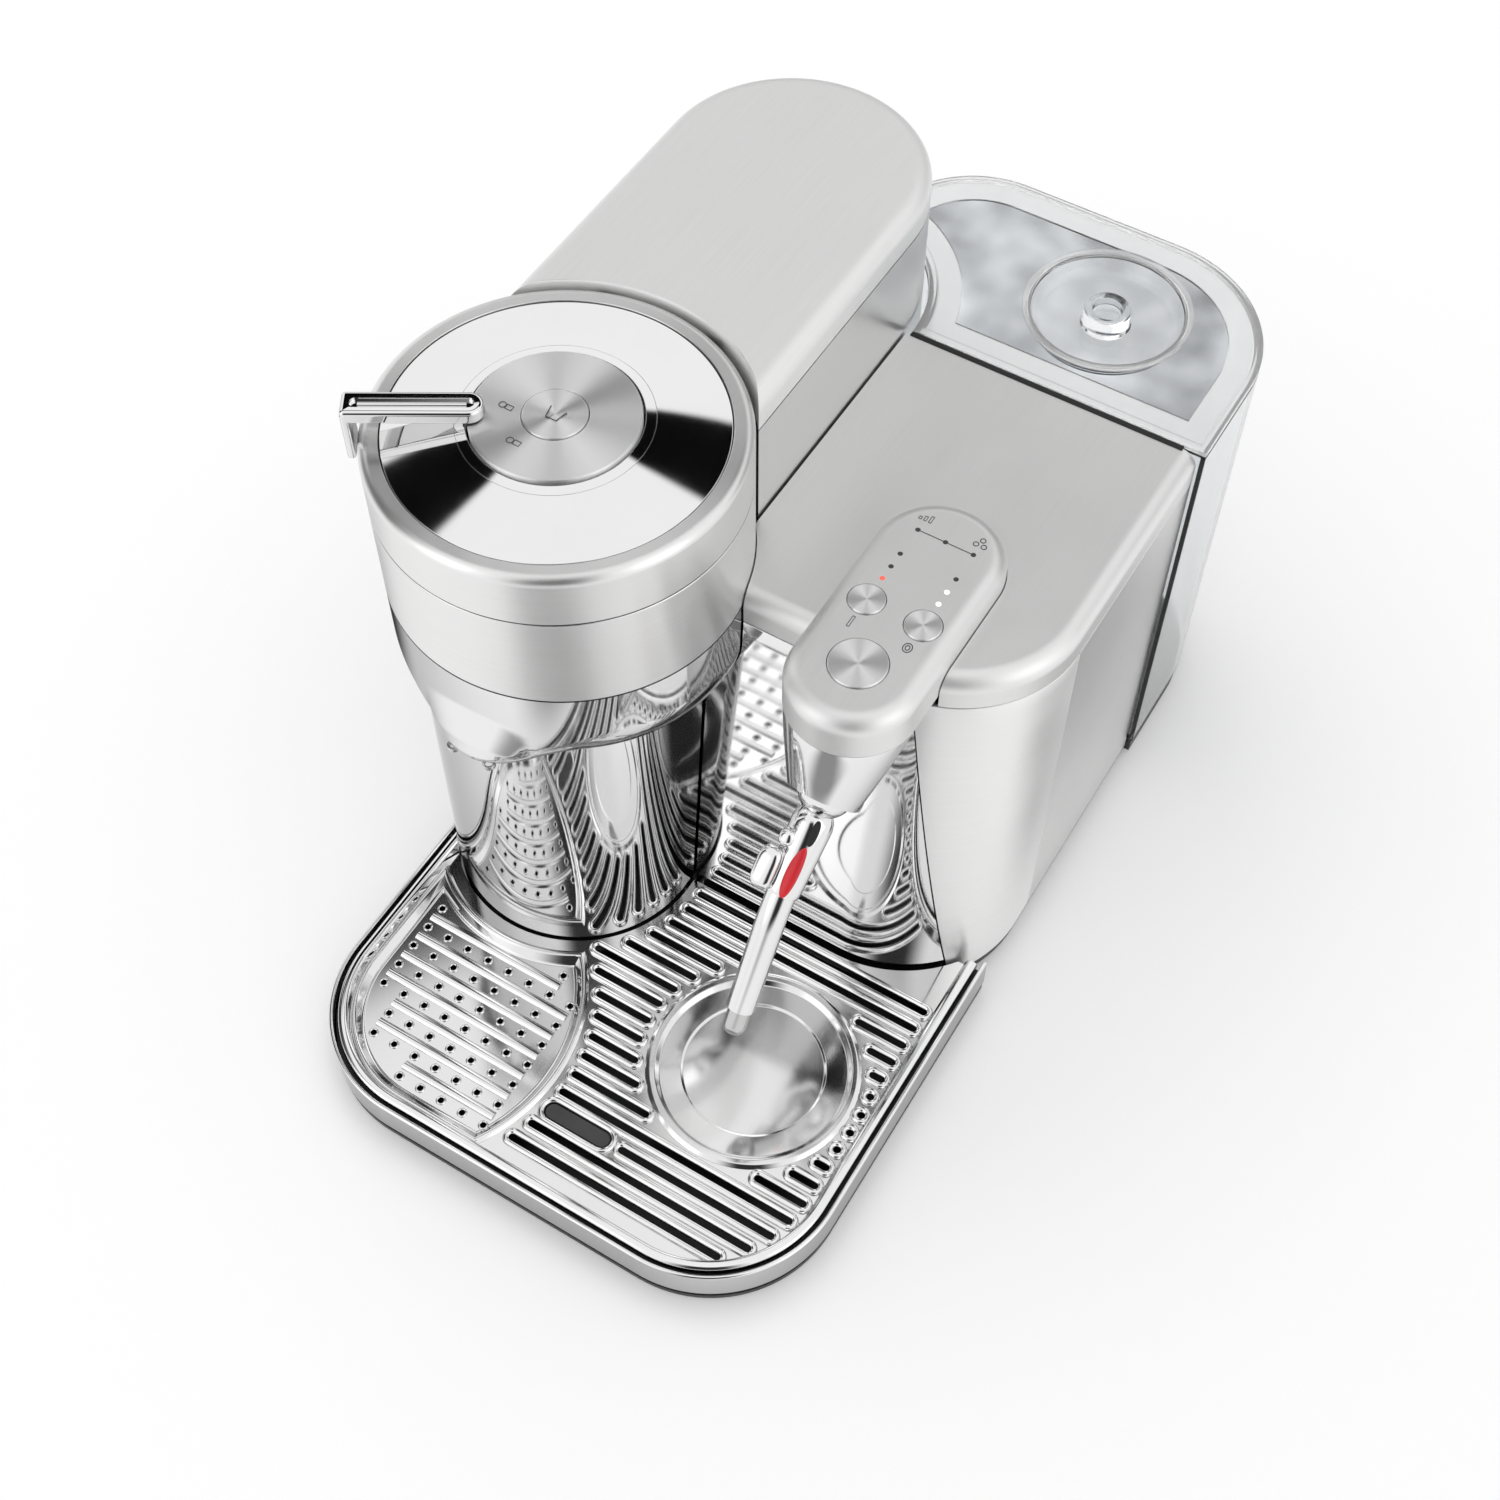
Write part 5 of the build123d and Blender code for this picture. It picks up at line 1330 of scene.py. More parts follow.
    def dome(self) -> None:
        """Make the polished dome that rises to the groove round the disc."""
        groove, bore, low, edge = self.disc_r + 4.7, self.disc_r + 0.5, self.dome_low, self.dome_edge
        rise = [(self.dome_r + (groove - self.dome_r) * k / 20, k / 20) for k in range(1, 20)]
        crown = [(r, edge + (self.dome_crown - edge) * t + 0.3 * t * (1 - t)) for r, t in rise]
        corners = [(self.dome_r, low), (self.dome_r, edge), *crown, (groove, self.dome_crown)]
        corners += [(groove, self.groove_low), (bore, self.groove_low), (bore, low)]
        radii = [0.2, 0.35] + [0.0] * len(crown) + [0.04, 0.2, 0.2, 0.2]
        mesh = carve(lathe(corners, radii, HEAD, 5, 192), self.hinge_cut())
        self.put("cover_dome", mesh, "mirror_chrome", "cover", "head_dome")

    def disc(self) -> None:
        """Make the turned disc and the brew button in it."""
        bore, low, top, seat, hole = self.button_r + 0.3, self.disc_low, self.disc_top, 264.9, 2.0
        corners = [(self.disc_r, low), (self.disc_r, top), (bore, top)]
        corners += [(bore, seat), (hole, seat), (hole, low)]
        form = lathe(corners, [0.2, 0.7, 0.4, 0.2, 0.2, 0.2], HEAD, 8, 192)
        self.put("turned_disc", form, "spun_head", "cover", "head_disc")
        foot, r = 266.2, self.button_r
        corners = [(0.02, foot), (r, foot), (r, top + 0.4), (0.02, top + 0.15)]
        form = lathe(corners, [0, 0.3, 0.6, 0], HEAD, 6, 128, False)
        self.put("brew_key_cap", form, "spun_head", "brew_key", "brew_button")

    def lever_plan(self, drawn_in: float) -> List[Point2]:
        """Plan of the lever's bar in its own frame, round at its inner end.

        Args:
            drawn_in: how far it is drawn in.

        Returns:
            The outline.
        """
        half = self.lever_w / 2 - drawn_in
        centre, end = self.lever_in + self.lever_w / 2, self.lever_out - drawn_in
        corner = max(1.6 - drawn_in, 0.3)
        path = PlanPath((centre, -half)).run(end - corner, -half, 4)
        path.arc((end - corner, corner - half), corner, -90, 0, 8).run(end, half - corner)
        path.arc((end - corner, half - corner), corner, 0, 90, 8).run(centre, half, 4)
        return path.arc((centre, 0), half, 90, 270, 32).closed()

    def channel_plan(self, drawn_in: float) -> List[Point2]:
        """Plan of the channel along the lever, drawn in by a distance."""
        half, end = self.channel_half - drawn_in, self.channel_end
        return slot_outline(self.lever_in + end - half, self.lever_out - end + half, 0.0, half, 16)

    def grip_plan(self, drawn_in: float) -> List[Point2]:
        """Plan of the grip at the lever's end.

        Args:
            drawn_in: how far it is drawn in.

        Returns:
            The outline.
        """
        near, far = self.lever_out - self.grip_t + drawn_in, self.lever_out - drawn_in
        half = self.lever_w / 2 - drawn_in
        corners = [(near, -half), (far, -half), (far, half), (near, half)]
        return fillet_path(corners, [max(1.0 - drawn_in, 0.2)] * 4, True, 6)

    def set_out(self, sheet: Sheet) -> Sheet:
        """Turn a sheet from the lever's own frame to its place.

        Args:
            sheet: the sheet, along X from the head's axis.

        Returns:
            The sheet itself.
        """
        c, s = math.cos(math.radians(self.lever_turn)), math.sin(math.radians(self.lever_turn))
        sheet.verts = [(HEAD_X + u * c - v * s, HEAD_Y + u * s + v * c, z) for u, v, z in sheet.verts]
        return sheet

    def lever(self) -> None:
        """Make the lock lever: channelled bar, grip, hub ring and neck, and the ridge in the channel."""
        low, high, grip = self.lever_low, self.lever_top, self.grip_low
        corners = [(2.5, low), (0, low), (0, high), (3.2, high - 0.3)]
        bar = sweep(self.lever_plan, corners, [0, 0.9, 1.6, 0], 8)
        cut = sweep(self.channel_plan, [(0.5, high - 1.7), (0.0, high - 1.2), (0.0, high + 2)], [0, 0, 0], 1)
        mesh = carve(self.set_out(bar), self.set_out(cut))
        corners = [(1.2, grip), (0, grip), (0, high - 2), (1.2, high - 2)]
        hand = self.set_out(sweep(self.grip_plan, corners, [0, 1.0, 0.3, 0], 6))
        corners = [(self.hub_out, self.hub_low), (self.hub_out, self.hub_edge)]
        corners += [(self.hub_in, self.hub_crest), (self.hub_in, self.hub_low)]
        hub = lathe(corners, [0.1, 0.04, 0.15, 0.1], HEAD, 4, 192)
        inner = (self.neck_in, -self.neck_half, self.neck_low)
        neck = self.set_out(block(inner, (self.neck_out, self.neck_half, low + 1.0)))
        mesh = carve(mesh, hand, hub, neck, keep="UNION")
        self.put("lock_lever_arm", mesh, "mirror_chrome", "lever", "lock_lever", 40)
        start, span = self.lever_in + 6.0, self.lever_out - self.lever_in - 12.0
        line = [(start + span * k / 16, 0.0, high - 1.75) for k in range(17)]
        ridge = self.set_out(Sheet(line)).verts
        self.bead("lever_ridge", [ridge], False, (1.2, 16), "mirror_chrome", "lever", 60)

    def marks(self) -> None:
        """Lay black beads in the seams as painted shadow in the gaps, and the plain cup and padlock marks."""
        heights = ((self.bowl_top + self.band_low) / 2, (self.band_top + self.ring_low) / 2)
        # black beads between bowl, band and ring: painted shadow in the gaps
        seams = [circle(HEAD, self.radius - 0.3, z, 192) for z in heights]
        self.bead("seam_shadow_lines", seams, True, (0.22, 6), "black_plastic", "base", 60)
        outline = [(-3.2, 2.4), (-2.2, -2.6), (2.2, -2.6), (3.2, 2.4)]
        cup = [(HEAD_X + x, HEAD_Y + y, self.disc_top + 0.38) for x, y in outline]
        self.bead("cup_mark", [cup], False, (0.22, 6), "ink_mark", "brew_key")
        locks: List[Loop] = []
        z = self.disc_top + 0.02
        for turn in self.lock_turns:
            x, y = on_circle(HEAD, self.lock_reach, turn)
            body = [(1.5, -1.0), (4.1, -1.0), (4.1, 1.0), (1.5, 1.0)]
            locks += [circle((x, y), 1.3, z, 16), [(x + dx, y + dy, z) for dx, dy in body]]
        self.bead("lock_marks", locks, True, (0.18, 6), "ink_mark", "cover")

    def build(self) -> None:
        """Make the head's pieces."""
        for make in (self.bowl, self.band, self.cover_ring, self.dome, self.disc, self.lever, self.marks):
            make()


@dataclass
class SteamHousing(Assembly):
    """The steam housing: splash panel, wrap, lid, and the control cap with its buttons and lights."""

    low: float = 9.0
    seam: float = 190.0
    top: float = 205.0
    lean: float = 18.0
    corner_top: float = 51.0
    lid_round: float = 7.35
    rear: float = 112.5
    side_seam: float = 15.0
    edge_low: float = 111.0
    edge_top: float = 82.0
    wall: float = 1.8
    cap_half: float = 25.5
    cap_front: float = -75.5
    cap_rear: float = 37.0
    cap_low: float = 196.0
    cap_top: float = 215.0
    cap_round: float = 7.0
    main_r: float = 11.0
    side_r: float = 7.0
    key_gap: float = 0.3
    scale_y: float = 16.5
    light_rows: Point3 = (3.2, -3.7, -10.1)
    light_r: float = 1.05
    light_rise: float = 0.35
    ring_y: float = -33.0
    sign_y: float = 22.8

    def share(self, z: float) -> float:
        """How far up between the base and the lid seam a height is."""
        return (z - self.low) / (self.seam - self.low)

    def bend(self, z: float) -> Tuple[float, Point2]:
        """The leaning front's corner at a height.

        Args:
            z: the height.

        Returns:
            The corner's radius and centre.
        """
        radius = HOUSING_CORNER + (self.corner_top - HOUSING_CORNER) * self.share(z)
        return radius, (HOUSING_RIGHT - radius, HOUSING_FRONT + self.lean * self.share(z) + radius)

    def edge_angle(self, z: float, shift: float) -> float:
        """Angle on the corner's arc at which the splash panel meets the wrap.

        Args:
            z: the height.
            shift: distance to the right of the meeting line.

        Returns:
            The angle, in degrees.
        """
        x = self.edge_low + (self.edge_top - self.edge_low) * self.share(z) + shift
        radius, centre = self.bend(z)
        return -math.degrees(math.acos((x - centre[0]) / radius))

    def splash_plan(self, z: float) -> List[Point2]:
        """Outline of the splash panel's wall at a height.

        Args:
            z: the height.

        Returns:
            The outline.
        """
        radius, centre = self.bend(z)
        front, turn, inner = centre[1] - radius, self.edge_angle(z, 0.0), HOUSING_LEFT + self.wall
        path = PlanPath((HOUSING_LEFT, self.side_seam)).run(HOUSING_LEFT, front).run(centre[0], front, 8)
        path.arc(centre, radius, -90, turn, 40).arc(centre, radius - self.wall, turn, -90, 40)
        path.run(inner, front + self.wall, 8).run(inner, self.side_seam)
        return path.run(HOUSING_LEFT, self.side_seam).closed()

    def wrap_plan(self, z: float) -> List[Point2]:
        """Outline of the satin wrap's wall at a height.

        Args:
            z: the height.

        Returns:
            The outline.
        """
        radius, centre = self.bend(z)
        turn, inner = self.edge_angle(z, 0.5), HOUSING_RIGHT - self.wall
        start = on_circle(centre, radius, turn)
        path = PlanPath(start).arc(centre, radius, turn, 0, 40).run(HOUSING_RIGHT, self.side_seam)
        path.run(inner, self.side_seam).run(inner, centre[1])
        return path.arc(centre, radius - self.wall, 0, turn, 40).run(*start).closed()

    def panel(self, plan: Plan) -> Sheet:
        """Loft a thin leaning panel.

        Args:
            plan: gives the panel's outline at a height.

        Returns:
            The panel.
        """
        low, top, rows = self.low, self.seam - 0.5, 24
        ease = [(0.25, 0.0), (0.08, 0.1), (0.0, 0.4)]
        steps = [(m, low + z) for m, z in ease]
        steps += [(0.0, low + (top - low) * k / rows) for k in range(1, rows)]
        steps += [(m, top - z) for m, z in reversed(ease)]
        return Sheet().stack([at_height(inset(plan(z), m), z) for m, z in steps])

    def panels(self) -> None:
        """Make the splash panel, with room for the head's bowl, and the wrap."""
        edge, low = HEAD_R + HEAD_GAP, 152.4
        room = lathe([(20.0, low), (edge, low), (edge, 260.0)], [0, 24.5, 0], HEAD, 24, 160, False)
        mesh = carve(self.panel(self.splash_plan), room)
        self.put("splash_wall", mesh, "mirror_chrome", "base", "splash_panel")
        self.put("corner_wrap", self.panel(self.wrap_plan), "satin_wrap", "base", "housing_wrap")

    def lid_plan(self, drawn_in: float) -> List[Point2]:
        """Plan of the lid, drawn in at its front and right only.

        Args:
            drawn_in: how far the front and right are drawn in.

        Returns:
            The outline.
        """
        right, front = HOUSING_RIGHT - drawn_in, HOUSING_FRONT + self.lean + drawn_in
        radius = self.corner_top - drawn_in
        path = PlanPath((HOUSING_LEFT, self.rear)).run(HOUSING_LEFT, front, 4).run(right - radius, front, 4)
        path.arc((right - radius, front + radius), radius, -90, 0, 48).run(right, self.rear, 6)
        return path.run(HOUSING_LEFT, self.rear, 4).closed()

    def cap_plan(self, drawn_in: float) -> List[Point2]:
        """Round-ended plan of the control cap.

        Args:
            drawn_in: how far it is drawn in.

        Returns:
            The outline.
        """
        half = self.cap_half - drawn_in
        front, rear = self.cap_front + self.cap_half, self.cap_rear - self.cap_half
        path = PlanPath((CAP_X + half, front)).run(CAP_X + half, rear, 4)
        path.arc((CAP_X, rear), half, 0, 180, 56).run(CAP_X - half, front, 4)
        return path.arc((CAP_X, front), half, 180, 360, 56).closed()

    def lid(self) -> None:
        """Make the satin lid with its rounded edge and the cap's cut-out, and the dark seal behind it."""
        corners = [(1.5, self.seam), (0.0, self.seam), (0.0, self.top), (30.0, self.top)]
        form = sweep(self.lid_plan, corners, [0, 0.4, self.lid_round, 0], 16)
        cap = Sheet().prism(self.cap_plan(-0.35), 180.0, 230.0)
        room = discs([HEAD], HEAD_R + HEAD_GAP, 150.0, 270.0, 160)
        self.put("housing_top", carve(form, cap, room), "satin_lid", "base", "housing_lid", 40)
        near, far, left, right = self.rear - 1.3, self.rear + 1.2, -1.0, 118.0
        corners = [(left, near), (right, near), (right, far), (left, far)]
        plan = fillet_path(corners, [0.3, 0.4, 0.4, 0.3], True, 4)
        section = [(0.2, 150.0), (0.0, 150.2), (0.0, self.top + 0.2), (0.2, self.top + 0.4)]
        form = Sheet().stack([at_height(inset(plan, m), z) for m, z in section])
        self.put("rear_seal", form, "rubber", "base")

    def cap(self) -> None:
        """Make the control cap with holes for its buttons."""
        corners = [(1.5, self.cap_low), (0.0, self.cap_low), (0.0, self.cap_top), (18.0, self.cap_top)]
        form = sweep(self.cap_plan, corners, [0, 0.4, self.cap_round, 0], 12)
        low, high = 206.0, 220.0
        holes = discs([MAIN_KEY], self.main_r + self.key_gap, low, high, 96)
        r = self.side_r + self.key_gap
        for spot in (LEFT_KEY, RIGHT_KEY):
            holes.turned([(r, low), (r, high)], spot, False, 72)
        self.put("control_top", carve(form, holes), "satin_lid", "base", "control_cap", 40)

    def buttons(self) -> None:
        """Make the three turned buttons, slightly dished."""
        foot, rise = 207.4, self.cap_top + 0.6
        radii = (self.main_r, self.side_r, self.side_r)
        for side, spot, r in zip(("main", "left", "right"), (MAIN_KEY, LEFT_KEY, RIGHT_KEY), radii):
            corners = [(0.02, foot), (r, foot), (r, rise), (r * 0.55, rise - 0.12), (0.02, rise - 0.25)]
            form = lathe(corners, [0, 0.2, 0.6, r * 0.3, 0], spot, 6, 96, False)
            self.put(side + "_key_cap", form, "spun_" + side, side + "_key", side + "_button")

    def lights(self) -> None:
        """Set the small lights and the plain scale line on the cap."""
        z = self.cap_top - 0.05
        left, right = [[(x, y, z) for y in self.light_rows] for x in (LEFT_KEY[0], RIGHT_KEY[0])]
        scale = [(x, self.scale_y, z) for x in (LEFT_KEY[0], CAP_X, RIGHT_KEY[0])]
        groups = (
            ("lights_dark", left[:2] + right[:1] + scale, "lens_dark", "indicator_lights"),
            ("lights_white", right[1:], "lens_white", ""),
            ("light_red", left[2:], "lens_red", ""),
        )
        for name, spots, finish, node in groups:
            form = dome_form(name + "_form", self.finishes[finish], self.light_r, self.light_rise)
            self.put(name, form.mesh(spots), finish, "base", node)
        ends = zip(scale, scale[1:])
        runs = [[(a[0] + 1.0, a[1], self.cap_top), (b[0] - 1.0, b[1], self.cap_top)] for a, b in ends]
        self.bead("scale_line", runs, False, (0.2, 6), "ink_mark", "base")

    def symbols(self) -> None:
        """Lay plain marks beside the buttons: two rings, bars and bubbles."""
        z, left, right = self.cap_top, LEFT_KEY[0], RIGHT_KEY[0]
        loops = [circle((right, self.ring_y), wide, z, 18, tall) for wide, tall in ((1.7, 2.1), (0.8, 1.1))]
        bars = [(left, self.ring_y - 2.5, self.ring_y + 2.5)]
        bars += [(left - 2.0 + 2.0 * k, self.sign_y - 1.2, self.sign_y + k) for k in range(3)]
        for x, low, high in bars:
            loops.append([(x - 0.5, low, z), (x + 0.5, low, z), (x + 0.5, high, z), (x - 0.5, high, z)])
        bubbles = ((-1.6, -1.2), (1.6, -1.2), (0.0, 1.4))
        loops += [circle((right + x, self.sign_y + y), 1.0, z, 18) for x, y in bubbles]
        self.bead("cap_symbols", loops, True, (0.2, 6), "ink_mark", "base")

    def build(self) -> None:
        """Make the housing's pieces."""
        for make in (self.panels, self.lid, self.cap, self.buttons, self.lights, self.symbols):
            make()


@dataclass(frozen=True)
class Pad:
    """A rounded pad on the wand's sleeve: a ball drawn towards a box."""

    spot: Point3
    sizes: Point3
    power: float

    def lift(self, value: float) -> float:
        """Square a share up; a power of one leaves it round."""
        return math.copysign(abs(value) ** self.power, value)

    def form(self, start: Vector, axes: Sequence[Vector]) -> Sheet:
        """Make the pad.

        Args:
            start: where the wand's ball is.
            axes: directions to the left, over the sleeve and along it.

        Returns:
            The pad as a sheet.
        """
        left, over, along = axes
        centre = start + along * self.spot[2] + left * self.spot[0] + over * self.spot[1]
        loops: List[Loop] = []
        for a in [math.pi * k / 32 for k in range(1, 32)]:
            wide, tall = self.lift(math.sin(a)), self.lift(math.cos(a))
            loop: Loop = []
            for b in [TURN * n / 48 for n in range(48)]:
                parts = (wide * self.lift(math.cos(b)), wide * self.lift(math.sin(b)), tall)
                moves = [axis * (size * part) for axis, size, part in zip(axes, self.sizes, parts)]
                loop.append(tuple(centre + sum(moves, Vector())))
            loops.append(loop)
        return Sheet().stack(loops)


@dataclass
class SteamWand(Assembly):
    """The wand: horn with its socket, ball and bent tube, dark tip, finger tab and red pad."""

    ball: Point3 = (CAP_X, -66.0, 158.0)
    ball_r: float = 11.0
    ball_room: float = 11.5
    horn_r: float = 14.5
    horn_top_r: float = 25.2
    horn_top_y: float = -50.0
    horn_top: float = 195.7
    horn_rear: float = -38.4
    lip: float = 2.6
    tube_r: float = 4.6
    outer_r: float = 5.8
    upper: float = 45.0
    lower: float = 50.0
    upper_angle: float = 50.0
    lower_angle: float = 33.0
    tip: float = 12.0
    sleeve: Tuple[Point2, ...] = (
        (9.0, 6.4), (11.0, 7.6), (14.0, 8.2), (20.0, 8.0), (30.0, 7.6), (40.0, 7.1), (42.0, 6.9), (43.0, 6.4),
    )
    knob: Pad = Pad((7.4, 5.6, 35.0), (4.8, 4.2, 8.6), 0.62)
    stop: Pad = Pad((4.6, 6.2, 21.5), (3.4, 3.0, 3.8), 0.9)
    pad: Pad = Pad((-2.4, 6.3, 31.5), (2.9, 1.7, 11.6), 0.95)
    slit: Pad = Pad((-4.0, 6.6, 16.0), (1.7, 1.4, 5.2), 0.9)

    def route(self) -> List[Vector]:
        """Find the tube's corners.

        Returns:
            Ball, knee and end.
        """
        corners = [Vector(self.ball)]
        for angle, reach in ((self.upper_angle, self.upper), (self.lower_angle, self.lower)):
            a = math.radians(angle)
            corners.append(corners[-1] + Vector((0, -math.sin(a), -math.cos(a))) * reach)
        return corners

    def horn(self) -> None:
        """Make the horn, cut across the tube at its lip and hollowed for the ball."""
        x, y, z = self.ball
        loops: List[Loop] = []
        for t in [k / 28 for k in range(29)]:
            radius = self.horn_top_r + (self.horn_r - self.horn_top_r) * t ** 1.12
            middle = (x, self.horn_top_y + (y - self.horn_top_y) * t)
            loops.append(circle(middle, radius, self.horn_top + (z - self.horn_top) * t, 96))
        for a in [math.pi / 2 * k / 20 for k in range(1, 20)]:
            loops.append(circle((x, y), self.horn_r * math.cos(a), z - self.horn_r * math.sin(a), 96))
        start, knee, _ = self.route()
        along = (knee - start).normalized()
        up = Vector((1, 0, 0)).cross(along)
        ends = [(self.lip, 50.0), (60.0, 50.0), (60.0, -50.0), (self.lip, -50.0)]
        side = [start + along * a + up * b for a, b in ends]
        mouth = Sheet().stack([[(x + w, p.y, p.z) for p in side] for w in (-40.0, 40.0)])
        behind = block((x - 40, self.horn_rear, 100.0), (x + 40, 40.0, 240.0))
        mesh = carve(Sheet().stack(loops), ball(self.ball, self.ball_room, 32, 96), mouth, behind)
        self.put("wand_socket", mesh, "mirror_chrome", "base", "wand_horn", 40)

    def line(self, steps: int = 40) -> List[Point3]:
        """Points along the tube, bent smoothly at the knee.

        Args:
            steps: stretches of the bend.

        Returns:
            The centre line.
        """
        start, knee, end = self.route()
        near, far = start + (knee - start) * 0.72, knee + (end - knee) * 0.26
        points = [start + (near - start) * k / 10 for k in range(10)]
        for t in [k / steps for k in range(steps)]:
            points.append(near * (1 - t) ** 2 + knee * 2 * t * (1 - t) + far * t ** 2)
        points += [far + (end - far) * k / 10 for k in range(11)]
        return [tuple(p) for p in points]

    def tube(self) -> None:
        """Make the ball with its bent tube, and the dark rounded tip."""
        line = self.line()
        form = Sheet().tube(line, [self.outer_r] * len(line), 48)
        mesh = carve(form, ball(self.ball, self.ball_r, 40, 64), keep="UNION")
        self.put("steam_tube", mesh, "mirror_chrome", "wand", "wand_tube", 40)
        _, knee, end = self.route()
        way, bend = (end - knee).normalized(), 0.72
        ends, radii = [tuple(end - way * 1.0)], [self.tube_r]
        for t in [k / 13 for k in range(14)]:
            ends.append(tuple(end + way * (self.tip * t)))
            share = 1.0 if t < bend else math.sqrt(max(0.06, 1 - ((t - bend) / 0.3) ** 2))
            radii.append(self.tube_r * share)
        self.put("steam_tip", Sheet().tube(ends, radii, 40), "plain_steel", "wand", "wand_tip", 50)

    def tab(self) -> None:
        """Make the tapered sleeve with its finger tab, the red pad and the dark slit let into it."""
        start, knee, _ = self.route()
        along, left = (knee - start).normalized(), Vector((-1, 0, 0))
        axes = (left, left.cross(along).normalized(), along)
        path, radii = [tuple(start + along * s) for s, _ in self.sleeve], [r for _, r in self.sleeve]
        knob, stop, pad, slit = [p.form(start, axes) for p in (self.knob, self.stop, self.pad, self.slit)]
        mesh = carve(Sheet().tube(path, radii, 64), knob, stop, keep="UNION")
        self.put("finger_tab", mesh, "mirror_chrome", "wand", "wand_tab", 50)
        self.put("red_pad", pad, "red_plastic", "wand", "wand_grip", 50)
        self.put("sleeve_slit", slit, "rubber", "wand", "", 50)

    def build(self) -> None:
        """Make the wand's pieces."""
        for make in (self.horn, self.tube, self.tab):
            make()


@dataclass
class DripTray(Assembly):
    """The tray: polished skirt and a stamped grid with slots, jug ring and a sunk cup well."""

    left: float = -107.0
    right: float = 126.0
    front: float = -214.0
    corner: float = 56.0
    rear: float = -28.0
    clear: float = 0.8
    skirt_low: float = 7.2
    rim_top: float = 24.0
    level: float = 18.8
    plate: float = 1.2
    edge: float = 7.4
    slot_w: float = 3.6
    lip: float = 1.7
    pitch: float = 9.0
    first_row: float = 18.5
    last_y: float = -55.9
    jug: Point2 = (66.0, -119.0)
    jug_r: float = 44.0
    well: Point2 = (-78.0, -165.0)
    well_r: float = 78.0
    well_sink: float = 2.5
    well_pitch: float = 10.5
    float_row: int = 2
    float_len: float = 32.0
    float_w: float = 8.6

    def edge_line(self, left_end: float, right_end: float) -> List[Point2]:
        """The tray's outer edge, from behind on the left round the front to behind on the right.

        Args:
            left_end: where it ends on the left.
            right_end: where it ends on the right.

        Returns:
            The open line, with the tray on its left.
        """
        r, y = self.corner, self.front + self.corner
        path = PlanPath((self.left, left_end)).run(self.left, y, 4)
        path.arc((self.left + r, y), r, 180, 270, 48).run(self.right - r, self.front, 6)
        return path.arc((self.right - r, y), r, -90, 0, 48).run(self.right, right_end, 6).points

    def edges(self) -> None:
        """Make the polished skirt with a rolled upper edge, and the grid's rolled rim."""
        room = discs([COLUMN], TOWER_HALF + self.clear, -5.0, 60.0, 192)
        low, high = self.skirt_low, self.rim_top - 0.5
        corners = [(0.0, low), (0.0, high), (1.8, high), (1.8, low)]
        section = fillet_path(corners, [0.3, 0.85, 0.85, 0.3], True, 6)
        form = Sheet().rail(self.edge_line(-70.0, self.rear - 0.5), section)
        self.put("tray_wall", carve(form, room), "mirror_chrome", "tray", "tray_skirt")
        low, high, inner = self.level - self.plate, self.rim_top, self.edge + 1.8
        corners = [(3.3, low), (3.3, high), (self.edge, high), (inner, self.level), (inner, low)]
        section = fillet_path(corners, [0.3, 1.9, 1.8, 1.0, 0.2], True, 8)
        form = Sheet().rail(self.edge_line(-76.0, self.rear - 3.0), section)
        self.put("grid_rim", carve(form, room), "mirror_chrome", "grid")

    def plate_plan(self) -> List[Point2]:
        """Outline of the grid's plate, under the rim in front and close to the column and the housing behind.

        Returns:
            The outline.
        """
        e, near, y = self.edge - 0.4, 0.15, self.front + self.corner
        r, column = self.corner - e, TOWER_HALF + self.clear + near
        house_r, rear = HOUSING_CORNER + self.clear + near, self.rear - 3.5
        mid = (HOUSING_RIGHT - HOUSING_CORNER, HOUSING_FRONT + HOUSING_CORNER)
        reach = math.degrees(math.asin((mid[1] - rear) / house_r))
        bend = math.degrees(math.acos((HEAD_X - self.left - e) / column))
        path = PlanPath((self.left + e, y)).arc((self.left + self.corner, y), r, 180, 270, 40)
        bend_x = self.right - self.corner
        path.run(bend_x, self.front + e, 6).arc((bend_x, y), r, -90, 0, 40)
        path.run(self.right - e, rear, 4).run(on_circle(mid, house_r, reach)[0], rear)
        path.arc(mid, house_r, -reach, -90, 40).run(HEAD_X + column, mid[1] - house_r, 4)
        path.run(HEAD_X + column, COLUMN_Y).arc(COLUMN, column, 0, -180 + bend, 72)
        return path.run(self.left + e, y, 4).closed()

    def limits(self, y: float) -> Point2:
        """Leftmost and rightmost X that a slot may reach in a row.

        Args:
            y: the row's middle line.

        Returns:
            Both limits.
        """
        column, margin = TOWER_HALF + self.clear + 1.5, self.lip + self.slot_w / 2
        lefts, right = [self.left + self.edge], self.right - self.edge
        if abs(y - self.well[1]) < self.well_r:
            lefts.append(self.well[0] + math.sqrt(self.well_r ** 2 - (y - self.well[1]) ** 2))
        if y > COLUMN_Y:
            lefts.append(HEAD_X + column)
        elif abs(y - COLUMN_Y) < column:
            lefts.append(HEAD_X + math.sqrt(column ** 2 - (y - COLUMN_Y) ** 2))
        corner_y, radius = self.front + self.corner, self.corner - self.edge
        if y < corner_y:
            right += math.sqrt(radius ** 2 - (y - corner_y) ** 2) - radius
        return max(lefts) + margin, right - margin

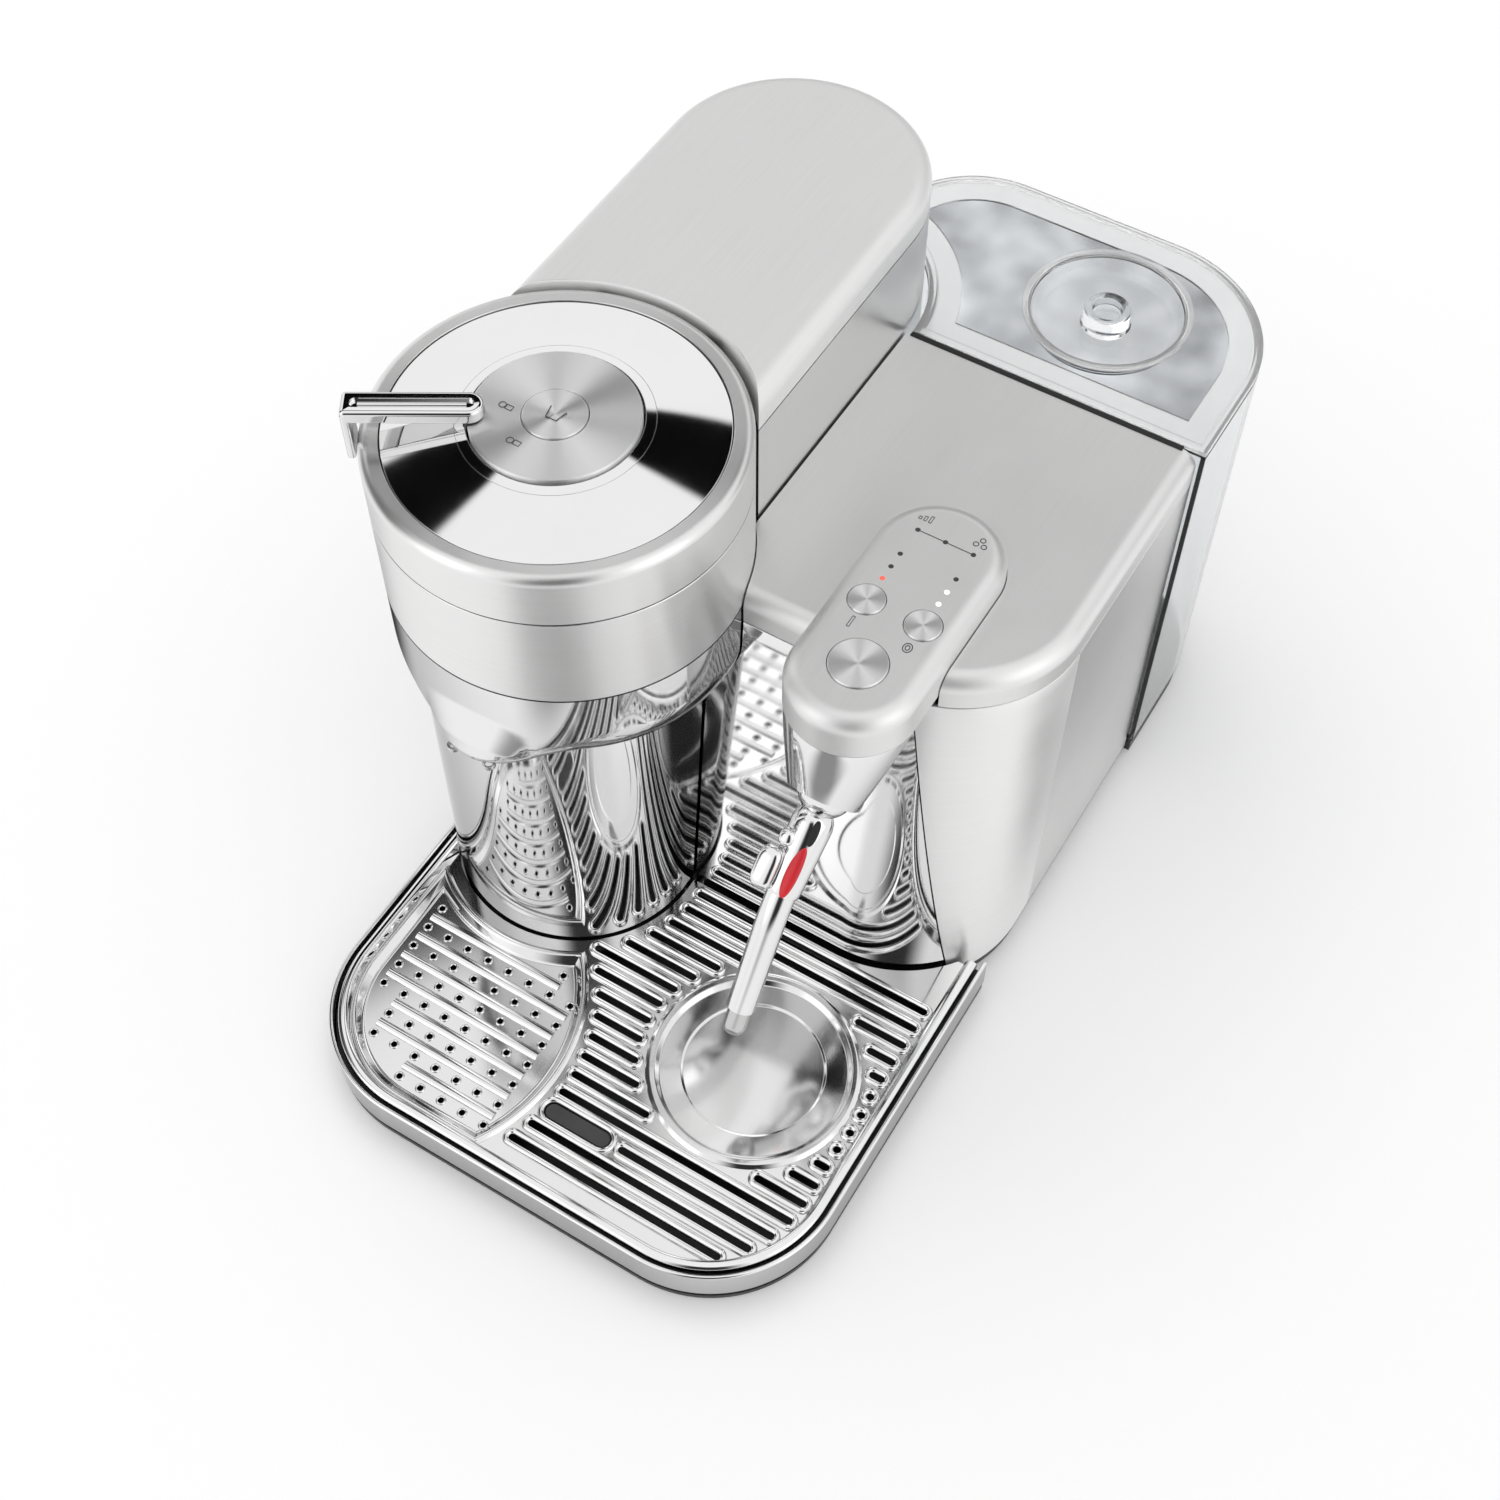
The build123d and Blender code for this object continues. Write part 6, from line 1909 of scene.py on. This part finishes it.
    def slots(self) -> List[Tuple[float, float, float, float]]:
        """Lay out the rows of slots round the jug ring and the float.

        Returns:
            Start, end, middle line and half width of every slot.
        """
        found: List[Tuple[float, float, float, float]] = []
        margin = self.lip + self.slot_w / 2
        float_x = self.well[0] + self.well_r + 2.5
        count = int((self.last_y - margin - self.clear - self.front - self.first_row) / self.pitch) + 1
        for row in range(count):
            y = self.front + self.first_row + row * self.pitch
            start, end = self.limits(y)
            spans = [(start, end)]
            reach = self.jug_r + margin
            if abs(y - self.jug[1]) < reach:
                half = math.sqrt(reach ** 2 - (y - self.jug[1]) ** 2)
                spans = [(start, self.jug[0] - half), (self.jug[0] + half, end)]
            if row == self.float_row:
                spans = [(float_x + self.float_len + margin, end)]
                found.append((float_x, float_x + self.float_len, y, self.float_w / 2))
            for a, b in spans:
                if b - a > 0.4:
                    more = max(0.0, self.slot_w + 0.2 - (b - a)) / 2
                    found.append((a - more, b + more, y, self.slot_w / 2))
        return found

    def well_plan(self, drawn_in: float) -> List[Point2]:
        """Outline of the cup well: front edge, ridge, column and left side.

        Args:
            drawn_in: how far it is drawn in.

        Returns:
            The outline.
        """
        e, r, radius = self.edge + drawn_in, self.corner, self.well_r - drawn_in
        column = TOWER_HALF + self.clear + 5.2 + drawn_in
        first = last = math.degrees(math.asin((self.front + e - self.well[1]) / radius))

        def off(angle: float) -> bool:
            """Whether the ridge is still off the column at an angle."""
            return math.dist(on_circle(self.well, radius, angle), COLUMN) > column

        while off(last):
            last += 0.5
        step = 0.25
        while step > 1e-9:
            last += step if off(last) else -step
            step /= 2
        meet, y = on_circle(self.well, radius, last), self.front + r
        begin = math.degrees(math.atan2(meet[1] - COLUMN_Y, meet[0] - HEAD_X))
        finish = -180 + math.degrees(math.acos((HEAD_X - self.left - e) / column))
        path = PlanPath((self.left + e, y)).arc((self.left + r, y), r - e, 180, 270, 32)
        path.run(*on_circle(self.well, radius, first), 4).arc(self.well, radius, first, last, 72)
        return path.arc(COLUMN, column, begin, finish, 40).run(self.left + e, y, 3).closed()

    def well_holes(self) -> List[Point2]:
        """Lay out the cup well's drain holes.

        Returns:
            Their centres.
        """
        clear, column = 7.3, TOWER_HALF + self.clear + self.edge
        near = self.edge + clear
        corner = (self.left + self.corner, self.front + self.corner)
        count = int(2 * self.well_r / self.well_pitch)
        steps = range(-count, count)
        spots: List[Point2] = []
        for i, j in [(i, j) for i in steps for j in steps]:
            x, y = spot = (self.well[0] + i * self.well_pitch, self.well[1] + j * self.well_pitch)
            ridge = math.dist(spot, self.well) < self.well_r - clear
            off = math.dist(spot, COLUMN) > column + clear and y < COLUMN_Y
            rim = x > self.left + near and y > self.front + near
            bend = x > corner[0] or y > corner[1] or math.dist(spot, corner) < self.corner - near
            if ridge and off and rim and bend:
                spots.append(spot)
        return spots

    def grid(self) -> None:
        """Make the grid's plate with its slots, and the sunk floor of the cup well."""
        low, high = self.level - self.plate, self.level
        under, over = low - 2, high + 2
        cutter = Sheet()
        for slot in self.slots():
            cutter.prism(slot_outline(*slot), under, over)
        cutter.prism(self.well_plan(0.0), under, over)
        cutter.turned([(self.jug_r - 1.0, under), (self.jug_r - 1.0, over)], self.jug, False, 128)
        mesh = carve(Sheet().prism(self.plate_plan(), low, high), cutter)
        self.put("slot_plate", mesh, "soft_chrome", "grid", "drip_grid")
        sunk = high - self.well_sink
        corners = [(0.0, 15.0), (0.0, high), (2.4, high + 1.7), (5.6, sunk), (10.0, sunk)]
        dish = sweep(self.well_plan, corners, [0, 0.4, 1.9, 1.9, 0], 8)
        self.put("cup_well", carve(dish, discs(self.well_holes(), 1.3, 5.0, 30.0, 20)), "soft_chrome", "grid")

    def jug_seat(self) -> None:
        """Make the shallow round seat with its raised ring."""
        z, r = self.level, self.jug_r
        corners = [(0.05, z - 1.0), (r - 15.0, z - 1.0), (r - 14.0, z - 0.5), (r - 5.2, z - 0.6)]
        corners += [(r - 3.4, z + 1.1), (r - 1.2, z + 1.1), (r + 0.6, z + 0.05), (r + 0.6, z - 0.6)]
        corners.append((0.05, z - 2.2))
        form = lathe(corners, [0, 0.6, 0.6, 0.9, 1.0, 1.0, 0.4, 0.1, 0], self.jug, 8, 160, False)
        self.put("jug_seat", form, "soft_chrome", "grid")

    def ribs(self) -> List[Loop]:
        """Lay out the ribs between the rows of drain holes.

        Returns:
            Both ends of every rib.
        """
        rows: Dict[float, List[float]] = {}
        for x, y in self.well_holes():
            rows.setdefault(y, []).append(x)
        z, found = self.level - self.well_sink - 1.5, []
        for y, xs in rows.items():
            above = rows.get(y + self.well_pitch)
            if above:
                a, b = max(min(xs), min(above)) - 1.5, min(max(xs), max(above)) + 1.5
                found.append([(x, y + self.well_pitch / 2, z) for x in (a, b)])
        return found

    def beads(self) -> None:
        """Lay the rounded lips round the slots, and the drain rims and ribs of the well."""
        z, out = self.level + 0.05, 0.9
        plans = [slot_outline(a - out, b + out, y, half + out, 10) for a, b, y, half in self.slots()]
        lips = [at_height(plan, z) for plan in plans]
        self.bead("slot_lips", lips, True, (1.4, 14), "mirror_chrome", "grid", 60)
        rims = [circle(spot, 1.7, self.level - self.well_sink, 18) for spot in self.well_holes()]
        self.bead("drain_rims", rims, True, (0.5, 8), "mirror_chrome", "grid", 60)
        self.bead("well_ribs", self.ribs(), False, (2.6, 20), "soft_chrome", "grid", 60)

    def build(self) -> None:
        """Make the tray's pieces."""
        for make in (self.edges, self.grid, self.jug_seat, self.beads):
            make()


@dataclass
class WaterTank(Assembly):
    """The clear tank that wraps the tower, with its lid, dished recess and knob."""

    low: float = 10.0
    top: float = 203.0
    wall: float = 2.2
    front: float = 114.0
    rear: float = 214.0
    right: float = 127.0
    left: float = -46.0
    corner: float = 58.0
    left_corner: float = 46.0
    room: float = 56.5
    recess: Point2 = (60.0, 166.0)
    recess_r: float = 32.0
    valve: Point2 = (-10.0, 166.0)
    valve_r: float = 6.6
    border: float = 13.5

    def plan(self, drawn_in: float) -> List[Point2]:
        """Outline of the tank.

        Args:
            drawn_in: how far it is drawn in.

        Returns:
            The outline.
        """
        m, room = drawn_in, self.room + drawn_in
        front, rear, right = self.front + m, self.rear - m, self.right - m
        tower = np.array((HEAD_X, TOWER_REAR))
        centre = np.array((self.left + self.left_corner, self.rear - self.left_corner))
        small, gap = self.left_corner - m, centre - tower
        far = float(np.linalg.norm(gap))
        way, across = gap / far, np.array((-gap[1], gap[0])) / far
        a = (far ** 2 + room ** 2 - small ** 2) / (2 * far)
        meet = tower + way * a + across * math.sqrt(room ** 2 - a ** 2)
        last = math.degrees(math.atan2(*(meet - centre)[::-1]))
        begin = math.degrees(math.atan2(*(meet - tower)[::-1]))
        end = math.degrees(math.asin((front - TOWER_REAR) / room))
        start = HEAD_X + math.sqrt(room ** 2 - (front - TOWER_REAR) ** 2)
        path = PlanPath((start, front)).run(right, front, 6)
        path.run(right, self.rear - self.corner, 2)
        path.arc((self.right - self.corner, self.rear - self.corner), self.corner - m, 0, 90, 40)
        path.run(self.left + self.left_corner, rear, 4).arc(tuple(centre), small, 90, last % 360, 36)
        return path.arc(tuple(tower), room, begin, end, 40).closed()

    def tank(self) -> None:
        """Make the tank's clear wall and floor."""
        w, low, floor, top, middle = self.wall, self.low, self.low + 2.5, self.top, 30.0
        corners = [(middle, floor), (w, floor), (w, top), (0.0, top), (0.0, low), (middle, low)]
        section = fillet_path(corners, [0, 3.0, 0.8, 0.8, 4.0, 0], False, 6)
        section = [(m if m < 20 else w + 3.2, z) for m, z in section]
        form = Sheet().stack([at_height(self.plan(m), z) for m, z in section])
        mesh = carve(form, discs([self.valve], self.valve_r, 0.0, 30.0, 48))
        self.put("clear_tank", mesh, "clear_plastic", "tank", "water_tank", 40)

    def lid(self) -> None:
        """Make the lid's rolled edge with a broad border, and the panel inside it, tinted as painted shade
        with painted caustic highlights.
        """
        low, high, inner = self.top + 0.3, self.top + 2.8, self.border
        corners = [(0.0, low), (0.0, high), (3.0, high), (4.2, high - 1.1), (inner, high - 1.3), (inner, low)]
        form = sweep(self.plan, corners, [0.6, 0.9, 0.7, 0.7, 0.3, 0.3], 5, True)
        self.put("clear_lid", form, "clear_edge", "tank_cap", "tank_lid", 40)
        panel = Sheet().prism(self.plan(inner + 0.2), low + 0.1, high - 1.5)
        hole = discs([self.recess], self.recess_r + 1.0, low - 3, high + 3, 96)
        # the panel's grey tint and blotches are painted shade and painted caustic highlights
        self.put("lid_panel", carve(panel, hole), "clear_shade", "tank_cap", "", 40)

    def dish(self) -> None:
        """Make the recess with its rim, and the knob in it."""
        high, r = self.top + 2.8, self.recess_r
        rim = [(r + 2.6, high - 1.4), (r + 2.6, high - 0.3), (r + 1.0, high), (r - 0.8, high - 0.6)]
        rim += [(r - 0.8, high - 2.2), (r + 0.9, high - 2.2), (r + 0.9, high - 1.4)]
        form = lathe(rim, [0.2, 0.5, 0.9, 0.6, 0.4, 0.2, 0.1], self.recess, 5, 128)
        self.put("recess_rim", form, "clear_edge", "tank_cap", "", 40)
        face = [(r - 1.0, high - 2.4), (r - 3.0, high - 8.0), (10.5, high - 9.0), (0.05, high - 9.0)]
        back = [(0.05, high - 10.4), (10.5, high - 10.4), (r - 1.6, high - 9.6), (r + 0.6, high - 2.4)]
        profile = fillet_path(face, [0, 5.0, 1.5, 0], False, 8)
        profile += fillet_path(back, [0, 1.5, 5.0, 0], False, 8)
        form = Sheet().turned(profile, self.recess, True, 128)
        self.put("lid_dish", form, "clear_dish", "tank_cap", "", 40)
        z = high - 8.8
        stem = [(0.05, z), (10.8, z), (9.9, z + 2.0), (9.4, z + 8.4)]
        stem += [(6.4, z + 8.6), (5.6, z + 4.6), (0.05, z + 4.2)]
        form = lathe(stem, [0, 0.6, 0.8, 1.4, 1.2, 1.0, 0], self.recess, 6, 96, False)
        self.put("lid_knob", form, "clear_plastic", "tank_cap", "tank_knob", 40)

    def build(self) -> None:
        """Make the tank's pieces."""
        for make in (self.tank, self.lid, self.dish):
            make()


@dataclass
class PlainNodes(Assembly):
    """The CAD nodes whose own shape is right, under the finish that they get."""

    nodes: Tuple[Tuple[str, str], ...] = (
        ("black_plastic", "base_plate tower_frame pod_container brew_deck holder_pulley cover_core"),
        ("black_plastic", "water_pump rear_panel control_board tray_pan tank_valve"),
        ("rubber", "rubber_feet cord_gland drive_belt chamber_seal water_hose tray_feet tank_socket"),
        ("plain_steel", "base_screws pod_holder spindle_bearing brew_motor motor_pulley hinge_pin"),
        ("plain_steel", "injector steam_boiler steam_pipe"),
        ("satin_shell", "tower_shell"),
        ("satin_side", "side_panel"),
        ("cast_aluminium", "heater_block"),
        ("ink_mark", "tray_float"),
    )
    eased: str = "side_panel"
    width: float = 0.4

    def build(self) -> None:
        """Give every plain node its finish, and round one node's edges a little."""
        for finish, names in self.nodes:
            for name in names.split():
                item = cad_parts[name]
                item.data.materials.clear()
                item.data.materials.append(self.finishes[finish])
                LOG.info("node %s in %s", name, finish)
        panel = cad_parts[self.eased]
        panel.modifiers.new("weld", "WELD").merge_threshold = 0.00001
        bevel = panel.modifiers.new("ease", "BEVEL")
        bevel.width, bevel.segments = self.width * MM, 3
        bevel.limit_method, bevel.angle_limit = "ANGLE", math.radians(35)
        bevel.harden_normals = False


@dataclass(frozen=True)
class Card:
    """A soft-edged card on the studio's wall, seen in mirrors only."""

    sides: Point2
    heights: Point2
    tone: float
    soft: Point2
    distance: float = 2.6

    def spot(self, u: float, v: float) -> Point3:
        """A point of the card.

        Args:
            u: share across.
            v: share upwards.

        Returns:
            The point, in metres.
        """
        a = math.radians(self.sides[0] + (self.sides[1] - self.sides[0]) * u)
        e = math.radians(self.heights[0] + (self.heights[1] - self.heights[0]) * v)
        way = (math.cos(a) * math.cos(e), math.sin(a) * math.cos(e), math.sin(e))
        return tuple(c * self.distance for c in way)

    def build(self, number: int) -> None:
        """Hang the card.

        Args:
            number: tells it from the other cards.
        """
        across, up = 24, 12
        shares = [(i / across, j / up) for i in range(across + 1) for j in range(up + 1)]
        corners = [i * (up + 1) + j for i in range(across) for j in range(up)]
        mesh = bpy.data.meshes.new("card_%d" % number)
        faces = [(k, k + 1, k + up + 2, k + up + 1) for k in corners]
        mesh.from_pydata([self.spot(u, v) for u, v in shares], [], faces)
        layer = mesh.uv_layers.new(name="spot")
        for loop in mesh.loops:
            layer.data[loop.index].uv = shares[loop.vertex_index]
        mesh.materials.append(self.paint(number))
        card = linked("card_%d" % number, mesh)
        for flag in ("camera", "diffuse", "transmission", "volume_scatter", "shadow"):
            setattr(card, "visible_" + flag, False)

    def paint(self, number: int) -> Material:
        """The card's paint, thinning out at its edges.

        Args:
            number: tells it from the other cards.

        Returns:
            The paint.
        """
        made = bpy.data.materials.new("card_paint_%d" % number)
        desk = fresh_tree(made)
        split = desk.add("ShaderNodeSeparateXYZ", Vector=desk.place("UV"))
        offs = [desk.math("PINGPONG", split.outputs[axis], 0.5) for axis in "XY"]
        shares = [desk.soft_step(o, (0.0, 0.0), (s, 1.0)) for o, s in zip(offs, self.soft)]
        cover = desk.math("MULTIPLY", *shares)
        mix = desk.add("ShaderNodeMixShader", Fac=cover)
        glow = desk.add("ShaderNodeEmission", Color=(*grey(self.tone), 1), Strength=1.0)
        desk.join(desk.add("ShaderNodeBsdfTransparent").outputs["BSDF"], mix.inputs[1])
        desk.join(glow.outputs["Emission"], mix.inputs[2])
        desk.add("ShaderNodeOutputMaterial", Surface=mix.outputs["Shader"])
        return made


@dataclass(frozen=True)
class LyingCard(Card):
    """A card that lies on the floor, from one corner to the other in metres."""

    distance: float = 0.0008

    def spot(self, u: float, v: float) -> Point3:
        """A point of the card.

        Args:
            u: share across.
            v: share upwards.

        Returns:
            The point, in metres.
        """
        (x0, x1), (y0, y1) = self.sides, self.heights
        return (x0 + (x1 - x0) * u, y0 + (y1 - y0) * v, self.distance)


@dataclass
class Studio:
    """Pale floor, soft light, cards for the metal to mirror, and the camera."""

    level: float = 0.92
    lift: float = 0.1
    floor_half: float = 6.0
    lamp: Point3 = (-0.9, 0.5, 1.7)
    lamp_size: Point2 = (1.4, 1.0)
    lamp_power: float = 4.0
    eye: Point3 = (0.2666, -0.4517, 0.820)
    azimuth: float = 31.3
    elevation: float = 55.7
    lens: float = 51.53
    hung: Tuple[Card, ...] = (
        Card((68.0, 190.0), (46.8, 61.8), 0.004, (0.12, 0.1)),
        Card((-92.0, -34.0), (-4.0, 74.0), 0.03, (0.35, 0.2)),
        Card((30.0, 150.0), (-2.0, 28.0), 0.12, (0.2, 0.3)),
        Card((-155.0, -98.0), (2.0, 58.0), 1.7, (0.3, 0.25)),
        Card((-28.0, 14.0), (2.0, 58.0), 1.7, (0.3, 0.25)),
        Card((165.0, 235.0), (4.0, 60.0), 0.06, (0.25, 0.2)),
        LyingCard((-0.07, 0.2), (-0.46, -0.212), 0.3, (0.35, 0.2)),
        LyingCard((-0.36, -0.17), (-0.12, 0.2), 0.06, (0.3, 0.3)),
        LyingCard((0.15, 0.33), (-0.02, 0.28), 0.2, (0.3, 0.3)),
    )

    def seen(self, desk: NodeDesk) -> Socket:
        """Tell rays that show the background from rays that light things.

        Args:
            desk: the tree's desk.

        Returns:
            One for camera, mirror and clear-plastic rays, else nought.
        """
        rays = desk.add("ShaderNodeLightPath").outputs
        shown = desk.math("MAXIMUM", rays["Is Camera Ray"], rays["Is Glossy Ray"])
        return desk.math("MAXIMUM", shown, rays["Is Transmission Ray"])

    def floor(self) -> None:
        """Lay the pale floor, which keeps the shadow."""
        mesh = bpy.data.meshes.new("floor")
        r = self.floor_half
        mesh.from_pydata([(-r, -r, 0), (r, -r, 0), (r, r, 0), (-r, r, 0)], [], [(0, 1, 2, 3)])
        made, desk, shader = fresh_material("floor_paint")
        colour = desk.tint(desk.noise(grey(0.5), 1.0), grey(0.92), grey(0.93))
        desk.feed(shader, Base_Color=colour, Roughness=0.8, Specular_IOR_Level=0.0)
        desk.feed(shader, Emission_Color=(1, 1, 1, 1))
        desk.feed(shader, Emission_Strength=desk.math("MULTIPLY", self.seen(desk), self.lift))
        mesh.materials.append(made)
        linked("floor", mesh)

    def sky(self) -> None:
        """Set the white surroundings, which metal and clear plastic show too."""
        world = bpy.data.worlds.new("studio")
        bpy.context.scene.world = world
        desk = fresh_tree(world)
        ends = {"Factor": self.seen(desk), "A": (*grey(self.level), 1), "B": (1, 1, 1, 1)}
        pick = desk.add("ShaderNodeMix", [("data_type", "RGBA")], **ends).outputs["Result"]
        back = desk.add("ShaderNodeBackground", Color=pick, Strength=1.0)
        desk.add("ShaderNodeOutputWorld", Surface=back.outputs["Background"])

    def lamps(self) -> None:
        """Hang one broad soft lamp behind and to the left."""
        data = bpy.data.lights.new("soft_lamp", "AREA")
        data.shape, data.energy = "RECTANGLE", self.lamp_power
        data.size, data.size_y = self.lamp_size
        lamp = linked("soft_lamp", data)
        lamp.location, lamp.rotation_mode, lamp.visible_glossy = self.lamp, "QUATERNION", False
        lamp.rotation_quaternion = (Vector((0, 0, 0.1)) - Vector(self.lamp)).to_track_quat("-Z", "Y")

    def camera(self) -> None:
        """Set the camera at the photograph's viewing angle."""
        a, e = math.radians(self.azimuth), math.radians(self.elevation)
        back = Vector((math.sin(a) * math.cos(e), -math.cos(a) * math.cos(e), math.sin(e)))
        right = Vector((math.cos(a), math.sin(a), 0))
        data = bpy.data.cameras.new("camera")
        data.lens, data.sensor_width = self.lens, 36.0
        data.clip_start, data.clip_end = 0.02, 30.0
        camera = linked("camera", data)
        turn = Matrix((right, back.cross(right), back)).transposed().to_4x4()
        camera.matrix_world = Matrix.Translation(self.eye) @ turn
        bpy.context.scene.camera = camera

    def build(self) -> None:
        """Set up the studio."""
        bpy.context.scene.view_settings.view_transform = "Standard"
        self.floor()
        self.sky()
        for number, card in enumerate(self.hung):
            card.build(number)
        self.lamps()
        self.camera()


def main() -> None:
    """Build the studio and every sub-assembly."""
    logging.basicConfig(level=logging.INFO, format="%(name)s %(message)s")
    finishes = Finishes()
    Studio().build()
    for part in (BrewTower, BrewHead, SteamHousing, SteamWand, DripTray, WaterTank, PlainNodes):
        part(finishes).build()


if __name__ == "__main__":
    main()
